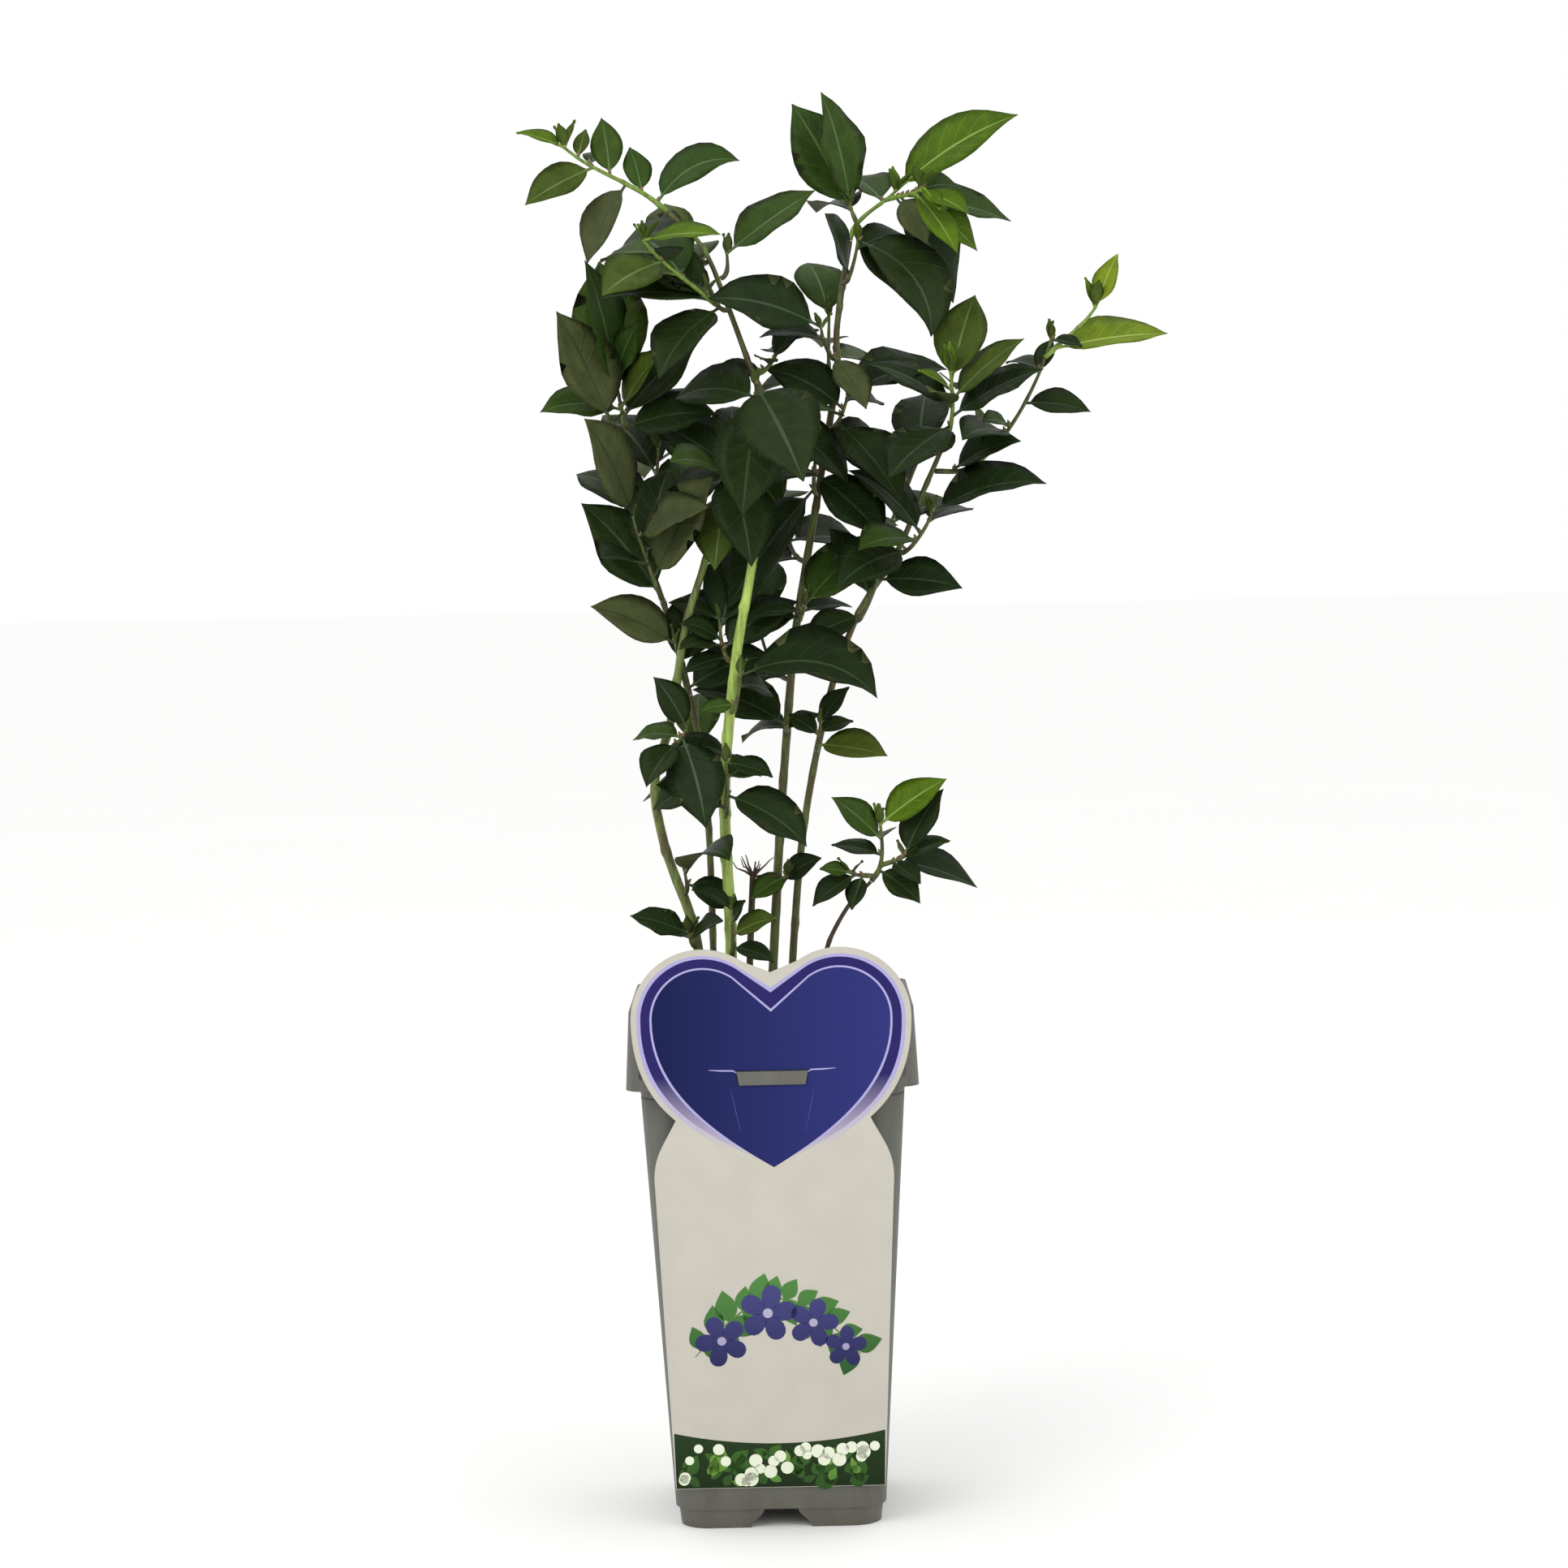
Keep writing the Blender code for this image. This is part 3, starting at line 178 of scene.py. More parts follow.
# Dressing: seam and slots of the pot, steps of the stems and leaves, and the camera
TAB_FIT = 0.1 * MM
TAB_TAPER = 0.93
POT_SEAM = 16.5 * CM
POT_SEAM_TALLNESS = 0.7 * MM
COLLAR_SLOT_PLACE = 4.75 * CM
COLLAR_SLOT_WIDTH = 4 * MM
COLLAR_SLOT_LOW = 17.35 * CM
COLLAR_SLOT_HIGH = 17.8 * CM
STEM_STEPS = 8
STEM_BARKS = {"stem_left": "green", "stem_middle": "fresh", "stem_right": "olive",
              "stem_far_right": "olive", "stem_thin_left": "olive", "stem_low_right": "dry",
              "stem_pruned": "dry", "bough_left_fork": "olive"}
STALK_STATIONS = (0.0, 0.05, 0.09)
BLADE_STATIONS = (0.02, 0.07, 0.15, 0.25, 0.36, 0.47, 0.58, 0.69, 0.79, 0.88, 0.95)
LEAF_KINDS = {"d": "dark", "m": "green", "g": "turned", "o": "olive", "b": "young", "y": "newest"}
CAMERA_PLACE = (0.0066, -1.45, 0.3637)
CAMERA_AIM = (0.0066, 0.0, 0.2794)
CAMERA_ROLL = 1.17

Limb = namedtuple("Limb", "name foot_radius tip_radius points")
Mass = namedtuple("Mass", "name middle reach")
Shoot = namedtuple("Shoot", "name mass parent along tip youth fill leaves tones")

# Limbs, as the bends of their middle lines in centimetres from the peat or fork up
LIMBS = (
    Limb("stem_left", 2.1 * MM, 1.3 * MM, (
        (-2.6, -0.3, 16.23), (-2.8, 0.0, 21.8), (-3.9, 0.0, 25.4), (-4.3, 0.0, 28.1),
        (-3.6, 0.0, 30.6), (-3.0, 0.0, 34.0), (-2.3, 0.0, 36.2), (-1.5, 0.2, 38.8))),
    Limb("stem_middle", 2.4 * MM, 1.5 * MM, (
        (-1.6, -1.0, 16.23), (-1.5, -1.0, 22.0), (-1.6, -1.0, 27.8), (-1.1, -1.0, 32.6),
        (-0.4, -1.0, 36.3), (0.0, -0.8, 39.0), (0.1, -0.5, 42.6))),
    Limb("stem_right", 1.9 * MM, 1.1 * MM, (
        (-0.2, 1.0, 16.23), (0.3, 1.0, 23.8), (0.8, 1.0, 29.8), (1.3, 1.0, 34.2),
        (2.3, 1.0, 39.6), (3.0, 1.0, 43.6), (3.05, 1.0, 45.4), (3.6, 1.0, 48.7))),
    Limb("stem_far_right", 1.6 * MM, 0.9 * MM, (
        (0.5, 0.6, 16.23), (1.2, 0.6, 24.8), (2.3, 0.5, 30.6), (3.6, 0.5, 34.3),
        (5.1, 0.2, 36.6), (6.2, 0.0, 39.0), (7.1, -0.4, 41.0))),
    Limb("stem_thin_left", 1.4 * MM, 0.9 * MM, (
        (-2.2, 1.2, 16.23), (-2.3, 1.2, 26.5), (-2.9, 1.1, 31.3), (-3.8, 1.0, 34.8),
        (-4.6, 1.0, 37.2), (-5.2, 1.0, 39.6), (-5.2, 1.0, 41.2))),
    Limb("stem_low_right", 1.1 * MM, 0.7 * MM, (
        (1.5, -1.0, 16.23), (2.0, -1.0, 21.0), (2.9, -1.0, 23.1), (3.9, -1.1, 24.2))),
    Limb("stem_pruned", 1.5 * MM, 1.2 * MM, (
        (-0.9, 0.1, 16.23), (-0.8, 0.1, 21.0), (-0.6, 0.0, 24.6))),
    Limb("bough_left_fork", 1.3 * MM, 0.8 * MM, (
        (0.1, -0.5, 42.64), (0.1, -0.47, 42.95), (-0.3, -0.5, 43.9), (-1.1, -0.5, 46.2),
        (-2.0, -0.5, 48.4), (-3.3, -0.5, 49.8))),
)

# Space that each mass of leaves keeps to, as the middle and the reach of an ellipsoid in centimetres
MASSES = (
    Mass("leaves_top_left", (-5.5, -0.5, 51.2), (5.5, 6.0, 5.0)),
    Mass("leaves_upper_left", (-3.0, -1.5, 47.2), (6.8, 6.5, 5.5)),
    Mass("leaves_upper_right", (0.2, -0.5, 49.0), (4.0, 3.5, 3.2)),
    Mass("leaves_fork_right", (0.8, 0.8, 44.8), (4.5, 5.0, 4.0)),
    Mass("leaves_left_top", (-5.4, 1.0, 44.5), (5.0, 6.0, 6.5)),
    Mass("leaves_left_middle", (-4.8, 0.0, 38.0), (5.5, 6.0, 5.5)),
    Mass("leaves_left_low", (-4.0, 0.5, 34.8), (6.0, 5.0, 4.5)),
    Mass("leaves_centre", (-0.8, -0.5, 39.0), (5.0, 6.0, 5.5)),
    Mass("leaves_heart", (0.2, -2.2, 41.5), (4.5, 6.0, 6.0)),
    Mass("leaves_middle", (0.0, -1.0, 32.5), (7.0, 7.0, 5.0)),
    Mass("leaves_middle_back", (-0.8, 0.8, 34.6), (6.5, 6.0, 5.0)),
    Mass("leaves_low_left", (-3.3, -1.0, 29.4), (5.0, 5.0, 5.0)),
    Mass("leaves_low_middle", (-1.5, -1.5, 26.8), (5.5, 5.5, 4.5)),
    Mass("leaves_low_arch", (-2.8, -0.5, 23.8), (5.0, 5.0, 3.5)),
    Mass("leaves_left_foot", (-3.4, -0.3, 22.0), (3.5, 3.5, 2.6)),
    Mass("leaves_foot", (-1.6, -0.6, 21.6), (4.5, 4.5, 2.8)),
    Mass("leaves_top_right", (5.8, 0.0, 50.2), (7.5, 7.0, 7.0)),
    Mass("leaves_right_node", (3.0, 0.0, 47.0), (6.0, 6.0, 5.0)),
    Mass("leaves_right_fork", (1.5, 0.0, 45.4), (5.5, 6.0, 4.0)),
    Mass("leaves_right_stem", (3.6, 0.5, 42.4), (6.0, 6.0, 5.0)),
    Mass("leaves_right_inner", (2.0, 0.0, 39.3), (6.0, 6.0, 6.0)),
    Mass("leaves_right_crown", (7.4, -0.8, 43.2), (6.0, 6.5, 6.0)),
    Mass("leaves_far_right", (11.0, 0.0, 43.8), (6.5, 6.0, 6.0)),
    Mass("leaves_right_middle", (6.6, 0.0, 38.6), (6.0, 6.0, 5.0)),
    Mass("leaves_right_low", (5.0, 0.0, 35.4), (5.0, 6.0, 4.0)),
    Mass("leaves_right_foot", (2.9, 0.5, 30.0), (4.5, 5.0, 4.5)),
    Mass("leaves_stem_right_low", (1.6, 1.0, 34.8), (5.0, 5.5, 4.5)),
    Mass("leaves_stem_right_foot", (0.6, 1.0, 29.6), (4.5, 5.5, 4.0)),
    Mass("leaves_stem_right_base", (0.3, 1.2, 24.2), (4.0, 4.5, 3.5)),
    Mass("leaves_low_right", (4.6, -1.2, 25.0), (5.5, 5.5, 5.0)),
    Mass("leaves_back_top", (-3.0, 2.8, 48.6), (5.0, 5.5, 4.5)),
    Mass("leaves_back_left", (-4.2, 3.8, 40.8), (5.5, 5.5, 5.0)),
    Mass("leaves_back_centre", (0.8, 4.0, 39.6), (5.5, 5.5, 5.0)),
    Mass("leaves_back_right", (3.0, 3.6, 46.0), (5.0, 5.5, 4.5)),
    Mass("leaves_back_far", (6.2, 3.6, 40.4), (5.0, 5.5, 5.0)),
    Mass("leaves_back_middle", (0.0, 3.8, 34.0), (5.0, 5.0, 4.5)),
    Mass("leaves_back_low", (-2.7, 3.6, 29.2), (4.0, 4.5, 3.8)),
)

# Shoots of each mass: parent limb or shoot, place along it, tip in centimetres, how young its last
# leaves are from 0 to 1, leaves grown by the turn rule behind the named ones, and the named leaves
# from the first up. A named leaf has the way it points as seen from the front, how far it comes
# forward and its droop, in degrees, and its length in centimetres. Last
# come their colours: d dark, m green, o olive, b young, y newest, g dark with its back shown
SHOOTS = (
    Shoot("tl_main", "leaves_top_left", "bough_left_fork", 1.0, (-7.2, -0.7, 52.3), 0.7, 1, (
        (22, 5, 75, 3.8), (105, -20, 20, 2.0), (243, -5, 20, 3.4), (98, -10, 15, 2.3),
        (210, 15, 15, 3.1), (75, -25, 10, 1.3), (163, 0, 20, 1.9)), "mmgmoob"),
    Shoot("ul_node", "leaves_upper_left", "bough_left_fork", 0.45, (-1.9, -1.5, 46.7), 0.1, 2, (
        (232, 28, 40, 4.2), (179, 12, 30, 4.4), (165, -20, 45, 4.0)), "ddd"),
    Shoot("ul_main", "leaves_upper_left", "ul_node", 0.5, (-4.2, -2.3, 48.6), 0.9, 2, (
        (150, -20, 40, 3.4), (80, -62, 20, 4.6), (215, 48, 20, 4.0), (0, 22, 20, 3.2)), "dmob"),
    Shoot("ul_back", "leaves_upper_left", "ul_node", 0.4, (-2.6, 0.8, 48.8), 0.2, 1, (
        (150, -30, 40, 3.4), (188, -15, 50, 4.8)), "dd"),
    Shoot("ur_main", "leaves_upper_right", "bough_left_fork", 0.6, (-1.1, -0.4, 48.2), 0.2, 0, (
        (34, -5, 10, 4.2),), "m"),
    Shoot("fr_main", "leaves_fork_right", "bough_left_fork", 0.12, (0.8, 0.8, 44.7), 0.1, 2, (
        (188, 0, 20, 2.2), (50, -20, 30, 2.2), (20, -15, 40, 1.8)), "ddd"),
    Shoot("lt_main", "leaves_left_top", "stem_thin_left", 1.0, (-5.5, 0.8, 43.6), 0.3, 2, (
        (5, 15, 30, 3.8), (43, -15, 25, 4.2), (50, 25, 20, 3.0),
        (103, 12, 15, 5.5), (98, -20, 20, 5.4), (65, 10, 20, 2.4)), "ddommm"),
    Shoot("lt_front", "leaves_left_top", "lt_main", 0.2, (-5.7, -0.1, 41.9), 0.0, 0, (
        (115, 5, 12, 4.7),), "g"),
    Shoot("lm_main", "leaves_left_middle", "stem_thin_left", 0.75, (-4.9, -0.3, 38.3), 0.1, 2, (
        (130, 5, 20, 4.7), (57, 20, 20, 4.9), (108, -30, 20, 4.2), (20, 35, 30, 3.6),
        (115, 33, 25, 4.8)), "dgdgg"),
    Shoot("ll_main", "leaves_left_low", "stem_thin_left", 0.6, (-3.4, 0.2, 33.4), 0.0, 1, (
        (20, 20, 35, 3.6), (60, -20, 30, 3.8), (156, 5, 25, 3.6)), "ddg"),
    Shoot("ce_main", "leaves_centre", "stem_left", 1.0, (-1.0, -1.3, 40.6), 0.1, 2, (
        (262, 30, 15, 3.7), (200, -10, 35, 4.0), (150, -15, 30, 4.2), (272, 28, 20, 4.4),
        (35, -20, 30, 3.6), (60, -40, 30, 3.0)), "oddddd"),
    Shoot("he_main", "leaves_heart", "stem_middle", 0.97, (-0.1, -2.5, 43.1), 0.1, 1, (
        (320, -10, 40, 4.4), (262, 25, 20, 4.8), (294, 44, 15, 5.8)), "ddd"),
    Shoot("mi_main", "leaves_middle", "stem_middle", 0.55, (-0.9, -1.9, 32.2), 0.1, 1, (
        (190, 10, 30, 1.4), (346, 12, 80, 5.8)), "md"),
    Shoot("mi_back", "leaves_middle_back", "stem_middle", 0.62, (-1.7, 0.5, 34.3), 0.1, 2, (
        (200, 10, 30, 1.8), (30, -15, 40, 3.6), (160, 10, 40, 1.9), (70, -25, 30, 4.2),
        (163, 0, 30, 2.2)), "ddddd"),
    Shoot("lo_main", "leaves_low_left", "stem_left", 0.58, (-3.0, -1.3, 30.2), 0.0, 1, (
        (350, 10, 40, 2.6), (235, 40, 30, 2.6), (268, 30, 20, 3.9), (122, 10, 20, 2.4)), "dddd"),
    Shoot("lw_main", "leaves_low_middle", "stem_middle", 0.4, (-1.5, -2.0, 28.9), 0.0, 1, (
        (160, 15, 30, 2.9), (325, 10, 35, 3.7), (205, 25, 30, 3.4), (341, 10, 25, 1.9)), "dddd"),
    Shoot("la_main", "leaves_low_arch", "stem_left", 0.33, (-3.2, -0.6, 24.6), 0.0, 1, (
        (332, 10, 20, 2.3), (8, 10, 75, 3.9)), "dd"),
    Shoot("lf_main", "leaves_left_foot", "stem_left", 0.24, (-3.1, -0.6, 22.3), 0.0, 1, (
        (30, 40, 20, 2.0), (163, 0, 20, 2.4)), "dd"),
    Shoot("fo_main", "leaves_foot", "stem_middle", 0.2, (-1.4, -1.8, 23.3), 0.0, 0, (
        (340, 20, 30, 1.8), (20, 20, 30, 2.0), (60, 30, 20, 1.2), (146, 5, 20, 1.8)), "dodd"),
    Shoot("tr_main", "leaves_top_right", "stem_right", 1.0, (5.4, 0.3, 50.5), 0.8, 1, (
        (290, 25, 20, 3.2), (29, 8, 25, 5.5)), "db"),
    Shoot("tr_upright", "leaves_top_right", "tr_main", 0.25, (3.65, 0.9, 50.0), 0.2, 1, (
        (118, -10, 10, 4.9), (96, 12, 10, 4.5)), "mm"),
    Shoot("tr_young", "leaves_top_right", "tr_main", 0.8, (6.4, -0.8, 50.5), 1.0, 1, (
        (298, -20, 30, 4.9), (295, 25, 20, 2.4), (346, -15, 15, 4.4), (320, -20, 20, 3.6),
        (301, 25, 20, 3.2), (328, 35, 20, 2.6), (300, 45, 10, 1.6)), "dgmbbbb"),
    Shoot("rn_main", "leaves_right_node", "stem_right", 0.95, (3.9, 0.0, 48.6), 0.1, 2, (
        (97, 48, 20, 3.3), (302, 10, 80, 5.1)), "dd"),
    Shoot("rk_main", "leaves_right_fork", "stem_right", 0.86, (2.4, -1.2, 45.3), 0.0, 1, (
        (300, 20, 30, 2.6), (167, 10, 35, 4.5)), "gd"),
    Shoot("rs_main", "leaves_right_stem", "stem_right", 0.78, (3.4, 0.0, 42.8), 0.1, 2, (
        (306, 28, 20, 4.4), (140, -40, 30, 3.6), (14, 5, 30, 4.6)), "ddd"),
    Shoot("ri_main", "leaves_right_inner", "stem_right", 0.7, (2.2, -0.3, 41.1), 0.0, 2, (
        (234, 0, 15, 5.8), (314, 15, 20, 3.9), (200, -20, 35, 4.0), (330, -40, 25, 5.4)), "dddd"),
    Shoot("rc_main", "leaves_right_crown", "stem_far_right", 1.0, (7.3, -0.9, 43.5), 0.8, 2, (
        (220, 45, 20, 4.6), (25, 10, 25, 4.0), (150, -25, 35, 3.8), (38, 10, 20, 3.6),
        (151, 25, 15, 1.7), (72, -30, 20, 4.1), (90, 0, 10, 1.2)), "dddobob"),
    Shoot("fa_main", "leaves_far_right", "stem_far_right", 0.95, (11.2, -0.2, 44.7), 0.5, 2, (
        (20, 20, 35, 3.0), (100, 10, 40, 2.2), (185, 25, 30, 3.4),
        (350, 5, 25, 2.6), (65, -20, 20, 1.5), (345, 10, 20, 1.3)), "dodddd"),
    Shoot("fa_tip", "leaves_far_right", "fa_main", 0.9, (12.9, -0.3, 45.9), 1.0, 0, (
        (6, 15, 14, 4.4), (66, 0, 10, 2.2)), "yy"),
    Shoot("rm_main", "leaves_right_middle", "stem_far_right", 0.82, (6.5, -1.1, 38.2), 0.0, 2, (
        (205, 20, 35, 3.8), (130, -25, 35, 3.8), (11, 5, 45, 4.6)), "ddd"),
    Shoot("rl_main", "leaves_right_low", "stem_far_right", 0.7, (4.4, -0.3, 35.7), 0.0, 1, (
        (205, 10, 25, 2.6), (120, -20, 30, 3.4), (352, 5, 25, 3.3)), "ddd"),
    Shoot("rf_main", "leaves_right_foot", "stem_far_right", 0.5, (2.1, -0.4, 30.2), 0.2, 1, (
        (350, 25, 15, 3.0), (150, -20, 30, 1.6), (50, -12, 25, 1.9)), "odd"),
    Shoot("sl_main", "leaves_stem_right_low", "stem_right", 0.55, (1.6, -0.1, 34.8), 0.3, 1, (
        (190, 10, 35, 3.4), (188, -25, 35, 3.0), (39, -12, 15, 4.0)), "ddm"),
    Shoot("sf_main", "leaves_stem_right_foot", "stem_right", 0.42, (0.8, 0.0, 30.2), 0.0, 1, (
        (20, -20, 35, 2.4), (158, 10, 25, 4.2)), "dd"),
    Shoot("sb_main", "leaves_stem_right_base", "stem_right", 0.24, (0.7, 0.0, 24.4), 0.0, 1, (
        (30, 10, 30, 1.8), (209, 10, 20, 1.8)), "dm"),
    Shoot("lr_main", "leaves_low_right", "stem_low_right", 1.0, (4.3, -1.3, 26.4), 0.6, 1, (
        (320, 15, 20, 2.1), (170, -20, 20, 2.1), (139, 10, 15, 2.6), (33, 5, 15, 3.1)), "ddmb"),
    Shoot("lr_right", "leaves_low_right", "lr_main", 0.3, (5.2, -1.6, 25.2), 0.1, 0, (
        (329, 25, 15, 1.7), (339, 5, 20, 3.4), (19, 15, 20, 2.1), (62, 10, 15, 3.0)), "dddd"),
    Shoot("lr_left", "leaves_low_right", "lr_main", 0.1, (3.1, -1.5, 24.6), 0.0, 0, (
        (250, 25, 10, 1.5), (215, 10, 20, 2.1), (172, 10, 15, 1.2)), "ddm"),
    Shoot("bt_main", "leaves_back_top", "bough_left_fork", 0.7, (-3.2, 3.0, 48.4), 0.4, 1, (
        (200, -30, 40, 3.8), (20, -35, 40, 3.6), (100, -50, 30, 3.6)), "dmo"),
    Shoot("bl_main", "leaves_back_left", "stem_thin_left", 0.88, (-4.0, 3.8, 41.0), 0.2, 2, (
        (150, -40, 40, 4.2), (10, -40, 40, 4.2), (120, -50, 40, 4.4), (60, -45, 40, 4.0)), "dmdd"),
    Shoot("bc_main", "leaves_back_centre", "stem_right", 0.62, (0.8, 4.2, 39.6), 0.1, 2, (
        (200, -35, 40, 4.4), (350, -40, 40, 4.2), (110, -50, 40, 4.4), (60, -45, 40, 4.4)), "ddmd"),
    Shoot("br_main", "leaves_back_right", "stem_right", 0.83, (2.8, 3.8, 46.0), 0.3, 1, (
        (190, -35, 40, 4.0), (340, -45, 40, 4.0), (110, -50, 40, 3.8)), "dmm"),
    Shoot("bf_main", "leaves_back_far", "stem_far_right", 0.76, (6.2, 3.8, 40.4), 0.2, 2, (
        (200, -35, 40, 4.2), (10, -40, 40, 4.0), (80, -50, 40, 4.2)), "dmd"),
    Shoot("bm_main", "leaves_back_middle", "stem_right", 0.48, (-0.2, 4.0, 34.0), 0.0, 2, (
        (195, -35, 40, 4.2), (340, -40, 40, 3.8), (90, -50, 40, 4.0)), "ddm"),
    Shoot("bo_main", "leaves_back_low", "stem_thin_left", 0.45, (-2.7, 3.8, 29.2), 0.0, 1, (
        (195, -35, 40, 3.2), (350, -40, 40, 3.2), (90, -50, 40, 3.2)), "ddm"),
)


def leaf_tone(shoot, index, named):
    """Colour letter of a leaf: its own if it is named, else one that suits the shoot."""
    if named:
        return shoot.tones[index]
    if shoot.youth > 0.5:
        return "mo"[index % 2]
    return "ddm"[(index + len(shoot.name) + len(shoot.tones)) % 3]


def cm(point):
    """A place given in centimetres, in metres."""
    return Vector(point) * CM


def smooth_path(points, pieces):
    """Places on a smooth curve through the given ones, so many to each stretch."""
    ends = [points[0] * 2 - points[1]] + list(points) + [points[-1] * 2 - points[-2]]
    path = []
    for before, start, end, after in zip(ends, ends[1:], ends[2:], ends[3:]):
        for step in range(pieces):
            t = step / pieces
            path.append(0.5 * (2 * start + (end - before) * t
                               + (2 * before - 5 * start + 4 * end - after) * t * t
                               + (3 * start - before - 3 * end + after) * t ** 3))
    return path + [points[-1].copy()]


def new_object(name, mesh, collection):
    """A named object that holds the mesh."""
    piece = bpy.data.objects.new(name, mesh)
    collection.objects.link(piece)
    return piece


def mesh_from_curve(name, curve, turn, collection):
    """The closed mesh of a curve, with its caps welded on."""
    guide = new_object(name + "_curve", curve, collection)
    guide.matrix_world = turn
    bpy.context.view_layer.update()
    seen = guide.evaluated_get(bpy.context.evaluated_depsgraph_get())
    mesh = bpy.data.meshes.new_from_object(seen)
    mesh.transform(turn)
    bpy.data.objects.remove(guide)
    shape = bmesh.new()
    shape.from_mesh(mesh)
    bmesh.ops.remove_doubles(shape, verts=shape.verts, dist=0.001 * MM)
    shape.to_mesh(mesh)
    shape.free()
    mesh.name = name
    return new_object(name, mesh, collection)


def tube(name, path, radii, grain, collection):
    """A round tapering limb or twig along a path."""
    curve = bpy.data.curves.new(name, "CURVE")
    curve.dimensions = "3D"
    curve.bevel_depth = radii[0]
    curve.bevel_resolution = grain
    curve.use_fill_caps = True
    spline = curve.splines.new("POLY")
    spline.points.add(len(path) - 1)
    for knot, place, radius in zip(spline.points, path, radii):
        knot.co = (*place, 1.0)
        knot.radius = radius / radii[0]
    return mesh_from_curve(name, curve, Matrix(), collection)


def wall_width(height):
    """Outer width of the pot's wall at a height."""
    part = (height - FOOT_HEIGHT) / (COLLAR_LOW - FOOT_HEIGHT)
    return FLOOR_WIDTH + (WALL_TOP_WIDTH - FLOOR_WIDTH) * part


def arch_outline():
    """Side view of the passage between two feet, with soft shoulders."""
    steps = 6
    right = []
    for step in range(steps + 1):
        part = step / steps
        sway = (1 - math.cos(math.pi * part)) / 2
        half = (ARCH_TOP_WIDTH + (ARCH_FOOT_WIDTH - ARCH_TOP_WIDTH) * sway) / 2
        right.append((half, FOOT_HEIGHT * (1 - part)))
    right.append((ARCH_FOOT_WIDTH / 2, -FOOT_HEIGHT))
    return right + [(-x, z) for x, z in reversed(right)]


def bezier(start, first, second, end, steps):
    """Places on a curve from its start up to, but not at, its end."""
    path = []
    for step in range(steps):
        t = step / steps
        u = 1 - t
        path.append(tuple(u ** 3 * a + 3 * u * u * t * b + 3 * u * t * t * c + t ** 3 * d
                          for a, b, c, d in zip(start, first, second, end)))
    return path


def pulled(point, pull):
    """A point moved sideways and up."""
    return (point[0] + pull[0], point[1] + pull[1])


def card_outline(finer):
    """Right half of the label from its foot up to the heart's notch, then the left half."""
    neck = (CARD_NECK_HALF_WIDTH, CARD_NECK)
    shoulder = (CARD_SHOULDER_HALF_WIDTH, CARD_SHOULDER)
    lobe_middle = HEART_HALF_WIDTH - HEART_LOBE
    right = [(CARD_FOOT_HALF_WIDTH, CARD_FOOT)]
    widest = (HEART_HALF_WIDTH, HEART_WIDEST)
    right += bezier(shoulder, pulled(shoulder, SHOULDER_PULL), pulled(neck, UNDER_NECK_PULL), neck,
                    CARD_SIDE_STEPS * finer)
    right += bezier(neck, pulled(neck, OVER_NECK_PULL), pulled(widest, (0, -HEART_SIDE_PULL)), widest,
                    HEART_SIDE_STEPS * finer)
    for step in range(LOBE_STEPS * finer + 1):
        angle = math.radians(LOBE_TURN * step / (LOBE_STEPS * finer))
        right.append((lobe_middle + HEART_LOBE * math.cos(angle),
                      HEART_WIDEST + HEART_LOBE * math.sin(angle)))
    left = [(-x, z) for x, z in reversed(right)]
    return right + [(0.0, HEART_NOTCH)] + left


def limb_path(limb):
    """Middle line of a limb, straight up from a flat cut at its foot, and its radii."""
    points = [cm(point) for point in limb.points]
    path = smooth_path(points, LIMB_PIECES)
    start = path[0]
    if limb.points[0][2] * CM < POT_HEIGHT:
        path[1:1] = [start + Vector((0, 0, STRAIGHT_FOOT)), start + Vector((0, 0, FLARE_HEIGHT))]
    radii = []
    for index, place in enumerate(path):
        part = index / (len(path) - 1)
        radius = limb.foot_radius + (limb.tip_radius - limb.foot_radius) * part
        if limb.points[0][2] * CM < POT_HEIGHT:
            height = (place.z - start.z) / FLARE_HEIGHT
            radius *= 1 + FLARE * max(0.0, 1 - height) ** 2
        radii.append(radius)
    return path, radii


def along(path, part):
    """Place on a path, its direction and how many steps up it is, by the share of its length."""
    lengths = [(b - a).length for a, b in zip(path, path[1:])]
    left = sum(lengths) * part
    for step, length in enumerate(lengths):
        if left <= length or step == len(lengths) - 1:
            share = min(1.0, left / length)
            start, end = path[step], path[step + 1]
            return start.lerp(end, share), (end - start).normalized(), step + share
        left -= length


def shoot_path(shoot, parents):
    """Middle line of a shoot: off its limb with a hair's gap, or out of its parent shoot."""
    path, radii, is_limb = parents[shoot.parent]
    place, axis, steps = along(path, shoot.along)
    tip = cm(shoot.tip)
    if not is_limb:
        start = place
        out = (tip - place).normalized()
    elif shoot.along >= 1.0:
        start = place + axis * GAP
        out = axis
    else:
        out = tip - place
        out = (out - axis * out.dot(axis)).normalized()
        below = radii[int(steps)]
        radius = below + (radii[int(steps) + 1] - below) * (steps - int(steps))
        start = place + out * (radius + GAP)
    reach = (tip - start).length
    knee = start + out * reach * TWIG_KNEE
    rise = tip - (tip - knee).normalized() * reach * TWIG_RISE - Vector((0, 0, TWIG_SAG * reach))
    points = bezier(start, knee, rise, tip, TWIG_POINTS - 1)
    return [Vector(point) for point in points] + [tip]


def twig_radii(count):
    """Radii of a twig from its start to its tip."""
    return [TWIG_RADIUS + (TWIG_TIP_RADIUS - TWIG_RADIUS) * step / (count - 1)
            for step in range(count)]


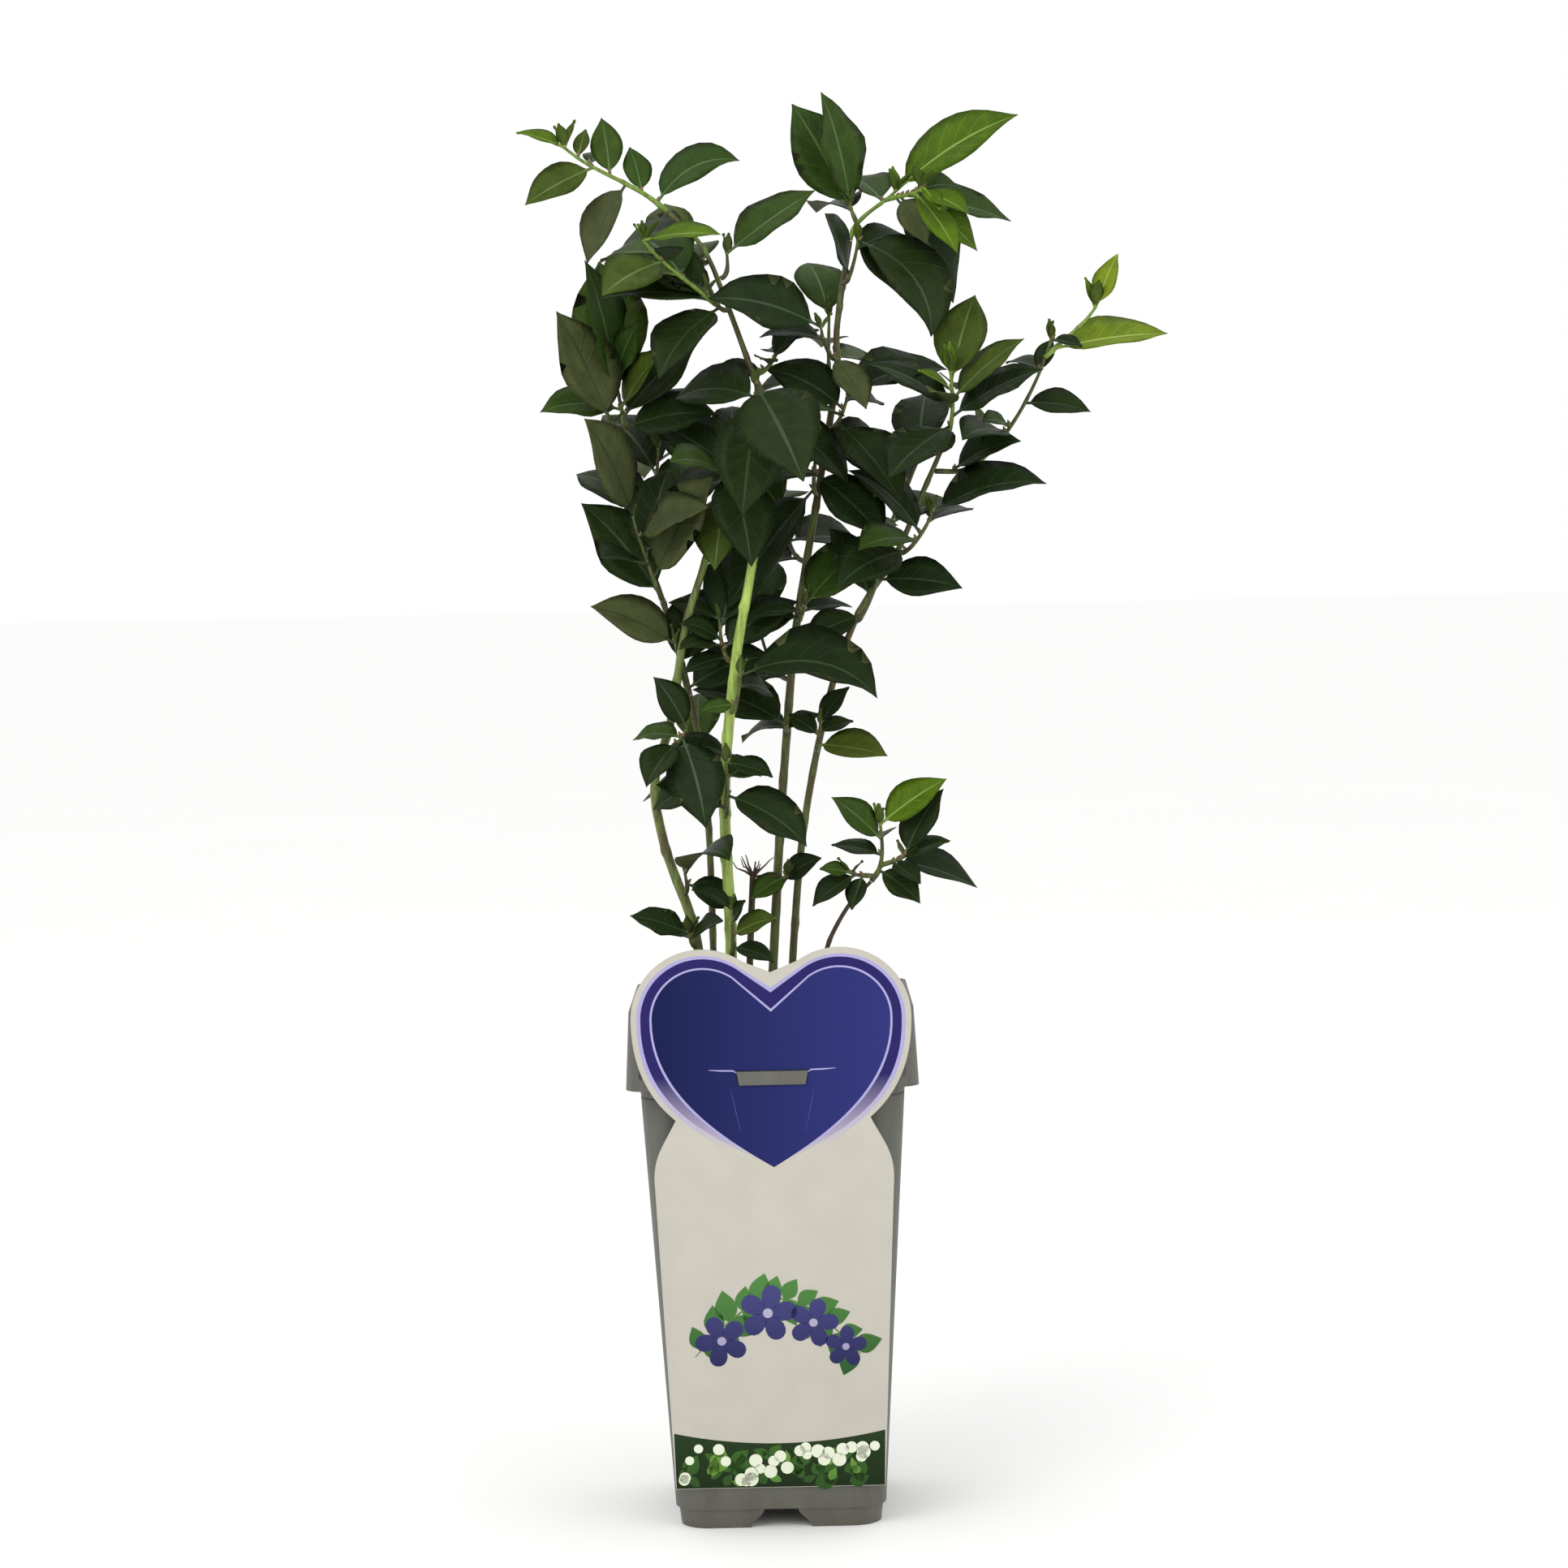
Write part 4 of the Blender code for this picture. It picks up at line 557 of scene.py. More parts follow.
def leaf_spine(root, bearing, rise, droop, roll, length):
    """Places, directions, sideways and facing vectors along a leaf from its root to its tip."""
    bearing = math.radians(bearing)
    side = Vector((-math.sin(bearing), math.cos(bearing), 0))
    flat = Vector((math.cos(bearing), math.sin(bearing), 0))
    place = root.copy()
    step = length / LEAF_STEPS
    spine = []
    for index in range(LEAF_STEPS + 1):
        part = index / LEAF_STEPS
        lift = math.radians(rise - droop * part ** DROOP_POWER)
        forward = flat * math.cos(lift) + Vector((0, 0, math.sin(lift)))
        face = forward.cross(side)
        twist = Matrix.Rotation(roll * min(1.0, part / PETIOLE_PART), 3, forward)
        spine.append((place.copy(), forward, twist @ side, twist @ face))
        place += forward * step
    return spine


def light_roll(bearing, rise, droop):
    """Turn about its own length that brings a leaf's face some way to the light."""
    root = Vector((0, 0, 0))
    _, _, side, face = leaf_spine(root, bearing, rise, droop, 0.0, 1.0)[LEAF_STEPS // 2]
    turn = math.atan2(-side.dot(LIGHT), face.dot(LIGHT))
    return max(-MOST_ROLL, min(MOST_ROLL, turn * LIGHT_PULL))


def blade_width(part):
    """Half width of a leaf's blade along it, as a share of the widest half."""
    return max(0.0, math.sin(math.pi * part ** WIDEST_POWER)) ** BLUNTNESS


def leaf_mesh(spine, half_width, thickness):
    """A closed thin leaf: a stalk sunk in the twig and a folded blade with a pointed tip."""
    rise = math.tan(math.radians(FOLD))
    verts = []
    stalk = PETIOLE_RADIUS
    sections = [(0.0, stalk, stalk)]
    for part in LEAF_RINGS:
        width = max(stalk, half_width * blade_width(part))
        sections.append((PETIOLE_PART + part * (1 - PETIOLE_PART), width, thickness / 2))
    for part, width, half in sections:
        spot = part * LEAF_STEPS
        index = min(int(spot), LEAF_STEPS - 1)
        blend = spot - index
        place = spine[index][0].lerp(spine[index + 1][0], blend)
        side = spine[index][2].lerp(spine[index + 1][2], blend)
        face = spine[index][3].lerp(spine[index + 1][3], blend)
        lift = face * rise * (width - stalk)
        verts += [place + side * width + lift, place + face * half,
                  place - side * width + lift, place - face * half]
    verts.append(spine[-1][0])
    rings = len(sections)
    faces = [(3, 2, 1, 0)]
    for ring in range(rings - 1):
        for corner in range(4):
            a = ring * 4 + corner
            b = ring * 4 + (corner + 1) % 4
            faces += [(a, b, b + 4), (a, b + 4, a + 4)]
    last = (rings - 1) * 4
    faces += [(last + corner, last + (corner + 1) % 4, len(verts) - 1) for corner in range(4)]
    return verts, faces


def in_space(mass, place):
    """Whether a place is in the space that a mass keeps to."""
    away = [(place[axis] / CM - mass.middle[axis]) / mass.reach[axis] for axis in range(3)]
    return sum(value * value for value in away) <= 1.0


def pointing(way, forward, droop):
    """Bearing and first rise of a leaf that points one way as seen from the front."""
    way, forward = math.radians(way), math.radians(forward)
    reach = Vector((math.cos(forward) * math.cos(way), -math.sin(forward),
                    math.cos(forward) * math.sin(way)))
    bearing = math.degrees(math.atan2(reach.y, reach.x))
    return bearing, math.degrees(math.asin(reach.z)) + MEAN_DROOP * droop


def find_room(mass, root, wish, named, own, near, far):
    """The first way of holding a leaf that touches nothing, or if named only its own mass."""
    bearing, rise, droop, sway, length, slimness = wish
    for touching, share in NAMED_TRIES if named else FILL_TRIES:
        size = length * share
        half_width = size * slimness
        for turn, sag in SECOND_TRIES:
            roll = light_roll(bearing + turn, rise, droop + sag) + sway
            spine = leaf_spine(root, bearing + turn, rise, droop + sag, roll, size)
            if not all(in_space(mass, row[0]) for row in spine):
                continue
            verts, faces = leaf_mesh(spine, half_width + CLEARANCE, LEAF_THICKNESS + 2 * CLEARANCE)
            whole = BVHTree.FromPolygons(verts, faces)
            if any(whole.overlap(tree) for tree in far):
                continue
            blade_faces = [tuple(corner - 4 for corner in face) for face in faces if min(face) >= 4]
            blade = BVHTree.FromPolygons(verts[4:], blade_faces)
            if touching < 2 and any(blade.overlap(tree) for tree in own):
                continue
            if touching < 1 and any(blade.overlap(tree) for tree in near):
                continue
            return spine, half_width
    return None


def leaf_wishes(shoot, path):
    """Where each leaf of a shoot should sit and how it should be held, the named ones first."""
    rule = random.Random(shoot.name)
    first = max(FIRST_LEAF, min(1.0, FIRST_ROOM / (path[-1] - path[0]).length))
    steps = max(1, len(shoot.leaves) - 1)
    wishes = []
    for index, (way, forward, droop, length) in enumerate(shoot.leaves):
        part = first + (1 - first) * (index + 1 if len(shoot.leaves) == 1 else index) / steps
        bearing, rise = pointing(way, forward, droop)
        wishes.append((part, bearing, rise, droop, rule.uniform(-NAMED_SWAY, NAMED_SWAY), length * CM))
    usual = sum(leaf[3] for leaf in shoot.leaves) / len(shoot.leaves)
    for index in range(shoot.fill):
        part = 1 - (index + 0.5) / (shoot.fill + 1)
        wishes.append((part, BACK + DIVERGENCE * index + rule.uniform(-FILL_TURN, FILL_TURN),
                       rule.uniform(*FILL_LIFT), rule.uniform(*FILL_DROOP),
                       rule.uniform(-FILL_SWAY, FILL_SWAY),
                       usual * CM * rule.uniform(*FILL_LENGTH)))
    return wishes


def grow_leaves(shoot, wishes, named, mass, path, own, near, far):
    """Leaves held as wished on one shoot, leaving out those that find no room."""
    leaves = []
    for index, (part, *wish) in enumerate(wishes):
        youth = shoot.youth * part ** YOUTH_POWER
        root, _, _ = along(path, part)
        wish.append(SLIMNESS - YOUNG_SLIMNESS * youth)
        held = find_room(mass, root, wish, named, own, near, far)
        if held:
            leaves.append((*held, youth, leaf_tone(shoot, index, named)))
            near.append(BVHTree.FromPolygons(*leaf_mesh(*held, LEAF_THICKNESS)))
    return leaves


def tree_of(piece):
    """Search tree of a piece's faces."""
    mesh = piece.data
    return BVHTree.FromPolygons([vertex.co for vertex in mesh.vertices],
                                [tuple(face.vertices) for face in mesh.polygons])


def make_limbs(collection):
    """Every stem and bough, and what the shoots need to know of them."""
    parents = {}
    limbs = {}
    for limb in LIMBS:
        path, radii = limb_path(limb)
        limbs[limb.name] = tube(limb.name, path, radii, LIMB_GRAIN, collection)
        parents[limb.name] = (path, radii, True)
    return limbs, parents


def grow_crown(limbs, parents, scratch):
    """All twigs, then all leaves, in the order of the table."""
    limb_trees = [tree_of(limb) for limb in limbs.values()]
    twigs = {}
    for shoot in SHOOTS:
        path = shoot_path(shoot, parents)
        radii = twig_radii(len(path))
        parents[shoot.name] = (path, radii, False)
        twigs[shoot.name] = tube(shoot.name, path, radii, 0, scratch)
    twig_trees = {name: tree_of(twig) for name, twig in twigs.items()}
    leaf_trees = {mass.name: [] for mass in MASSES}
    masses = {mass.name: mass for mass in MASSES}
    wishes = {shoot.name: leaf_wishes(shoot, parents[shoot.name][0]) for shoot in SHOOTS}
    leaves = {shoot.name: [] for shoot in SHOOTS}
    for named in (True, False):
        for shoot in SHOOTS:
            far = list(limb_trees)
            own = []
            for other in SHOOTS:
                (own if other.mass == shoot.mass else far).append(twig_trees[other.name])
            for name, trees in leaf_trees.items():
                if name != shoot.mass:
                    far += trees
            count = len(shoot.leaves)
            some = wishes[shoot.name][:count] if named else wishes[shoot.name][count:]
            leaves[shoot.name] += grow_leaves(shoot, some, named, masses[shoot.mass],
                                              parents[shoot.name][0], own,
                                              leaf_trees[shoot.mass], far)
    return twigs, leaves


# ---------------------------------------------------------------- helpers for the dressed pieces

def linear(colour):
    """Linear red, green and blue of an sRGB hex colour such as 6b7f3a."""
    parts = [int(colour[spot:spot + 2], 16) / 255 for spot in (0, 2, 4)]
    return tuple(part / 12.92 if part <= 0.04045 else ((part + 0.055) / 1.055) ** 2.4
                 for part in parts)


def rgba(colour):
    """Linear colour of a hex string or of a colour property, with full cover."""
    if isinstance(colour, str):
        return (*linear(colour), 1.0)
    return (*tuple(colour)[:3], 1.0)


def add_node(tree, kind, settings=None, links=None):
    """A node of a material with its settings, the stops of its ramp and its incoming links."""
    node = tree.nodes.new(kind)
    for key, value in (settings or {}).items():
        if key == "stops":
            ramp = node.color_ramp
            while len(ramp.elements) < len(value):
                ramp.elements.new(0.5)
            for stop, (place, colour) in zip(ramp.elements, value):
                stop.position = place
                stop.color = rgba(colour)
        elif isinstance(key, int) or (key in node.inputs and not hasattr(node, key)):
            node.inputs[key].default_value = value
        else:
            setattr(node, key, value)
    for socket, (source, output) in (links or {}).items():
        tree.links.new(source.outputs[output], node.inputs[socket])
    return node


def new_material(name, roughness, **sockets):
    """A material with its tree and its shader, whose plain sockets are set by name."""
    material = bpy.data.materials.new(name)
    material.use_nodes = True
    tree = material.node_tree
    shader = tree.nodes["Principled BSDF"]
    shader.inputs["Roughness"].default_value = roughness
    for key, value in sockets.items():
        shader.inputs[key.replace("_", " ")].default_value = value
    return material, tree, shader


def mottled(name, stops, size, roughness, bump, grain, tint=None, **sockets):
    """A surface that is blotched between colours, with a fine relief; sizes in metres."""
    material, tree, shader = new_material(name, roughness, **sockets)
    place = add_node(tree, "ShaderNodeTexCoord")
    blotch = add_node(tree, "ShaderNodeTexNoise", {"Scale": 1 / size, "Detail": 5.0, "Roughness": 0.6},
                      {"Vector": (place, "Object")})
    ramp = add_node(tree, "ShaderNodeValToRGB", {"stops": stops}, {"Fac": (blotch, "Fac")})
    fine = add_node(tree, "ShaderNodeTexNoise", {"Scale": 1 / grain, "Detail": 3.0},
                    {"Vector": (place, "Object")})
    relief = add_node(tree, "ShaderNodeBump", {"Strength": bump, "Distance": grain / 2},
                      {"Height": (fine, "Fac")})
    tree.links.new(ramp.outputs["Color"], shader.inputs["Base Color"])
    tree.links.new(relief.outputs["Normal"], shader.inputs["Normal"])
    return material


def deselect():
    """Leaves nothing selected, so that an operator acts on the next piece alone."""
    for piece in bpy.context.view_layer.objects:
        piece.select_set(False)


def select_only(piece):
    """Makes one piece the selected and active one."""
    deselect()
    piece.select_set(True)
    bpy.context.view_layer.objects.active = piece


def choose(piece, kind, test):
    """Opens a piece in edit mode and selects what passes a test, by vertex, edge or face."""
    select_only(piece)
    bpy.ops.object.mode_set(mode="EDIT")
    bpy.ops.mesh.select_mode(type=kind)
    bpy.ops.mesh.select_all(action="DESELECT")
    shape = bmesh.from_edit_mesh(piece.data)
    group = {"VERT": shape.verts, "EDGE": shape.edges, "FACE": shape.faces}[kind]
    for item in group:
        if test(item):
            item.select_set(True)
    shape.select_flush_mode()
    bmesh.update_edit_mesh(piece.data)


def leave_edit():
    """Back to object mode."""
    bpy.ops.object.mode_set(mode="OBJECT")


def apply_all(piece):
    """Applies every modifier of a piece in order."""
    select_only(piece)
    for modifier in list(piece.modifiers):
        bpy.ops.object.modifier_apply(modifier=modifier.name)


def block(name, low_width, high_width, low, high, corner, segments=8):
    """A square block that tapers upwards, with rounded upright corners."""
    deselect()
    bpy.ops.mesh.primitive_cube_add(size=1, location=(0, 0, (low + high) / 2),
                                    scale=(low_width, low_width, high - low))
    piece = bpy.context.object
    piece.name = name
    bpy.ops.object.transform_apply(location=True, rotation=True, scale=True)
    choose(piece, "FACE", lambda face: face.normal.z > 0.9)
    share = high_width / low_width
    bpy.ops.transform.resize(value=(share, share, 1), center_override=(0, 0, high))
    leave_edit()
    tall = (high - low) / 2
    choose(piece, "EDGE", lambda edge: abs(edge.verts[0].co.z - edge.verts[1].co.z) > tall)
    bpy.ops.mesh.bevel(offset=corner, segments=segments, affect="EDGES")
    leave_edit()
    return piece


def rod(name, radius, low, high, place, turn=(0, 0, 0), sides=28):
    """A round stub or hole between two heights, before it is turned about its middle."""
    deselect()
    bpy.ops.mesh.primitive_cylinder_add(vertices=sides, radius=radius, depth=high - low,
                                        location=(place[0], place[1], (low + high) / 2),
                                        rotation=turn)
    piece = bpy.context.object
    piece.name = name
    bpy.ops.object.transform_apply(location=True, rotation=True, scale=True)
    return piece


def cut(piece, other, operation="DIFFERENCE", solver="MANIFOLD"):
    """A Boolean of another piece, applied, after which the other is gone."""
    change = piece.modifiers.new("cut", "BOOLEAN")
    change.object = other
    change.operation = operation
    change.solver = solver
    apply_all(piece)
    bpy.data.objects.remove(other)


def flat_piece(name, outlines, low, high, turn):
    """A flat plate from closed outlines, the later ones its openings, between two depths."""
    curve = bpy.data.curves.new(name, "CURVE")
    curve.dimensions = "2D"
    curve.fill_mode = "BOTH"
    curve.extrude = (high - low) / 2
    for outline in outlines:
        spline = curve.splines.new("POLY")
        spline.points.add(len(outline) - 1)
        spline.use_cyclic_u = True
        for knot, (x, y) in zip(spline.points, outline):
            knot.co = (x, y, 0.0, 1.0)
    piece = bpy.data.objects.new(name, curve)
    bpy.context.collection.objects.link(piece)
    select_only(piece)
    bpy.ops.object.convert(target="MESH")
    piece = bpy.context.object
    choose(piece, "VERT", lambda vertex: True)
    bpy.ops.mesh.remove_doubles(threshold=0.000001)
    leave_edit()
    piece.data.transform(turn @ Matrix.Translation((0, 0, (low + high) / 2)))
    return piece


def round_off(piece, width, segments=2, degrees=35):
    """Softens the sharp edges of a piece and shades it smooth."""
    bevel = piece.modifiers.new("soft_edges", "BEVEL")
    bevel.width = width
    bevel.segments = segments
    bevel.limit_method = "ANGLE"
    bevel.angle_limit = math.radians(degrees)
    bevel.harden_normals = False
    apply_all(piece)
    smooth(piece, 40)


def smooth(piece, degrees):
    """Smooth shading, kept sharp at edges past an angle."""
    select_only(piece)
    bpy.ops.object.shade_smooth_by_angle(angle=math.radians(degrees))


def join(pieces, name):
    """Several pieces made one."""
    select_only(pieces[0])
    for piece in pieces:
        piece.select_set(True)
    bpy.ops.object.join()
    pieces[0].name = name
    return pieces[0]


def mesh_piece(name, verts, faces, materials, slots=None, smoothly=True):
    """A piece from arrays of places and of faces with one count of corners, or a list of faces."""
    mesh = bpy.data.meshes.new(name)
    if isinstance(faces, np.ndarray):
        count, corners = faces.shape
        mesh.vertices.add(len(verts))
        mesh.vertices.foreach_set("co", np.asarray(verts, dtype=np.float32).ravel())
        mesh.loops.add(count * corners)
        mesh.loops.foreach_set("vertex_index", faces.astype(np.int32).ravel())
        mesh.polygons.add(count)
        mesh.polygons.foreach_set("loop_start", np.arange(count, dtype=np.int32) * corners)
        mesh.update(calc_edges=True)
    else:
        mesh.from_pydata([tuple(vert) for vert in verts], [], faces)
    for material in materials:
        mesh.materials.append(material)
    if slots is not None:
        mesh.polygons.foreach_set("material_index", np.asarray(slots, dtype=np.int32))
    mesh.polygons.foreach_set("use_smooth", [smoothly] * len(mesh.polygons))
    mesh.validate()
    mesh.update()
    piece = bpy.data.objects.new(name, mesh)
    bpy.context.collection.objects.link(piece)
    return piece


def put_on(piece, slot, *nodes):
    """Lets a finished piece ride on the body and stand for its CAD nodes."""
    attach(piece, "root")
    if nodes:
        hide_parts(*nodes)


# ---------------------------------------------------------------- settings a user would change

def colour_setting(name, description, default):
    """A colour property with an sRGB hex default."""
    return bpy.props.FloatVectorProperty(name=name, description=description, subtype="COLOR",
                                         size=3, min=0.0, max=1.0, default=linear(default))


class BlueberryPotSettings(bpy.types.PropertyGroup):
    """Sizes and colours of the pot."""
    wall_colour: colour_setting("Wall", "Colour of the pot's wall", "5c5d56")
    collar_colour: colour_setting("Collar", "Colour of the collar round the top", "5b5a54")
    dirt_colour: colour_setting("Dirt", "Colour of the dust near the foot", "565046")
    edge_radius: bpy.props.FloatProperty(name="Edge Radius", description="Softness of moulded edges",
                                         default=0.5 * MM, unit="LENGTH")
    seam_depth: bpy.props.FloatProperty(name="Seam Depth", description="Depth of the groove in the wall",
                                        default=0.5 * MM, unit="LENGTH")


class BlueberryLabelSettings(bpy.types.PropertyGroup):
    """Colours of the label."""
    card_colour: colour_setting("Card", "Colour of the bare card", "bdb9ad")
    band_colour: colour_setting("Band", "Colour of the heart's outer band", "261f5e")
    fade_colour: colour_setting("Fade", "Colour that the band fades to", "a79db6")
    line_colour: colour_setting("Line", "Colour of the line inside the band", "a5a0cc")
    crease_colour: colour_setting("Crease", "Colour of the folds under the tab", "3c4282")
    heart_left: colour_setting("Heart Left", "Colour of the inner heart on the left", "0e1748")
    heart_right: colour_setting("Heart Right", "Colour of the inner heart on the right", "2a2e70")


class BlueberryPlantSettings(bpy.types.PropertyGroup):
    """Sizes and colours of the peat, stems and leaves."""
    peat_colour: colour_setting("Peat", "Colour of the moist peat", "33271e")
    bark_colour: colour_setting("Bark", "Colour of the young green bark", "68783a")
    old_bark_colour: colour_setting("Old Bark", "Colour of the brown patches", "4c3c28")
    dark_colour: colour_setting("Dark Leaf", "Upper side of a full grown leaf", "1c2b0e")
    middle_colour: colour_setting("Green Leaf", "Upper side of a lighter leaf", "314716")
    olive_colour: colour_setting("Olive Leaf", "Upper side of a half grown leaf", "3f4e19")
    young_colour: colour_setting("Young Leaf", "Upper side of a young leaf", "4a650b")
    newest_colour: colour_setting("Newest Leaf", "Upper side of the newest leaves", "6f8218")
    under_colour: colour_setting("Underside", "Lower side of the leaves", "464d2c")
    leaf_thickness: bpy.props.FloatProperty(name="Leaf Thickness", description="Thickness of a blade",
                                            default=0.45 * MM, unit="LENGTH")


class BlueberryStageSettings(bpy.types.PropertyGroup):
    """Light and floor of the stage."""
    floor_colour: colour_setting("Floor", "Colour of the plain floor", "fcfcfb")
    key_power: bpy.props.FloatProperty(name="Key Light", description="Power of the main soft light",
                                       default=16.0, subtype="POWER")
    fill_power: bpy.props.FloatProperty(name="Fill Light", description="Power of the second soft light",
                                        default=6.0, subtype="POWER")
    world_strength: bpy.props.FloatProperty(name="Surroundings", default=1.0,
                                            description="Strength of the white surroundings")


# ---------------------------------------------------------------- pot

def moulded_plastic(name, colour, dirt):
    """Matte recycled polypropylene, moulded: faint flow streaks, fine grain and dust low down."""
    material, tree, shader = new_material(name, 0.52)
    shader.inputs["Specular IOR Level"].default_value = 0.4
    place = add_node(tree, "ShaderNodeTexCoord")
    dark = tuple(part * 0.80 for part in colour)
    light = tuple(min(1.0, part * 1.16) for part in colour)
    # Flow streaks of the melt, about 9 mm wide and five times as tall
    tall = add_node(tree, "ShaderNodeMapping", {"Scale": (1.0, 1.0, 0.2)}, {"Vector": (place, "Object")})
    streak = add_node(tree, "ShaderNodeTexNoise", {"Scale": 1 / (9 * MM), "Detail": 4.0},
                      {"Vector": (tall, "Vector")})
    ramp = add_node(tree, "ShaderNodeValToRGB", {"stops": ((0.32, dark), (0.5, colour), (0.7, light))},
                    {"Fac": (streak, "Fac")})
    # Pale specks of recycled grain, about 0.8 mm
    speck = add_node(tree, "ShaderNodeTexNoise", {"Scale": 1 / (0.8 * MM), "Detail": 2.0},
                     {"Vector": (place, "Object")})
    few = add_node(tree, "ShaderNodeMapRange", {"From Min": 0.62, "From Max": 0.75, "To Max": 0.35},
                   {"Value": (speck, "Fac")})
    speckled = add_node(tree, "ShaderNodeMix", {"data_type": "RGBA", 7: rgba(light)},
                        {0: (few, "Result"), 6: (ramp, "Color")})
    # Dust thins out from the foot up over about 25 mm, in patches of about 6 mm
    parts = add_node(tree, "ShaderNodeSeparateXYZ", None, {"Vector": (place, "Object")})
    low = add_node(tree, "ShaderNodeMapRange", {"From Min": 0.0, "From Max": 25 * MM, "To Min": 1.0,
                                                "To Max": 0.0}, {"Value": (parts, "Z")})
    patch = add_node(tree, "ShaderNodeTexNoise", {"Scale": 1 / (6 * MM), "Detail": 6.0},
                     {"Vector": (place, "Object")})
    dust = add_node(tree, "ShaderNodeMath", {"operation": "MULTIPLY"},
                    {0: (low, "Result"), 1: (patch, "Fac")})
    dusty = add_node(tree, "ShaderNodeMix", {"data_type": "RGBA", 7: rgba(dirt)},
                     {0: (dust, "Value"), 6: (speckled, 2)})
    tree.links.new(dusty.outputs[2], shader.inputs["Base Color"])
    grain = add_node(tree, "ShaderNodeTexNoise", {"Scale": 1 / (0.5 * MM), "Detail": 3.0},
                     {"Vector": (place, "Object")})
    wave = add_node(tree, "ShaderNodeBump", {"Strength": 0.25, "Distance": 0.4 * MM},
                    {"Height": (streak, "Fac")})
    relief = add_node(tree, "ShaderNodeBump", {"Strength": 0.18, "Distance": 0.15 * MM},
                      {"Height": (grain, "Fac"), "Normal": (wave, "Normal")})
    tree.links.new(relief.outputs["Normal"], shader.inputs["Normal"])
    return material


def groove(piece, height, tallness, depth):
    """Cuts a narrow groove round a tapering wall."""
    width = wall_width(height)
    ring = block("groove_outside", width + 6 * MM, width + 6 * MM, height, height + tallness,
                 WALL_CORNER)
    core = block("groove_inside", width - 2 * depth, width - 2 * depth, height - MM,
                 height + tallness + MM, WALL_CORNER - depth)
    cut(ring, core)
    cut(piece, ring)


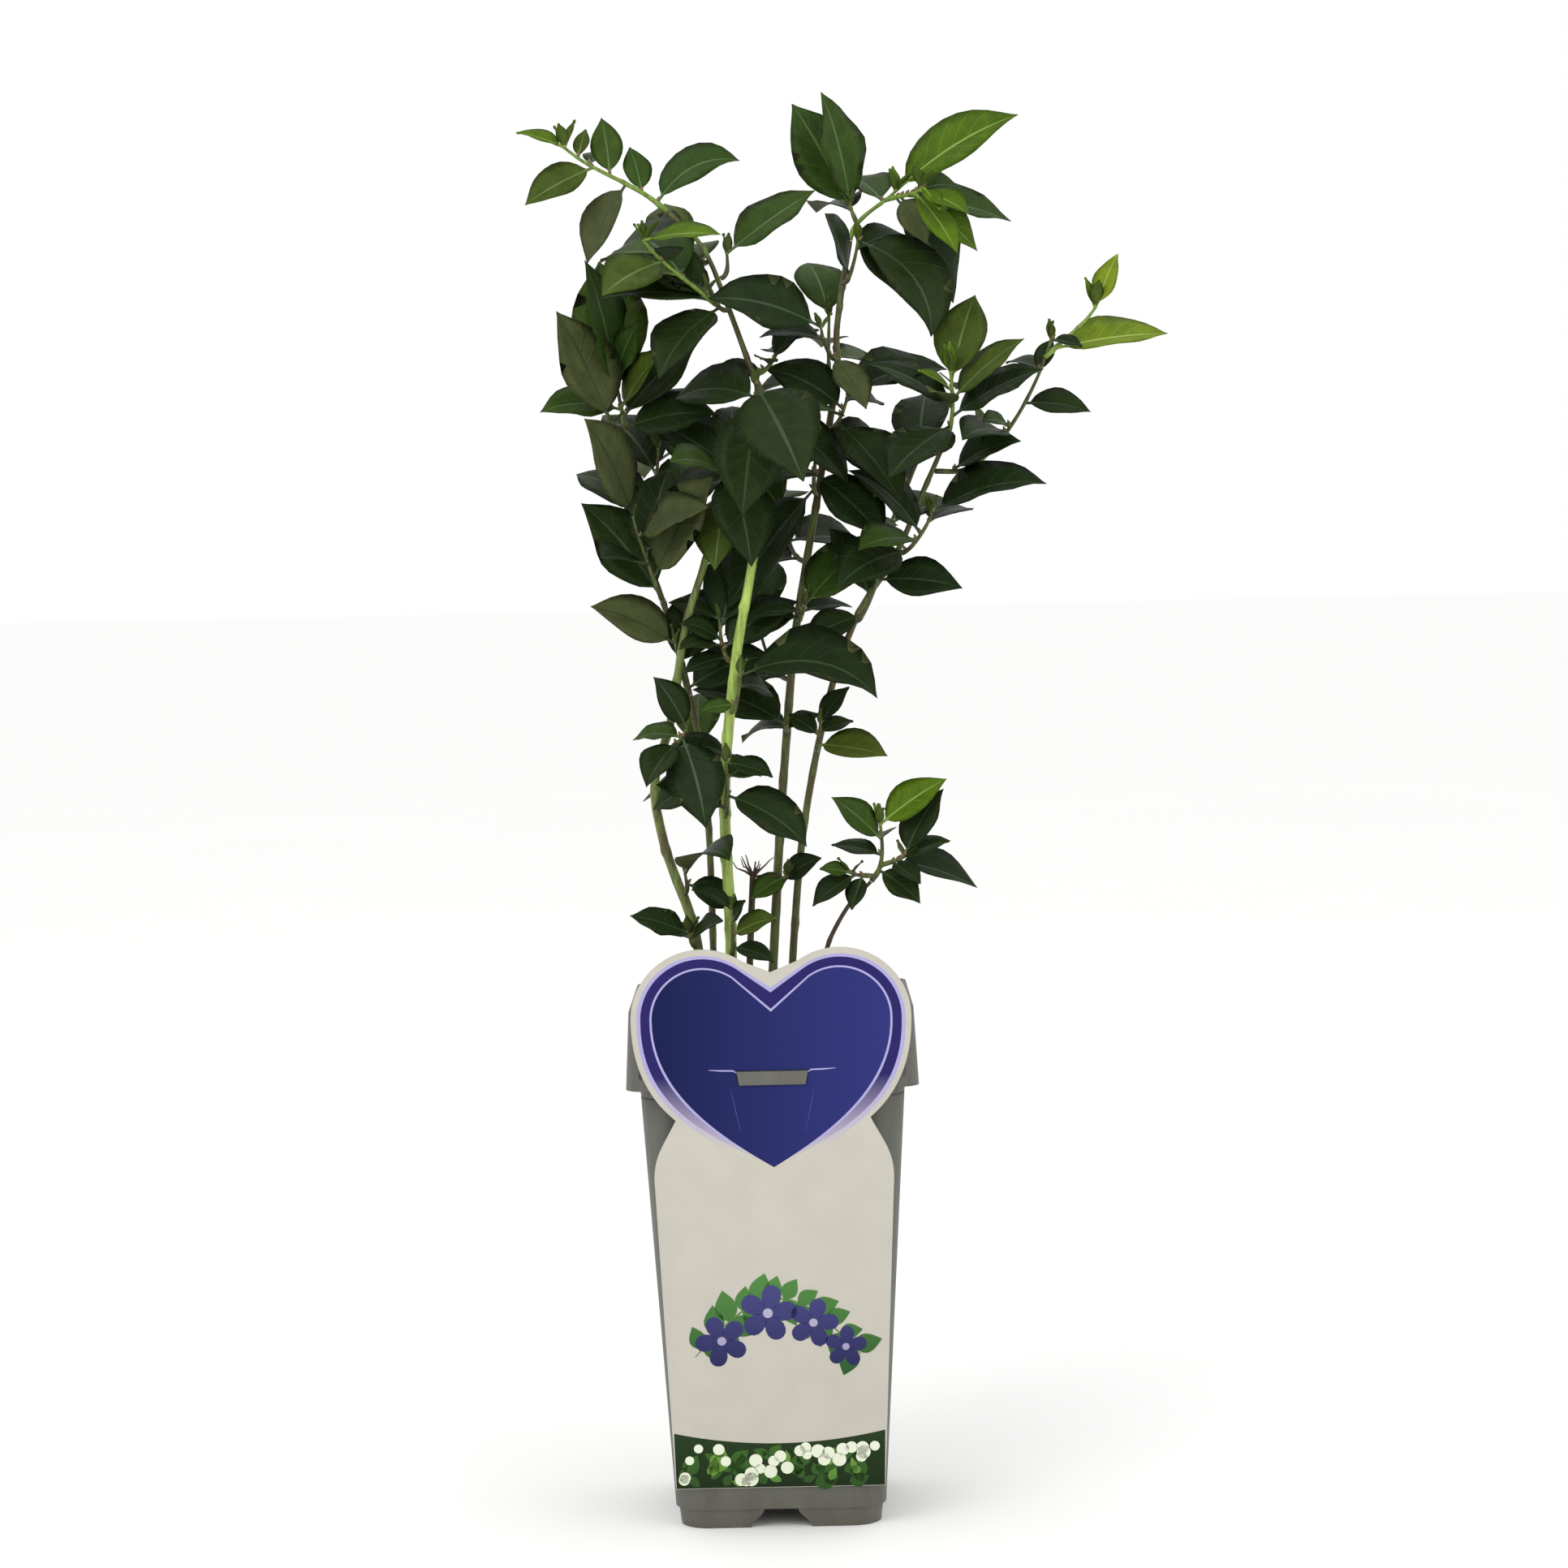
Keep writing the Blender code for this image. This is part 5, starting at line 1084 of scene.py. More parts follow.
def build_pot(settings):
    """The shell, its four feet with arches between them, drains, seam, collar and label tab."""
    wall = moulded_plastic("moulded_polypropylene_wall", settings.wall_colour, settings.dirt_colour)
    rim = moulded_plastic("moulded_polypropylene_collar", settings.collar_colour, settings.dirt_colour)
    wall_top = COLLAR_LOW + WALL_THICKNESS / 2
    shell = block("pot_shell", FLOOR_WIDTH, wall_width(wall_top), FOOT_HEIGHT, wall_top, WALL_CORNER)
    groove(shell, POT_SEAM, POT_SEAM_TALLNESS, settings.seam_depth)
    slab_width = FLOOR_WIDTH - 2 * FOOT_INSET
    slab = block("foot_slab", slab_width - 2 * FOOT_INSET, slab_width, 0.0,
                 FOOT_HEIGHT + WALL_THICKNESS / 2, WALL_CORNER)
    for bearing in (0, 90):
        turn = (Matrix.Rotation(math.radians(bearing), 4, "Z")
                @ Matrix.Rotation(math.radians(90), 4, "X"))
        cut(slab, flat_piece("arch", [arch_outline()], -FLOOR_WIDTH, FLOOR_WIDTH, turn))
    cut(shell, slab, "UNION")
    cut(shell, rod("middle_foot", MIDDLE_FOOT_RADIUS, 0.0, FOOT_HEIGHT + WALL_THICKNESS / 2, (0, 0)),
        "UNION")
    inside_top = COLLAR_LOW + 2 * WALL_THICKNESS
    lining = 2 * WALL_THICKNESS
    inside = block("inside", FLOOR_WIDTH - lining, wall_width(inside_top) - lining,
                   FOOT_HEIGHT + WALL_THICKNESS, inside_top, WALL_CORNER - WALL_THICKNESS)
    cut(shell, inside)
    for x in (-DRAIN_PLACE, DRAIN_PLACE):
        for y in (-DRAIN_PLACE, DRAIN_PLACE):
            cut(shell, rod("drain", DRAIN_RADIUS, -FOOT_HEIGHT, FOOT_HEIGHT + 2 * WALL_THICKNESS,
                           (x, y)))
    round_off(shell, settings.edge_radius)
    shell.data.materials.clear()
    shell.data.materials.append(wall)

    collar = block("pot_collar", COLLAR_LOW_WIDTH, COLLAR_TOP_WIDTH, COLLAR_LOW, POT_HEIGHT,
                   COLLAR_CORNER)
    cut(collar, block("collar_inside", COLLAR_LOW_WIDTH - lining, COLLAR_TOP_WIDTH - lining,
                      COLLAR_LOW + WALL_THICKNESS, POT_HEIGHT + WALL_THICKNESS,
                      COLLAR_CORNER - WALL_THICKNESS))
    opening = wall_width(COLLAR_LOW) - lining
    cut(collar, block("opening", opening, opening, COLLAR_LOW - MM, COLLAR_LOW + 3 * MM,
                      WALL_CORNER - WALL_THICKNESS))
    for side in (-1, 1):
        for face in (-1, 1):
            deselect()
            bpy.ops.mesh.primitive_cube_add(
                size=1, location=(side * COLLAR_SLOT_PLACE, face * COLLAR_LOW_WIDTH / 2,
                                  (COLLAR_SLOT_LOW + COLLAR_SLOT_HIGH) / 2),
                scale=(COLLAR_SLOT_WIDTH, 12 * MM, COLLAR_SLOT_HIGH - COLLAR_SLOT_LOW))
            bpy.ops.object.transform_apply(location=True, rotation=True, scale=True)
            cut(collar, bpy.context.object)
    round_off(collar, settings.edge_radius)
    collar.data.materials.clear()
    collar.data.materials.append(rim)

    deselect()
    depth = TAB_REACH + WALL_THICKNESS / 2
    bpy.ops.mesh.primitive_cube_add(
        size=1, location=(0, -COLLAR_LOW_WIDTH / 2 - TAB_REACH + depth / 2, (TAB_LOW + TAB_HIGH) / 2),
        scale=(TAB_WIDTH, depth, TAB_HIGH - TAB_LOW))
    tab = bpy.context.object
    tab.name = "label_tab"
    bpy.ops.object.transform_apply(location=True, rotation=True, scale=True)
    # Its lower edge is narrower and its free end a little less deep, so that the label snaps over it
    choose(tab, "FACE", lambda face: face.normal.z < -0.9)
    bpy.ops.transform.resize(value=(TAB_TAPER, 1, 1), center_override=(0, 0, TAB_LOW))
    choose(tab, "FACE", lambda face: face.normal.y < -0.9)
    bpy.ops.transform.resize(value=(0.985, 1, 0.94), center_override=(0, 0, TAB_LOW))
    leave_edit()
    round_off(tab, 0.4 * MM, segments=2)
    tab.data.materials.append(rim)
    for piece in (shell, collar, tab):
        put_on(piece, "pot_plastic", "pot")


# ---------------------------------------------------------------- label

def card_turn():
    """Stands the label's flat drawing against the pot's front, leaning in towards its foot."""
    foot = -wall_width(CARD_FOOT) / 2 - GAP - CARD_THICKNESS
    head = -COLLAR_LOW_WIDTH / 2 - GAP - CARD_THICKNESS
    lean = math.atan2(foot - head, COLLAR_LOW - CARD_FOOT)
    return (Matrix.Translation((0, head + CARD_THICKNESS / 2, COLLAR_LOW))
            @ Matrix.Rotation(math.radians(90) + lean, 4, "X"))


def drawn(outline):
    """An outline in heights above the floor, as the card's own drawing has it."""
    return [(x, z - COLLAR_LOW) for x, z in outline]


def heart_outline(half, widest, lobe, notch, tip, first, second):
    """A heart from its tip up the right side and back down the left, in centimetres."""
    right = bezier((0.0, tip), first, second, (half, widest), 22)
    for step in range(24):
        angle = math.radians(125 * step / 23)
        right.append((half - lobe + lobe * math.cos(angle), widest + lobe * math.sin(angle)))
    both = right + [(0.0, notch)] + [(-x, z) for x, z in reversed(right[1:])]
    return [(x * CM, z * CM) for x, z in both]


def printed(name, shapes, height, turn, material):
    """A joined piece of small printed shapes that stand a hair proud of the card."""
    verts, faces = [], []
    for shape in shapes:
        first = len(verts)
        count = len(shape)
        for depth in (CARD_THICKNESS / 2 - 0.1 * MM, CARD_THICKNESS / 2 + height):
            verts += [turn @ Vector((x, z - COLLAR_LOW, depth)) for x, z in shape]
        faces.append(tuple(range(first + count, first + 2 * count)))
        faces.append(tuple(range(first + count - 1, first - 1, -1)))
        faces += [(first + a, first + (a + 1) % count, first + count + (a + 1) % count,
                   first + count + a) for a in range(count)]
    return mesh_piece(name, verts, faces, [material], smoothly=False)


def leaf_shape(x, z, bearing, length, width):
    """Outline of a printed leaf, pointed at both ends, about its foot."""
    turn = math.radians(bearing)
    along_side = [(t / 8, width / length * math.sin(math.pi * (t / 8) ** 0.8)) for t in range(9)]
    whole = along_side + [(a, -b) for a, b in reversed(along_side[1:-1])]
    return [(x + length * (a * math.cos(turn) + b * math.sin(turn)),
             z + length * (a * math.sin(turn) - b * math.cos(turn))) for a, b in whole]


def round_shape(x, z, radius, squeeze=1.0):
    """Outline of a printed dot."""
    return [(x + radius * math.cos(math.tau * t / 14), z + radius * squeeze * math.sin(math.tau * t / 14))
            for t in range(14)]


def stroke(path, width):
    """Outline of a printed line that tapers to both ends."""
    left, right = [], []
    for index, (x, z) in enumerate(path):
        before = path[max(0, index - 1)]
        after = path[min(len(path) - 1, index + 1)]
        dx, dz = after[0] - before[0], after[1] - before[1]
        length = math.hypot(dx, dz)
        half = width / 2 * (0.35 + 0.65 * math.sin(math.pi * index / (len(path) - 1)))
        left.append((x - dz / length * half, z + dx / length * half))
        right.append((x + dz / length * half, z - dx / length * half))
    return right + left[::-1]


def ink(name, stops, low, high, axis="Z", roughness=0.5):
    """Glossy offset ink whose colour changes along one axis, with a faint print grain."""
    material, tree, shader = new_material(name, roughness, Specular_IOR_Level=0.12)
    place = add_node(tree, "ShaderNodeTexCoord")
    parts = add_node(tree, "ShaderNodeSeparateXYZ", None, {"Vector": (place, "Object")})
    share = add_node(tree, "ShaderNodeMapRange", {"From Min": low, "From Max": high},
                     {"Value": (parts, axis)})
    ramp = add_node(tree, "ShaderNodeValToRGB", {"stops": stops}, {"Fac": (share, "Result")})
    # Print grain of 0.6 mm, drawn coarser than the real screen so that it shows
    grain = add_node(tree, "ShaderNodeTexNoise", {"Scale": 1 / (0.6 * MM), "Detail": 2.0},
                     {"Vector": (place, "Object")})
    small = add_node(tree, "ShaderNodeMapRange", {"To Min": 0.93, "To Max": 1.07},
                     {"Value": (grain, "Fac")})
    mixed = add_node(tree, "ShaderNodeHueSaturation", None,
                     {"Color": (ramp, "Color"), "Value": (small, "Result")})
    tree.links.new(mixed.outputs["Color"], shader.inputs["Base Color"])
    return material


def build_label(settings):
    """The card, its heart, a small garland of berries in bloom and a leafy band along its foot."""
    turn = card_turn()
    board, tree, shader = new_material("coated_card", 0.5, Specular_IOR_Level=0.3)
    place = add_node(tree, "ShaderNodeTexCoord")
    haze = add_node(tree, "ShaderNodeTexNoise", {"Scale": 1 / (14 * MM), "Detail": 4.0},
                    {"Vector": (place, "Object")})
    card = tuple(settings.card_colour)
    ramp = add_node(tree, "ShaderNodeValToRGB",
                    {"stops": ((0.35, tuple(part * 0.95 for part in card)), (0.65, card))},
                    {"Fac": (haze, "Fac")})
    tree.links.new(ramp.outputs["Color"], shader.inputs["Base Color"])
    # Paper tooth of about 0.3 mm
    tooth = add_node(tree, "ShaderNodeTexNoise", {"Scale": 1 / (0.3 * MM), "Detail": 2.0},
                     {"Vector": (place, "Object")})
    relief = add_node(tree, "ShaderNodeBump", {"Strength": 0.06, "Distance": 0.05 * MM},
                      {"Height": (tooth, "Fac")})
    tree.links.new(relief.outputs["Normal"], shader.inputs["Normal"])

    # The slit fits the tab's wide root, and its corners slope in as the tab's do
    window = [(-TAB_WIDTH / 2 - TAB_FIT, TAB_HIGH + TAB_FIT), (TAB_WIDTH / 2 + TAB_FIT, TAB_HIGH + TAB_FIT),
              (TAB_WIDTH / 2 * TAB_TAPER, TAB_LOW - TAB_FIT), (-TAB_WIDTH / 2 * TAB_TAPER, TAB_LOW - TAB_FIT)]
    base = flat_piece("label_card_board", [drawn(card_outline(3)), drawn(window)],
                      -CARD_THICKNESS / 2, CARD_THICKNESS / 2, turn)
    round_off(base, 0.15 * MM)
    base.data.materials.append(board)
    put_on(base, "label_board", "label_card")

    line = tuple(settings.line_colour)
    pale = ink("offset_ink_halo", ((0.0, card), (0.3, tuple(0.5 * a + 0.5 * b for a, b in zip(card, line))),
                                   (1.0, line)), 14.6 * CM, 17.6 * CM)
    band = ink("offset_ink_band",
               ((0.0, card), (0.18, tuple(settings.fade_colour)),
                (0.45, tuple(0.45 * a + 0.55 * b for a, b in
                             zip(settings.fade_colour, settings.band_colour))),
                (0.68, tuple(settings.band_colour))), 14.3 * CM, 18.9 * CM)
    stripe = ink("offset_ink_line", ((0.0, card), (0.3, line), (1.0, line)), 14.2 * CM, 17.0 * CM)
    blue = ink("offset_ink_heart",
               ((0.0, tuple(settings.heart_left)), (1.0, tuple(settings.heart_right))), -4 * CM, 4 * CM,
               axis="X")
    hearts = (
        ("label_halo", (4.98, 19.6, 2.42, 20.78, 13.72, (2.7, 15.1), (5.05, 16.3)), 0.03 * MM, pale),
        ("label_band", (4.84, 19.6, 2.3, 20.6, 13.95, (2.6, 15.3), (4.9, 16.4)), 0.06 * MM, band),
        ("label_line", (4.50, 19.6, 1.97, 19.98, 13.86, (2.46, 15.35), (4.53, 17.0)), 0.09 * MM, stripe),
        ("label_heart", (4.42, 19.6, 1.9, 19.87, 13.96, (2.4, 15.4), (4.45, 17.1)), 0.12 * MM, blue))
    for name, (half, widest, lobe, notch, tip, first, second), height, material in hearts:
        outline = heart_outline(half, widest, lobe, notch, tip, first, second)
        layer = flat_piece(name, [drawn(outline), drawn(window)], CARD_THICKNESS / 2 - 0.1 * MM,
                           CARD_THICKNESS / 2 + height, turn)
        layer.data.materials.append(material)
        put_on(layer, "label_board")

    # Pale creases where the card bends over the tab
    slits = [stroke([(side * x * CM, z * CM) for x, z in ((1.3, 17.56), (1.45, 17.66), (1.9, 17.67),
                                                          (2.35, 17.7))], 0.6 * MM) for side in (-1, 1)]
    bends = [stroke([(side * x * CM, z * CM) for x, z in ((1.55, 17.0), (1.4, 16.2), (1.2, 15.3))],
                    0.4 * MM) for side in (-1, 1)]
    faint = ink("offset_ink_crease", ((0.0, tuple(settings.crease_colour)),
                                      (1.0, tuple(settings.crease_colour))), 15 * CM, 18 * CM)
    put_on(printed("label_slits", slits, 0.14 * MM, turn, stripe), "label_board")
    put_on(printed("label_creases", bends, 0.14 * MM, turn, faint), "label_board")

    build_garland(turn)


def build_garland(turn):
    """A generic garland of five-petalled flowers and leaves, and a leafy band along the card's foot."""
    rule = random.Random("garland")
    stem_ink = ink("offset_ink_stem", ((0.0, linear("4f6b3a")), (1.0, linear("6d8a4c"))), 6 * CM, 10 * CM)
    leaf_ink = ink("offset_ink_leaf", ((0.0, linear("2a5228")), (1.0, linear("4f8040"))), 6 * CM, 10 * CM)
    petal_ink = ink("offset_ink_petal", ((0.0, linear("23244e")), (1.0, linear("45457c"))), 6 * CM, 10 * CM)
    heart_ink = ink("offset_ink_flower_heart", ((0.0, linear("8f86a8")), (1.0, linear("b9b0c8"))), 6 * CM,
                    10 * CM)
    stems, leaves, petals, middles = [], [], [], []
    arch = [(-3.1 + 6.2 * t / 24, 6.7 + 2.2 * math.sin(math.pi * t / 24)) for t in range(25)]
    stems.append(stroke([(x * CM, z * CM) for x, z in arch], 0.9 * MM))
    for place in range(1, 24, 2):
        x, z = arch[place]
        slope = math.degrees(math.atan2(arch[place + 1][1] - arch[place - 1][1],
                                        arch[place + 1][0] - arch[place - 1][0]))
        for side in (-1, 1):
            length = rule.uniform(0.85, 1.25) * CM
            leaves.append(leaf_shape(x * CM, z * CM, slope + side * rule.uniform(48, 68), length,
                                     length * 0.34))
    for x, z, size in ((-2.1, 7.3, 1.0), (-0.35, 8.35, 1.1), (1.35, 7.95, 0.95), (2.55, 7.0, 0.8)):
        start = rule.uniform(0, 72)
        for petal in range(5):
            bearing = math.radians(start + 72 * petal)
            reach = size * 0.56 * CM
            outline = []
            for t in range(16):
                a = math.tau * t / 16
                out = reach + size * 0.44 * CM * math.cos(a)
                across = size * 0.33 * CM * math.sin(a) * (1 + 0.18 * math.cos(a))
                outline.append((x * CM + out * math.cos(bearing) - across * math.sin(bearing),
                                z * CM + out * math.sin(bearing) + across * math.cos(bearing)))
            petals.append(outline)
        middles.append(round_shape(x * CM, z * CM, size * 0.17 * CM))
    for name, shapes, height, material in (
            ("label_garland_stem", stems, 0.05 * MM, stem_ink),
            ("label_garland_leaves", leaves, 0.08 * MM, leaf_ink),
            ("label_garland_petals", petals, 0.11 * MM, petal_ink),
            ("label_garland_middles", middles, 0.14 * MM, heart_ink)):
        put_on(printed(name, shapes, height, turn, material), "label_board")

    ground = ink("offset_ink_ground", ((0.0, linear("17260f")), (1.0, linear("22371a"))), 1.5 * CM, 3.8 * CM)
    dark = ink("offset_ink_dark_leaf", ((0.0, linear("2b4a1f")), (1.0, linear("3c6428"))), 1.5 * CM, 3.8 * CM)
    light = ink("offset_ink_light_leaf", ((0.0, linear("4f7a30")), (1.0, linear("6d9440"))), 1.5 * CM,
                3.8 * CM)
    dots = ink("offset_ink_dots", ((0.0, linear("d3dbc2")), (1.0, linear("dfe4cf"))), 1.5 * CM, 3.8 * CM)
    foot = CARD_FOOT / CM + 0.02
    side = CARD_FOOT_HALF_WIDTH / CM - 0.02
    top = [(side * (1 - t / 12) * 1.012, 3.28 + 0.45 * (1 - t / 12) ** 2) for t in range(13)]
    edge = [(side, foot)] + top + [(-x, z) for x, z in reversed(top[:-1])] + [(-side, foot)]
    put_on(printed("label_foot_band", [[(x * CM, z * CM) for x, z in edge]], 0.04 * MM, turn, ground),
           "label_board")
    groups = {"label_foot_leaves_dark": [], "label_foot_leaves_light": [], "label_foot_dots": []}
    inside = side - 0.08
    for spot in range(60):
        x, z = rule.uniform(-inside, inside), rule.uniform(foot + 0.05, 3.0)
        length = rule.uniform(0.4, 0.95)
        bearing = rule.uniform(15, 165)
        reach = (x + length * math.cos(math.radians(bearing)), z + length * math.sin(math.radians(bearing)))
        if abs(reach[0]) > inside - 0.1 or reach[1] > 3.25:
            continue
        kind = "label_foot_leaves_light" if rule.random() < 0.3 else "label_foot_leaves_dark"
        groups[kind].append(leaf_shape(x * CM, z * CM, bearing, length * CM,
                                       length * rule.uniform(0.2, 0.4) * CM))
    for cluster in range(12):
        x, z = -3.5 + 0.63 * cluster + rule.uniform(-0.25, 0.25), rule.uniform(1.85, 3.2)
        for dot in range(rule.randint(2, 3)):
            radius = rule.uniform(0.17, 0.27)
            spot_x = max(-inside + radius, min(inside - radius, x + rule.uniform(-0.42, 0.42)))
            spot_z = max(foot + radius + 0.05, min(3.3 - radius, z + rule.uniform(-0.4, 0.4)))
            groups["label_foot_dots"].append(round_shape(spot_x * CM, spot_z * CM, radius * CM))
    for height, material, (name, shapes) in zip((0.07 * MM, 0.10 * MM, 0.13 * MM), (dark, light, dots),
                                                groups.items()):
        put_on(printed(name, shapes, height, turn, material), "label_board")


# ---------------------------------------------------------------- peat

def build_peat(settings):
    """Dark moist peat with an uneven top, loose crumbs, root fibres and white perlite."""
    peat = mottled("moist_peat", ((0.3, tuple(part * 0.45 for part in settings.peat_colour)),
                                  (0.55, tuple(settings.peat_colour)),
                                  (0.75, tuple(part * 1.9 for part in settings.peat_colour))),
                   2.5 * MM, 0.93, 0.8, 0.7 * MM)
    pumice = mottled("puffed_perlite", ((0.3, linear("b9b4a8")), (0.7, linear("e4e1d8"))),
                     1.5 * MM, 0.85, 0.5, 0.4 * MM)
    straw = mottled("dry_root_fibre", ((0.3, linear("5a4128")), (0.7, linear("8a6b42"))),
                    3 * MM, 0.8, 0.3, 0.5 * MM)
    lining = 2 * (WALL_THICKNESS + 2 * GAP)
    low = FOOT_HEIGHT + WALL_THICKNESS + GAP
    body = block("peat_body", wall_width(low) - lining, wall_width(SOIL_TOP - 2 * MM) - lining, low,
                 SOIL_TOP - 2 * MM, WALL_CORNER - WALL_THICKNESS)
    deselect()
    half = (wall_width(SOIL_TOP) - lining) / 2
    bpy.ops.mesh.primitive_grid_add(x_subdivisions=110, y_subdivisions=110, size=2 * half,
                                    location=(0, 0, SOIL_TOP - 1.5 * MM))
    top = bpy.context.object
    bpy.ops.object.transform_apply(location=True, rotation=True, scale=True)
    corner = WALL_CORNER - WALL_THICKNESS
    for vertex in top.data.vertices:
        x, y, z = vertex.co
        inner = half - corner
        over = Vector((max(0.0, abs(x) - inner), max(0.0, abs(y) - inner)))
        if over.length > corner:
            over = over.normalized() * corner
            x, y = math.copysign(inner + over.x, x), math.copysign(inner + over.y, y)
        edge = min(1.0, (half - max(abs(x), abs(y))) / (6 * MM))
        lump = noise.noise(Vector((x, y, 0)) / (9 * MM)) + 0.5 * noise.noise(Vector((x, y, 3)) / (3 * MM))
        vertex.co = (x, y, z + 0.9 * MM * lump * (0.3 + 0.7 * edge))
    choose(top, "FACE", lambda face: True)
    bpy.ops.mesh.extrude_region_move(TRANSFORM_OT_translate={"value": (0, 0, -2 * MM)})
    bpy.ops.mesh.select_all(action="SELECT")
    bpy.ops.mesh.normals_make_consistent(inside=False)
    leave_edit()
    ground = join([body, top], "peat_ground")
    ground.data.materials.clear()
    ground.data.materials.append(peat)
    smooth(ground, 50)

    deselect()
    bpy.ops.mesh.primitive_ico_sphere_add(subdivisions=1, radius=1)
    seed = bpy.context.object
    ball = np.array([vertex.co for vertex in seed.data.vertices])
    corners = np.array([tuple(face.vertices) for face in seed.data.polygons])
    bpy.data.objects.remove(seed)
    rule = np.random.default_rng(11)
    for name, count, least, most, material in (("peat_crumbs", 760, 0.8, 2.3, peat),
                                               ("perlite_bits", 42, 0.7, 1.5, pumice)):
        verts, faces = [], []
        for spot in range(count):
            x, y = rule.uniform(-half + 3 * MM, half - 3 * MM, 2)
            size = rule.uniform(least, most) * MM
            lumpy = ball * (1 + rule.normal(0, 0.13, len(ball))[:, None]) * rule.uniform(0.7, 1.2, 3)
            verts.append(lumpy * size + (x, y, SOIL_TOP - 1.2 * MM + 0.35 * size))
            faces.append(corners + spot * len(ball))
        piece = mesh_piece(name, np.concatenate(verts), np.concatenate(faces), [material])
        put_on(piece, "peat")
    fibres = []
    chance = random.Random("fibres")
    for spot in range(46):
        start = Vector((chance.uniform(-half, half) * 0.85, chance.uniform(-half, half) * 0.85,
                        SOIL_TOP + 0.4 * MM))
        bearing = chance.uniform(0, math.tau)
        path = [start.copy()]
        for step in range(6):
            bearing += chance.uniform(-0.5, 0.5)
            start = start + Vector((math.cos(bearing), math.sin(bearing), chance.uniform(-0.25, 0.2))) * 2 * MM
            start.x = max(-half * 0.93, min(half * 0.93, start.x))
            start.y = max(-half * 0.93, min(half * 0.93, start.y))
            path.append(start.copy())
        fibres.append((path, [0.28 * MM] * len(path)))
    put_on(ring_tubes("peat_fibres", fibres, 4, [straw]), "peat")
    put_on(ground, "peat", "soil")


# ---------------------------------------------------------------- stems and twigs

def frames(path):
    """Side and up vectors that turn as little as they can along a path."""
    ways = [(b - a).normalized() for a, b in zip(path, path[1:])]
    ways.append(ways[-1])
    side = ways[0].orthogonal().normalized()
    rows = []
    for index, way in enumerate(ways):
        bend = (ways[index - 1] + way).normalized() if index else way
        side = (side - bend * side.dot(bend)).normalized()
        rows.append((side.copy(), bend.cross(side)))
    return rows


def ring_tubes(name, paths, sides, materials, relief=None, uv=False):
    """Joined round tubes along paths, each with its radii, closed to a point at both ends."""
    verts, quads, lengths = [], [], []
    for path, radii in paths:
        run = 0.0
        rows = frames(path)
        ring_start = len(verts)
        for index, (place, (side, up), radius) in enumerate(zip(path, rows, radii)):
            if index:
                run += (place - path[index - 1]).length
            for corner in range(sides):
                angle = math.tau * corner / sides
                out = side * math.cos(angle) + up * math.sin(angle)
                grow = relief(place, out, run, angle) if relief else 1.0
                verts.append(place + out * radius * grow)
                lengths.append(run)
        count = len(path)
        for ring in range(count - 1):
            for corner in range(sides):
                a = ring_start + ring * sides + corner
                b = ring_start + ring * sides + (corner + 1) % sides
                quads.append((a, b, b + sides, a + sides))
        first = tuple(ring_start + corner for corner in reversed(range(sides)))
        last = tuple(ring_start + (count - 1) * sides + corner for corner in range(sides))
        quads += [first, last]
    return mesh_piece(name, verts, quads, materials)


def fine_path(limb):
    """A limb's middle line and radii in short steps, from a flat cut at its foot."""
    path, radii = limb_path(limb)
    steps = STEM_STEPS
    fine, thick = [], []
    ends = [path[0] * 2 - path[1]] + path + [path[-1] * 2 - path[-2]]
    for index in range(len(path) - 1):
        before, start, end, after = ends[index:index + 4]
        for step in range(steps):
            t = step / steps
            fine.append(0.5 * (2 * start + (end - before) * t
                               + (2 * before - 5 * start + 4 * end - after) * t * t
                               + (3 * start - before - 3 * end + after) * t ** 3))
            thick.append(radii[index] + (radii[index + 1] - radii[index]) * t)
    return fine + [path[-1]], thick + [radii[-1]]


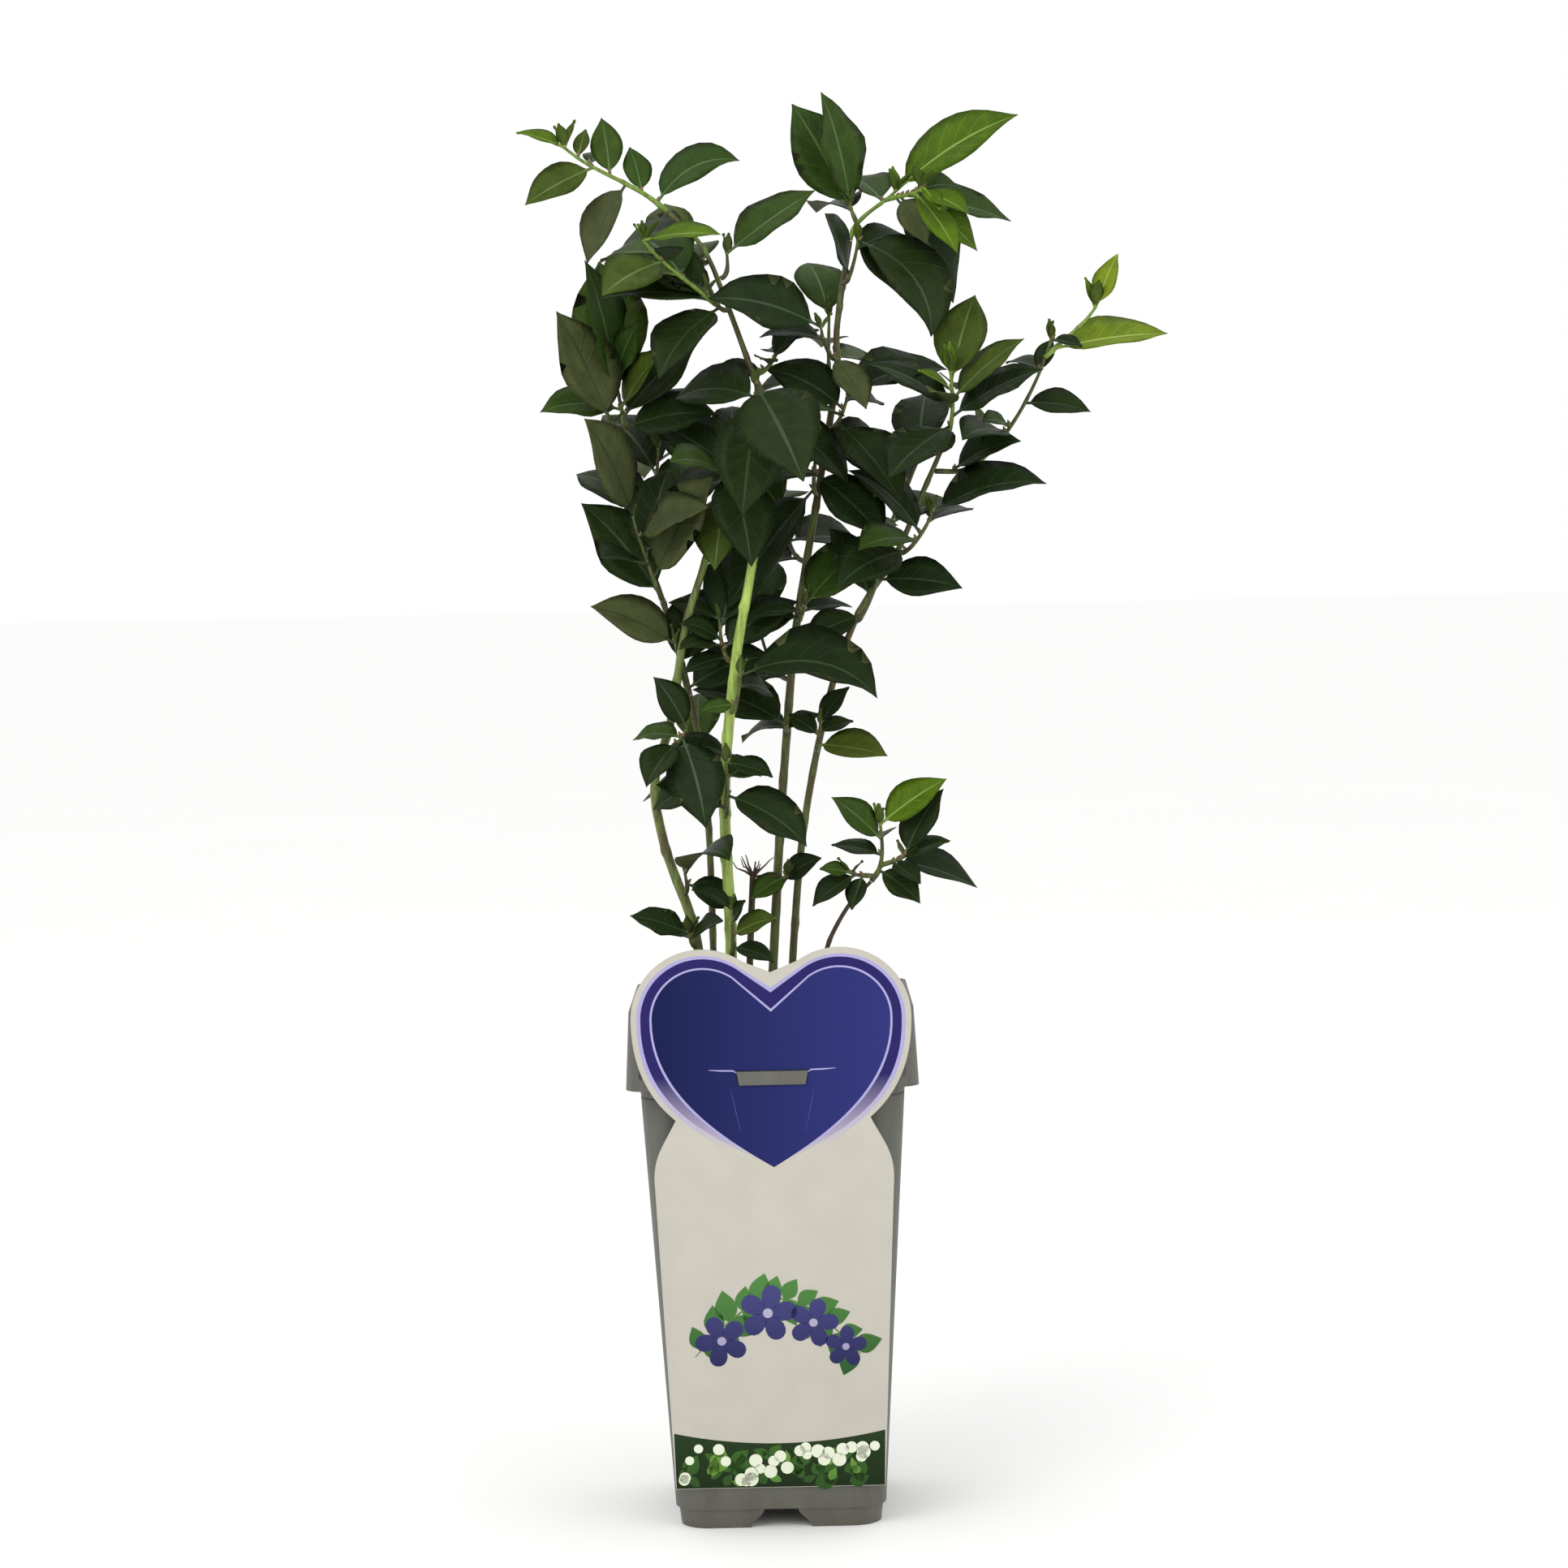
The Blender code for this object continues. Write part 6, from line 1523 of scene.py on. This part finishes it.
def young_bark(name, green, brown, share, bright):
    """Smooth waxy young bark: long streaks of green, reddish patches and small raised dots."""
    material, tree, shader = new_material(name, 0.46)
    shader.inputs["Specular IOR Level"].default_value = 0.35
    place = add_node(tree, "ShaderNodeTexCoord")
    tall = add_node(tree, "ShaderNodeMapping", {"Scale": (1.0, 1.0, 0.14)}, {"Vector": (place, "Object")})
    streak = add_node(tree, "ShaderNodeTexNoise", {"Scale": 1 / (1.6 * MM), "Detail": 4.0},
                      {"Vector": (tall, "Vector")})
    light = tuple(min(1.0, part * bright) for part in green)
    shaded = tuple(part * 0.62 for part in green)
    ramp = add_node(tree, "ShaderNodeValToRGB",
                    {"stops": ((0.3, shaded), (0.5, green), (0.68, light))}, {"Fac": (streak, "Fac")})
    # Brown patches about 12 mm long
    long = add_node(tree, "ShaderNodeMapping", {"Scale": (1.0, 1.0, 0.4)}, {"Vector": (place, "Object")})
    patch = add_node(tree, "ShaderNodeTexNoise", {"Scale": 1 / (5 * MM), "Detail": 5.0, "Roughness": 0.65},
                     {"Vector": (long, "Vector")})
    cover = add_node(tree, "ShaderNodeMapRange", {"From Min": 0.62 - 0.3 * share, "From Max": 0.74 - 0.3 * share,
                                                  "To Max": 0.8}, {"Value": (patch, "Fac")})
    patched = add_node(tree, "ShaderNodeMix", {"data_type": "RGBA", 7: rgba(brown)},
                       {0: (cover, "Result"), 6: (ramp, "Color")})
    # Raised dots about 1 mm apart
    dots = add_node(tree, "ShaderNodeTexVoronoi", {"Scale": 1 / (1.1 * MM)}, {"Vector": (place, "Object")})
    near = add_node(tree, "ShaderNodeMapRange", {"From Min": 0.12, "From Max": 0.26, "To Min": 1.0,
                                                 "To Max": 0.0}, {"Value": (dots, "Distance")})
    dotted = add_node(tree, "ShaderNodeMix", {"data_type": "RGBA", 7: rgba(tuple(part * 0.7 for part in brown))},
                      {6: (patched, 2)})
    tree.links.new(add_node(tree, "ShaderNodeMath", {"operation": "MULTIPLY", 1: 0.45},
                            {0: (near, "Result")}).outputs[0], dotted.inputs[0])
    tree.links.new(dotted.outputs[2], shader.inputs["Base Color"])
    grooves = add_node(tree, "ShaderNodeBump", {"Strength": 0.35, "Distance": 0.3 * MM},
                       {"Height": (streak, "Fac")})
    relief = add_node(tree, "ShaderNodeBump", {"Strength": 0.4, "Distance": 0.2 * MM},
                      {"Height": (near, "Result"), "Normal": (grooves, "Normal")})
    tree.links.new(relief.outputs["Normal"], shader.inputs["Normal"])
    return material


def stem_relief(limb):
    """Swelling of a stem at its old leaf joints, with shallow ridges between them."""
    rule = random.Random(limb.name)
    joints, run = [], 0.018
    while run < 0.5:
        joints.append((run, rule.uniform(0, math.tau)))
        run += rule.uniform(0.016, 0.03)

    def grow(place, out, run, angle):
        size = 1 + 0.05 * math.sin(5 * angle + run * 90) + 0.05 * noise.noise(place / (4 * MM) + out)
        for joint, turn in joints:
            near = math.exp(-((run - joint) / (1.5 * MM)) ** 2)
            if near > 0.01:
                size += near * (0.10 + 0.22 * max(0.0, math.cos(angle - turn)) ** 3)
        return size

    return grow


def build_stems(settings):
    """Every stem and bough with its bark, buds at the joints, and the dry twiglets of the cut one."""
    green, brown = tuple(settings.bark_colour), tuple(settings.old_bark_colour)
    fresh = linear("9ab254")
    barks = {
        "fresh": young_bark("fresh_green_bark", fresh, brown, 0.0, 1.3),
        "green": young_bark("green_bark", green, brown, 0.35, 1.3),
        "olive": young_bark("olive_bark", tuple(part * 0.72 for part in green), brown, 0.7, 1.3),
        "dry": young_bark("dry_brown_bark", brown, tuple(part * 0.5 for part in brown), 0.5, 1.5)}
    for limb in LIMBS:
        path, radii = fine_path(limb)
        piece = ring_tubes(limb.name + "_bark", [(path, radii)], 14, [barks[STEM_BARKS[limb.name]]],
                           stem_relief(limb))
        put_on(piece, "dry_bark" if limb.name == "stem_pruned" else "green_bark", limb.name)
    rule = random.Random("twiglets")
    head = cm(LIMBS[6].points[-1])
    sticks = []
    for spot in range(9):
        bearing, rise = rule.uniform(0, math.tau), rule.uniform(-0.1, 1.1)
        way = Vector((math.cos(bearing) * math.cos(rise), math.sin(bearing) * math.cos(rise), math.sin(rise)))
        length = rule.uniform(5, 12) * MM
        path = [head - Vector((0, 0, 2 * MM)) + way * length * t / 5
                + Vector((0, 0, 1.2 * MM)) * (t / 5) ** 2 * rule.uniform(-1, 1) for t in range(6)]
        sticks.append((path, [0.6 * MM * (1 - 0.14 * t) for t in range(6)]))
    put_on(ring_tubes("pruned_stem_twiglets", sticks, 6, [barks["dry"]]), "dry_bark")


# ---------------------------------------------------------------- leaves

def blade_rows(spine, half_width, thickness, rule):
    """Places, and shares along and across, of a fine leaf's rings: six on top and three below."""
    wave = rule.uniform(0.03, 0.09) * half_width
    waves = rule.uniform(1.0, 2.2)
    phase = rule.uniform(0, math.tau)
    fold = math.tan(math.radians(rule.uniform(9, 21)))
    curl = rule.uniform(0.0, 0.12)
    stalk = PETIOLE_RADIUS * 0.85
    verts, marks = [], []
    for part, blade in [(t, 0.0) for t in STALK_STATIONS] + [
            (PETIOLE_PART + p * (1 - PETIOLE_PART), p) for p in BLADE_STATIONS]:
        spot = part * LEAF_STEPS
        index = min(int(spot), LEAF_STEPS - 1)
        blend = spot - index
        place, _, side, face = (spine[index][k].lerp(spine[index + 1][k], blend) for k in range(4))
        width = half_width * fine_width(blade)
        if width < stalk:
            for k in range(6):
                angle = math.pi * (1 - k / 5)
                verts.append(place + (side * math.cos(angle) + face * math.sin(angle)) * stalk)
            for angle in (-0.25, -0.5, -0.75):
                verts.append(place + (side * math.cos(math.pi * angle)
                                      + face * math.sin(math.pi * angle)) * stalk)
            marks += [(blade, 0.5)] * 9
            continue
        rib = max(0.045, 0.8 * stalk * (1 - blade) ** 2 / width)
        taper = min(1.0, width / half_width * 1.5)
        for u in (-1.0, -0.55, -rib, rib, 0.55, 1.0):
            far = abs(u)
            sway = wave * math.sin(math.tau * waves * blade + phase + (1.6 if u > 0 else 0)) * far * far
            lift = fold * width * (far ** 1.25 - curl * far ** 4) + sway * taper
            half = thickness / 2 * (1 - far ** 3) - (0.35 * thickness if far == rib else 0.0)
            verts.append(place + side * width * u + face * (lift + half))
            marks.append((blade, 0.5 + 0.5 * u))
        for u in (0.5, 0.0, -0.5):
            far = abs(u)
            sway = wave * math.sin(math.tau * waves * blade + phase + (1.6 if u > 0 else 0)) * far * far
            lift = fold * width * (far ** 1.25 - curl * far ** 4) + sway * taper
            low = thickness / 2 + (stalk * 0.9 * (1 - blade) if u == 0.0 else 0.0)
            verts.append(place + side * width * u + face * (lift - low))
            marks.append((blade, 0.5 + 0.5 * u))
    verts.append(spine[-1][0])
    marks.append((1.0, 0.5))
    return verts, marks


def fine_width(part):
    """Half width of a fine blade along it, rounder at its foot and more pointed than the source's."""
    return max(0.0, math.sin(math.pi * part ** 0.8)) ** (0.75 + 0.4 * part)


def leaf_faces():
    """Faces of one fine leaf and which part of it each is: 0 top, 1 underside, 2 midrib and stalk."""
    rings = len(STALK_STATIONS) + len(BLADE_STATIONS)
    faces, kinds = [(8, 7, 6, 5, 4, 3, 2, 1, 0)], [2]
    ring_kind = (0, 0, 2, 0, 0, 1, 1, 1, 1)
    for ring in range(rings - 1):
        for corner in range(9):
            a, b = ring * 9 + corner, ring * 9 + (corner + 1) % 9
            faces.append((a, a + 9, b + 9, b)[::-1])
            kinds.append(2 if ring < len(STALK_STATIONS) else ring_kind[corner])
    last = (rings - 1) * 9
    tip = rings * 9
    for corner in range(9):
        faces.append((last + corner, last + (corner + 1) % 9, tip))
        kinds.append(ring_kind[corner])
    return faces, kinds


def blade_material(name, colour, vein, roughness, gloss, vein_share):
    """Waxy leaf skin: blotched base colour, paler side veins and a quilted relief between them."""
    material, tree, shader = new_material(name, roughness)
    shader.inputs["Specular IOR Level"].default_value = gloss
    place = add_node(tree, "ShaderNodeTexCoord")
    blotch = add_node(tree, "ShaderNodeTexNoise", {"Scale": 1 / (7 * MM), "Detail": 4.0, "Roughness": 0.6},
                      {"Vector": (place, "Object")})
    dark = tuple(part * 0.74 for part in colour)
    light = tuple(min(1.0, part * 1.28) for part in colour)
    ramp = add_node(tree, "ShaderNodeValToRGB", {"stops": ((0.3, dark), (0.5, colour), (0.72, light))},
                    {"Fac": (blotch, "Fac")})
    # Side veins leave the midrib about seven to a side and lean towards the tip
    parts = add_node(tree, "ShaderNodeSeparateXYZ", None, {"Vector": (place, "UV")})
    across = add_node(tree, "ShaderNodeMath", {"operation": "SUBTRACT", 1: 0.5}, {0: (parts, "Y")})
    away = add_node(tree, "ShaderNodeMath", {"operation": "ABSOLUTE"}, {0: (across, 0)})
    lean = add_node(tree, "ShaderNodeMath", {"operation": "MULTIPLY_ADD", 1: -0.5}, {0: (away, 0),
                                                                                  2: (parts, "X")})
    count = add_node(tree, "ShaderNodeMath", {"operation": "MULTIPLY", 1: 7.0}, {0: (lean, 0)})
    fold = add_node(tree, "ShaderNodeMath", {"operation": "PINGPONG", 1: 0.5}, {0: (count, 0)})
    line = add_node(tree, "ShaderNodeMapRange", {"From Min": 0.02, "From Max": 0.09, "To Min": 1.0,
                                                 "To Max": 0.0}, {"Value": (fold, 0)})
    # Net of small veins, cells about 1.4 mm
    net = add_node(tree, "ShaderNodeTexVoronoi", {"Scale": 1 / (1.4 * MM), "feature": "DISTANCE_TO_EDGE"},
                   {"Vector": (place, "Object")})
    mesh_line = add_node(tree, "ShaderNodeMapRange", {"From Min": 0.0, "From Max": 0.12, "To Min": 0.35,
                                                      "To Max": 0.0}, {"Value": (net, "Distance")})
    both = add_node(tree, "ShaderNodeMath", {"operation": "MAXIMUM"}, {0: (line, 0), 1: (mesh_line, 0)})
    faint = add_node(tree, "ShaderNodeMath", {"operation": "MULTIPLY", 1: vein_share}, {0: (both, 0)})
    veined = add_node(tree, "ShaderNodeMix", {"data_type": "RGBA", 7: rgba(vein)},
                      {0: (faint, 0), 6: (ramp, "Color")})
    tree.links.new(veined.outputs[2], shader.inputs["Base Color"])
    quilt = add_node(tree, "ShaderNodeBump", {"Strength": 0.5, "Distance": 0.35 * MM, "invert": True},
                     {"Height": (line, 0)})
    relief = add_node(tree, "ShaderNodeBump", {"Strength": 0.3, "Distance": 0.15 * MM, "invert": True},
                      {"Height": (mesh_line, 0), "Normal": (quilt, "Normal")})
    tree.links.new(relief.outputs["Normal"], shader.inputs["Normal"])
    return material


def tip_leaves(shoot, path, youth):
    """Small unopened leaves at the end of a shoot."""
    rule = random.Random(shoot.name + "_tip")
    way = (path[-1] - path[-2]).normalized()
    bearing = math.degrees(math.atan2(way.y, way.x))
    rise = math.degrees(math.asin(max(-1.0, min(1.0, way.z))))
    small = []
    for spot in range(2 + (youth > 0.5) * 2):
        length = rule.uniform(5, 9) * MM * (1 + 0.5 * youth)
        turn = bearing + DIVERGENCE * spot + rule.uniform(-20, 20)
        lift = max(-30.0, min(80.0, rise * 0.6 + rule.uniform(15, 45)))
        spine = leaf_spine(path[-1] - way * 0.5 * MM, turn, lift, rule.uniform(-10, 20),
                           rule.uniform(-0.4, 0.4), length)
        small.append((spine, length * rule.uniform(0.16, 0.24), youth, "b" if youth > 0.5 else "o"))
    return small


def build_crown(settings):
    """All twigs, axil buds and leaves, grown by the source's rule and joined by kind."""
    scratch = bpy.data.collections.new("growing")
    bpy.context.scene.collection.children.link(scratch)
    limbs, parents = make_limbs(scratch)
    twigs, leaves = grow_crown(limbs, parents, scratch)
    for piece in list(scratch.objects):
        bpy.data.objects.remove(piece)
    bpy.data.collections.remove(scratch)

    skins = {}
    lower = tuple(settings.under_colour)
    shades = {"d": (settings.dark_colour, "2c401a", 0.46, 0.12), "m": (settings.middle_colour, "486329", 0.48, 0.10),
              "g": (settings.dark_colour, "2c401a", 0.48, 0.10), "o": (settings.olive_colour, "5f7430", 0.5, 0.10),
              "b": (settings.young_colour, "7a9a34", 0.5, 0.10), "y": (settings.newest_colour, "a0b44c", 0.5, 0.10)}
    for tone, (colour, vein, roughness, gloss) in shades.items():
        name = LEAF_KINDS[tone]
        tops = [blade_material("leaf_skin_%s_%d" % (name, step),
                               tuple(part * share for part, share in zip(colour, tint)),
                               linear(vein), roughness, gloss, 0.28)
                for step, tint in enumerate(((1.0, 1.0, 1.0), (0.82, 0.86, 0.85), (1.22, 1.12, 1.0)))]
        below = lower if tone in "dmg" else tuple(0.5 * a + 0.5 * b for a, b in zip(lower, colour))
        under = blade_material("leaf_back_" + name, below, tuple(part * 1.25 for part in below), 0.66, 0.12, 0.5)
        rib_colour = linear(vein)
        rib = mottled("leaf_rib_" + name, ((0.3, tuple(part * 0.8 for part in rib_colour)),
                                           (0.7, rib_colour)), 3 * MM, 0.5, 0.1, 0.5 * MM)
        skins[tone] = tops + [under, rib]

    template, kinds = leaf_faces()
    template_kinds = np.array(kinds)
    groups = {}
    for shoot in SHOOTS:
        path = parents[shoot.name][0]
        grown = leaves[shoot.name] + tip_leaves(shoot, path, shoot.youth)
        for spine, half_width, youth, tone in grown:
            groups.setdefault(tone, []).append((spine, half_width, shoot.mass))
    for tone, members in groups.items():
        rule = random.Random("blades_" + tone)
        verts, faces, marks, slots, masses = [], [], [], [], set()
        for spine, half_width, mass in members:
            thickness = settings.leaf_thickness * min(1.0, half_width / (4 * MM) + 0.3)
            places, mark = blade_rows(spine, half_width, thickness, rule)
            first = len(verts)
            verts += places
            marks += mark
            faces += [tuple(first + corner for corner in face) for face in template]
            shade = rule.choice((0, 0, 1, 2))
            part_slots = (3, shade, 4) if tone == "g" else (shade, 3, 4)
            slots += [part_slots[kind] for kind in kinds]
            masses.add(mass)
        piece = mesh_piece("leaves_" + LEAF_KINDS[tone], verts, faces, skins[tone], slots)
        layer = piece.data.uv_layers.new(name="blade")
        spots = np.array(marks, dtype=np.float32)
        corner_verts = np.zeros(len(piece.data.loops), dtype=np.int32)
        piece.data.loops.foreach_get("vertex_index", corner_verts)
        layer.data.foreach_set("uv", spots[corner_verts].ravel())
        put_on(piece, "leaf", *sorted(masses))

    for name, young, bark in (("twigs_green", False, young_bark("twig_bark", linear("525f2a"), linear("43352a"), 0.6, 1.3)),
                              ("twigs_young", True, young_bark("young_twig_bark", linear("6f8a34"), linear("6a5a30"), 0.0, 1.3))):
        tubes, masses = [], set()
        for shoot in SHOOTS:
            if (shoot.youth > 0.6) != young:
                continue
            path = smooth_path(parents[shoot.name][0], 5)
            count = len(path)
            radii = [TWIG_RADIUS * 0.92 + (TWIG_TIP_RADIUS * 0.9 - TWIG_RADIUS * 0.92) * step / (count - 1)
                     for step in range(count)]
            tubes.append((path, radii))
            masses.add(shoot.mass)
        piece = ring_tubes(name, tubes, 8, [bark],
                           lambda place, out, run, angle: 1 + 0.16 * max(0.0, math.sin(run * 420)) ** 6
                           + 0.08 * noise.noise(place / (2 * MM)))
        put_on(piece, "leaf", *sorted(masses))

    deselect()
    bpy.ops.mesh.primitive_uv_sphere_add(segments=8, ring_count=6, radius=1)
    seed = bpy.context.object
    ball = [vertex.co.copy() for vertex in seed.data.vertices]
    corners = [tuple(face.vertices) for face in seed.data.polygons]
    bpy.data.objects.remove(seed)
    verts, faces = [], []
    for shoot in SHOOTS:
        for spine, half_width, youth, tone in leaves[shoot.name]:
            way = (spine[1][1] + Vector((0, 0, 1.4))).normalized()
            turn = way.to_track_quat("Z", "Y").to_matrix()
            first = len(verts)
            for spot in ball:
                pinch = 1 - 0.55 * max(0.0, spot.z)
                verts.append(spine[0][0] + way * 1.3 * MM
                             + turn @ Vector((spot.x * pinch * 0.7, spot.y * pinch * 0.7, spot.z * 1.5)) * MM)
            faces += [tuple(first + corner for corner in face) for face in corners]
    scale = mottled("bud_scale", ((0.3, linear("5c4a2c")), (0.7, linear("7d6a3a"))), 1.0 * MM, 0.5, 0.3, 0.4 * MM)
    put_on(mesh_piece("axil_buds", verts, faces, [scale]), "leaf")


# ---------------------------------------------------------------- stage

def soft_light(name, place, aim, size, power):
    """A square soft light that looks at a place."""
    deselect()
    bpy.ops.object.light_add(type="AREA", location=place)
    lamp = bpy.context.object
    lamp.name = name
    lamp.data.shape = "SQUARE"
    lamp.data.size = size
    lamp.data.energy = power
    lamp.rotation_euler = (Vector(aim) - Vector(place)).to_track_quat("-Z", "Y").to_euler()
    return lamp


def build_stage(settings):
    """A plain pale floor, soft studio light and the camera at the photo's angle."""
    paper, tree, shader = new_material("matte_studio_paper", 0.9)
    place = add_node(tree, "ShaderNodeTexCoord")
    cloud = add_node(tree, "ShaderNodeTexNoise", {"Scale": 2.0, "Detail": 2.0}, {"Vector": (place, "Object")})
    floor_colour = tuple(settings.floor_colour)
    ramp = add_node(tree, "ShaderNodeValToRGB",
                    {"stops": ((0.3, tuple(part * 0.99 for part in floor_colour)), (0.7, floor_colour))},
                    {"Fac": (cloud, "Fac")})
    tree.links.new(ramp.outputs["Color"], shader.inputs["Base Color"])
    deselect()
    bpy.ops.mesh.primitive_plane_add(size=60, location=(0, 0, 0))
    floor = bpy.context.object
    floor.name = "floor"
    floor.data.materials.append(paper)

    world = bpy.data.worlds.new("white_room")
    world.use_nodes = True
    back = world.node_tree.nodes["Background"]
    back.inputs["Color"].default_value = (1, 1, 1, 1)
    back.inputs["Strength"].default_value = settings.world_strength
    bpy.context.scene.world = world
    soft_light("key_light", (-1.1, -1.7, 1.9), (0, 0, 0.35), 1.3, settings.key_power)
    soft_light("fill_light", (1.5, -1.5, 0.9), (0, 0, 0.3), 1.4, settings.fill_power)

    deselect()
    bpy.ops.object.camera_add(location=CAMERA_PLACE)
    camera = bpy.context.object
    camera.name = "photo_camera"
    camera.data.sensor_fit = "HORIZONTAL"
    camera.data.sensor_width = SENSOR_WIDTH
    camera.data.lens = FOCAL_PIXELS / PHOTO_WIDTH * SENSOR_WIDTH
    camera.data.clip_end = 200
    look = (Vector(CAMERA_AIM) - Vector(CAMERA_PLACE)).to_track_quat("-Z", "Y").to_matrix()
    roll = Matrix.Rotation(math.radians(-CAMERA_ROLL), 3, "Z")
    camera.rotation_euler = (look @ roll).to_euler()
    bpy.context.scene.camera = camera
    bpy.context.scene.view_settings.view_transform = "Standard"
    bpy.context.scene.view_settings.look = "None"


# ---------------------------------------------------------------- add-on

class BLUEBERRY_OT_pot(bpy.types.Operator):
    """Builds the square nursery pot with its collar, feet and label tab"""
    bl_idname = "blueberry.pot"
    bl_label = "Pot"

    def execute(self, context):
        build_pot(context.scene.blueberry_pot)
        return {"FINISHED"}


class BLUEBERRY_OT_label(bpy.types.Operator):
    """Builds the printed label card on the pot's front"""
    bl_idname = "blueberry.label"
    bl_label = "Label"

    def execute(self, context):
        build_label(context.scene.blueberry_label)
        return {"FINISHED"}


class BLUEBERRY_OT_peat(bpy.types.Operator):
    """Fills the pot with moist peat, crumbs, fibres and perlite"""
    bl_idname = "blueberry.peat"
    bl_label = "Peat"

    def execute(self, context):
        build_peat(context.scene.blueberry_plant)
        return {"FINISHED"}


class BLUEBERRY_OT_stems(bpy.types.Operator):
    """Builds the stems and boughs with their bark"""
    bl_idname = "blueberry.stems"
    bl_label = "Stems"

    def execute(self, context):
        build_stems(context.scene.blueberry_plant)
        return {"FINISHED"}


class BLUEBERRY_OT_crown(bpy.types.Operator):
    """Grows the twigs, buds and leaves"""
    bl_idname = "blueberry.crown"
    bl_label = "Crown"

    def execute(self, context):
        build_crown(context.scene.blueberry_plant)
        return {"FINISHED"}


class BLUEBERRY_OT_stage(bpy.types.Operator):
    """Sets the floor, the light and the camera"""
    bl_idname = "blueberry.stage"
    bl_label = "Stage"

    def execute(self, context):
        build_stage(context.scene.blueberry_stage)
        return {"FINISHED"}


class BLUEBERRY_PT_sidebar(bpy.types.Panel):
    """Lists the settings and the building steps"""
    bl_label = "Potted Blueberry"
    bl_idname = "BLUEBERRY_PT_sidebar"
    bl_space_type = "VIEW_3D"
    bl_region_type = "UI"
    bl_category = "Blueberry"

    def draw(self, context):
        scene = context.scene
        for title, group, steps in (("Pot", scene.blueberry_pot, ("pot",)),
                                    ("Label", scene.blueberry_label, ("label",)),
                                    ("Plant", scene.blueberry_plant, ("peat", "stems", "crown")),
                                    ("Stage", scene.blueberry_stage, ("stage",))):
            box = self.layout.box()
            box.label(text=title)
            for key in group.bl_rna.properties.keys():
                if key not in ("rna_type", "name"):
                    box.prop(group, key)
            for step in steps:
                box.operator("blueberry." + step)


SETTINGS = {"blueberry_pot": BlueberryPotSettings, "blueberry_label": BlueberryLabelSettings,
            "blueberry_plant": BlueberryPlantSettings, "blueberry_stage": BlueberryStageSettings}
CLASSES = (*SETTINGS.values(), BLUEBERRY_OT_pot, BLUEBERRY_OT_label, BLUEBERRY_OT_peat,
           BLUEBERRY_OT_stems, BLUEBERRY_OT_crown, BLUEBERRY_OT_stage, BLUEBERRY_PT_sidebar)


def register():
    """Adds the classes and the settings."""
    for kind in CLASSES:
        bpy.utils.register_class(kind)
    for key, kind in SETTINGS.items():
        setattr(bpy.types.Scene, key, bpy.props.PointerProperty(type=kind))


def unregister():
    """Takes the settings and the classes away again."""
    for key in SETTINGS:
        delattr(bpy.types.Scene, key)
    for kind in reversed(CLASSES):
        bpy.utils.unregister_class(kind)


def main():
    """Builds the whole scene."""
    register()
    bpy.ops.blueberry.pot()
    bpy.ops.blueberry.label()
    bpy.ops.blueberry.peat()
    bpy.ops.blueberry.stems()
    bpy.ops.blueberry.crown()
    bpy.ops.blueberry.stage()


if __name__ == "__main__":
    main()
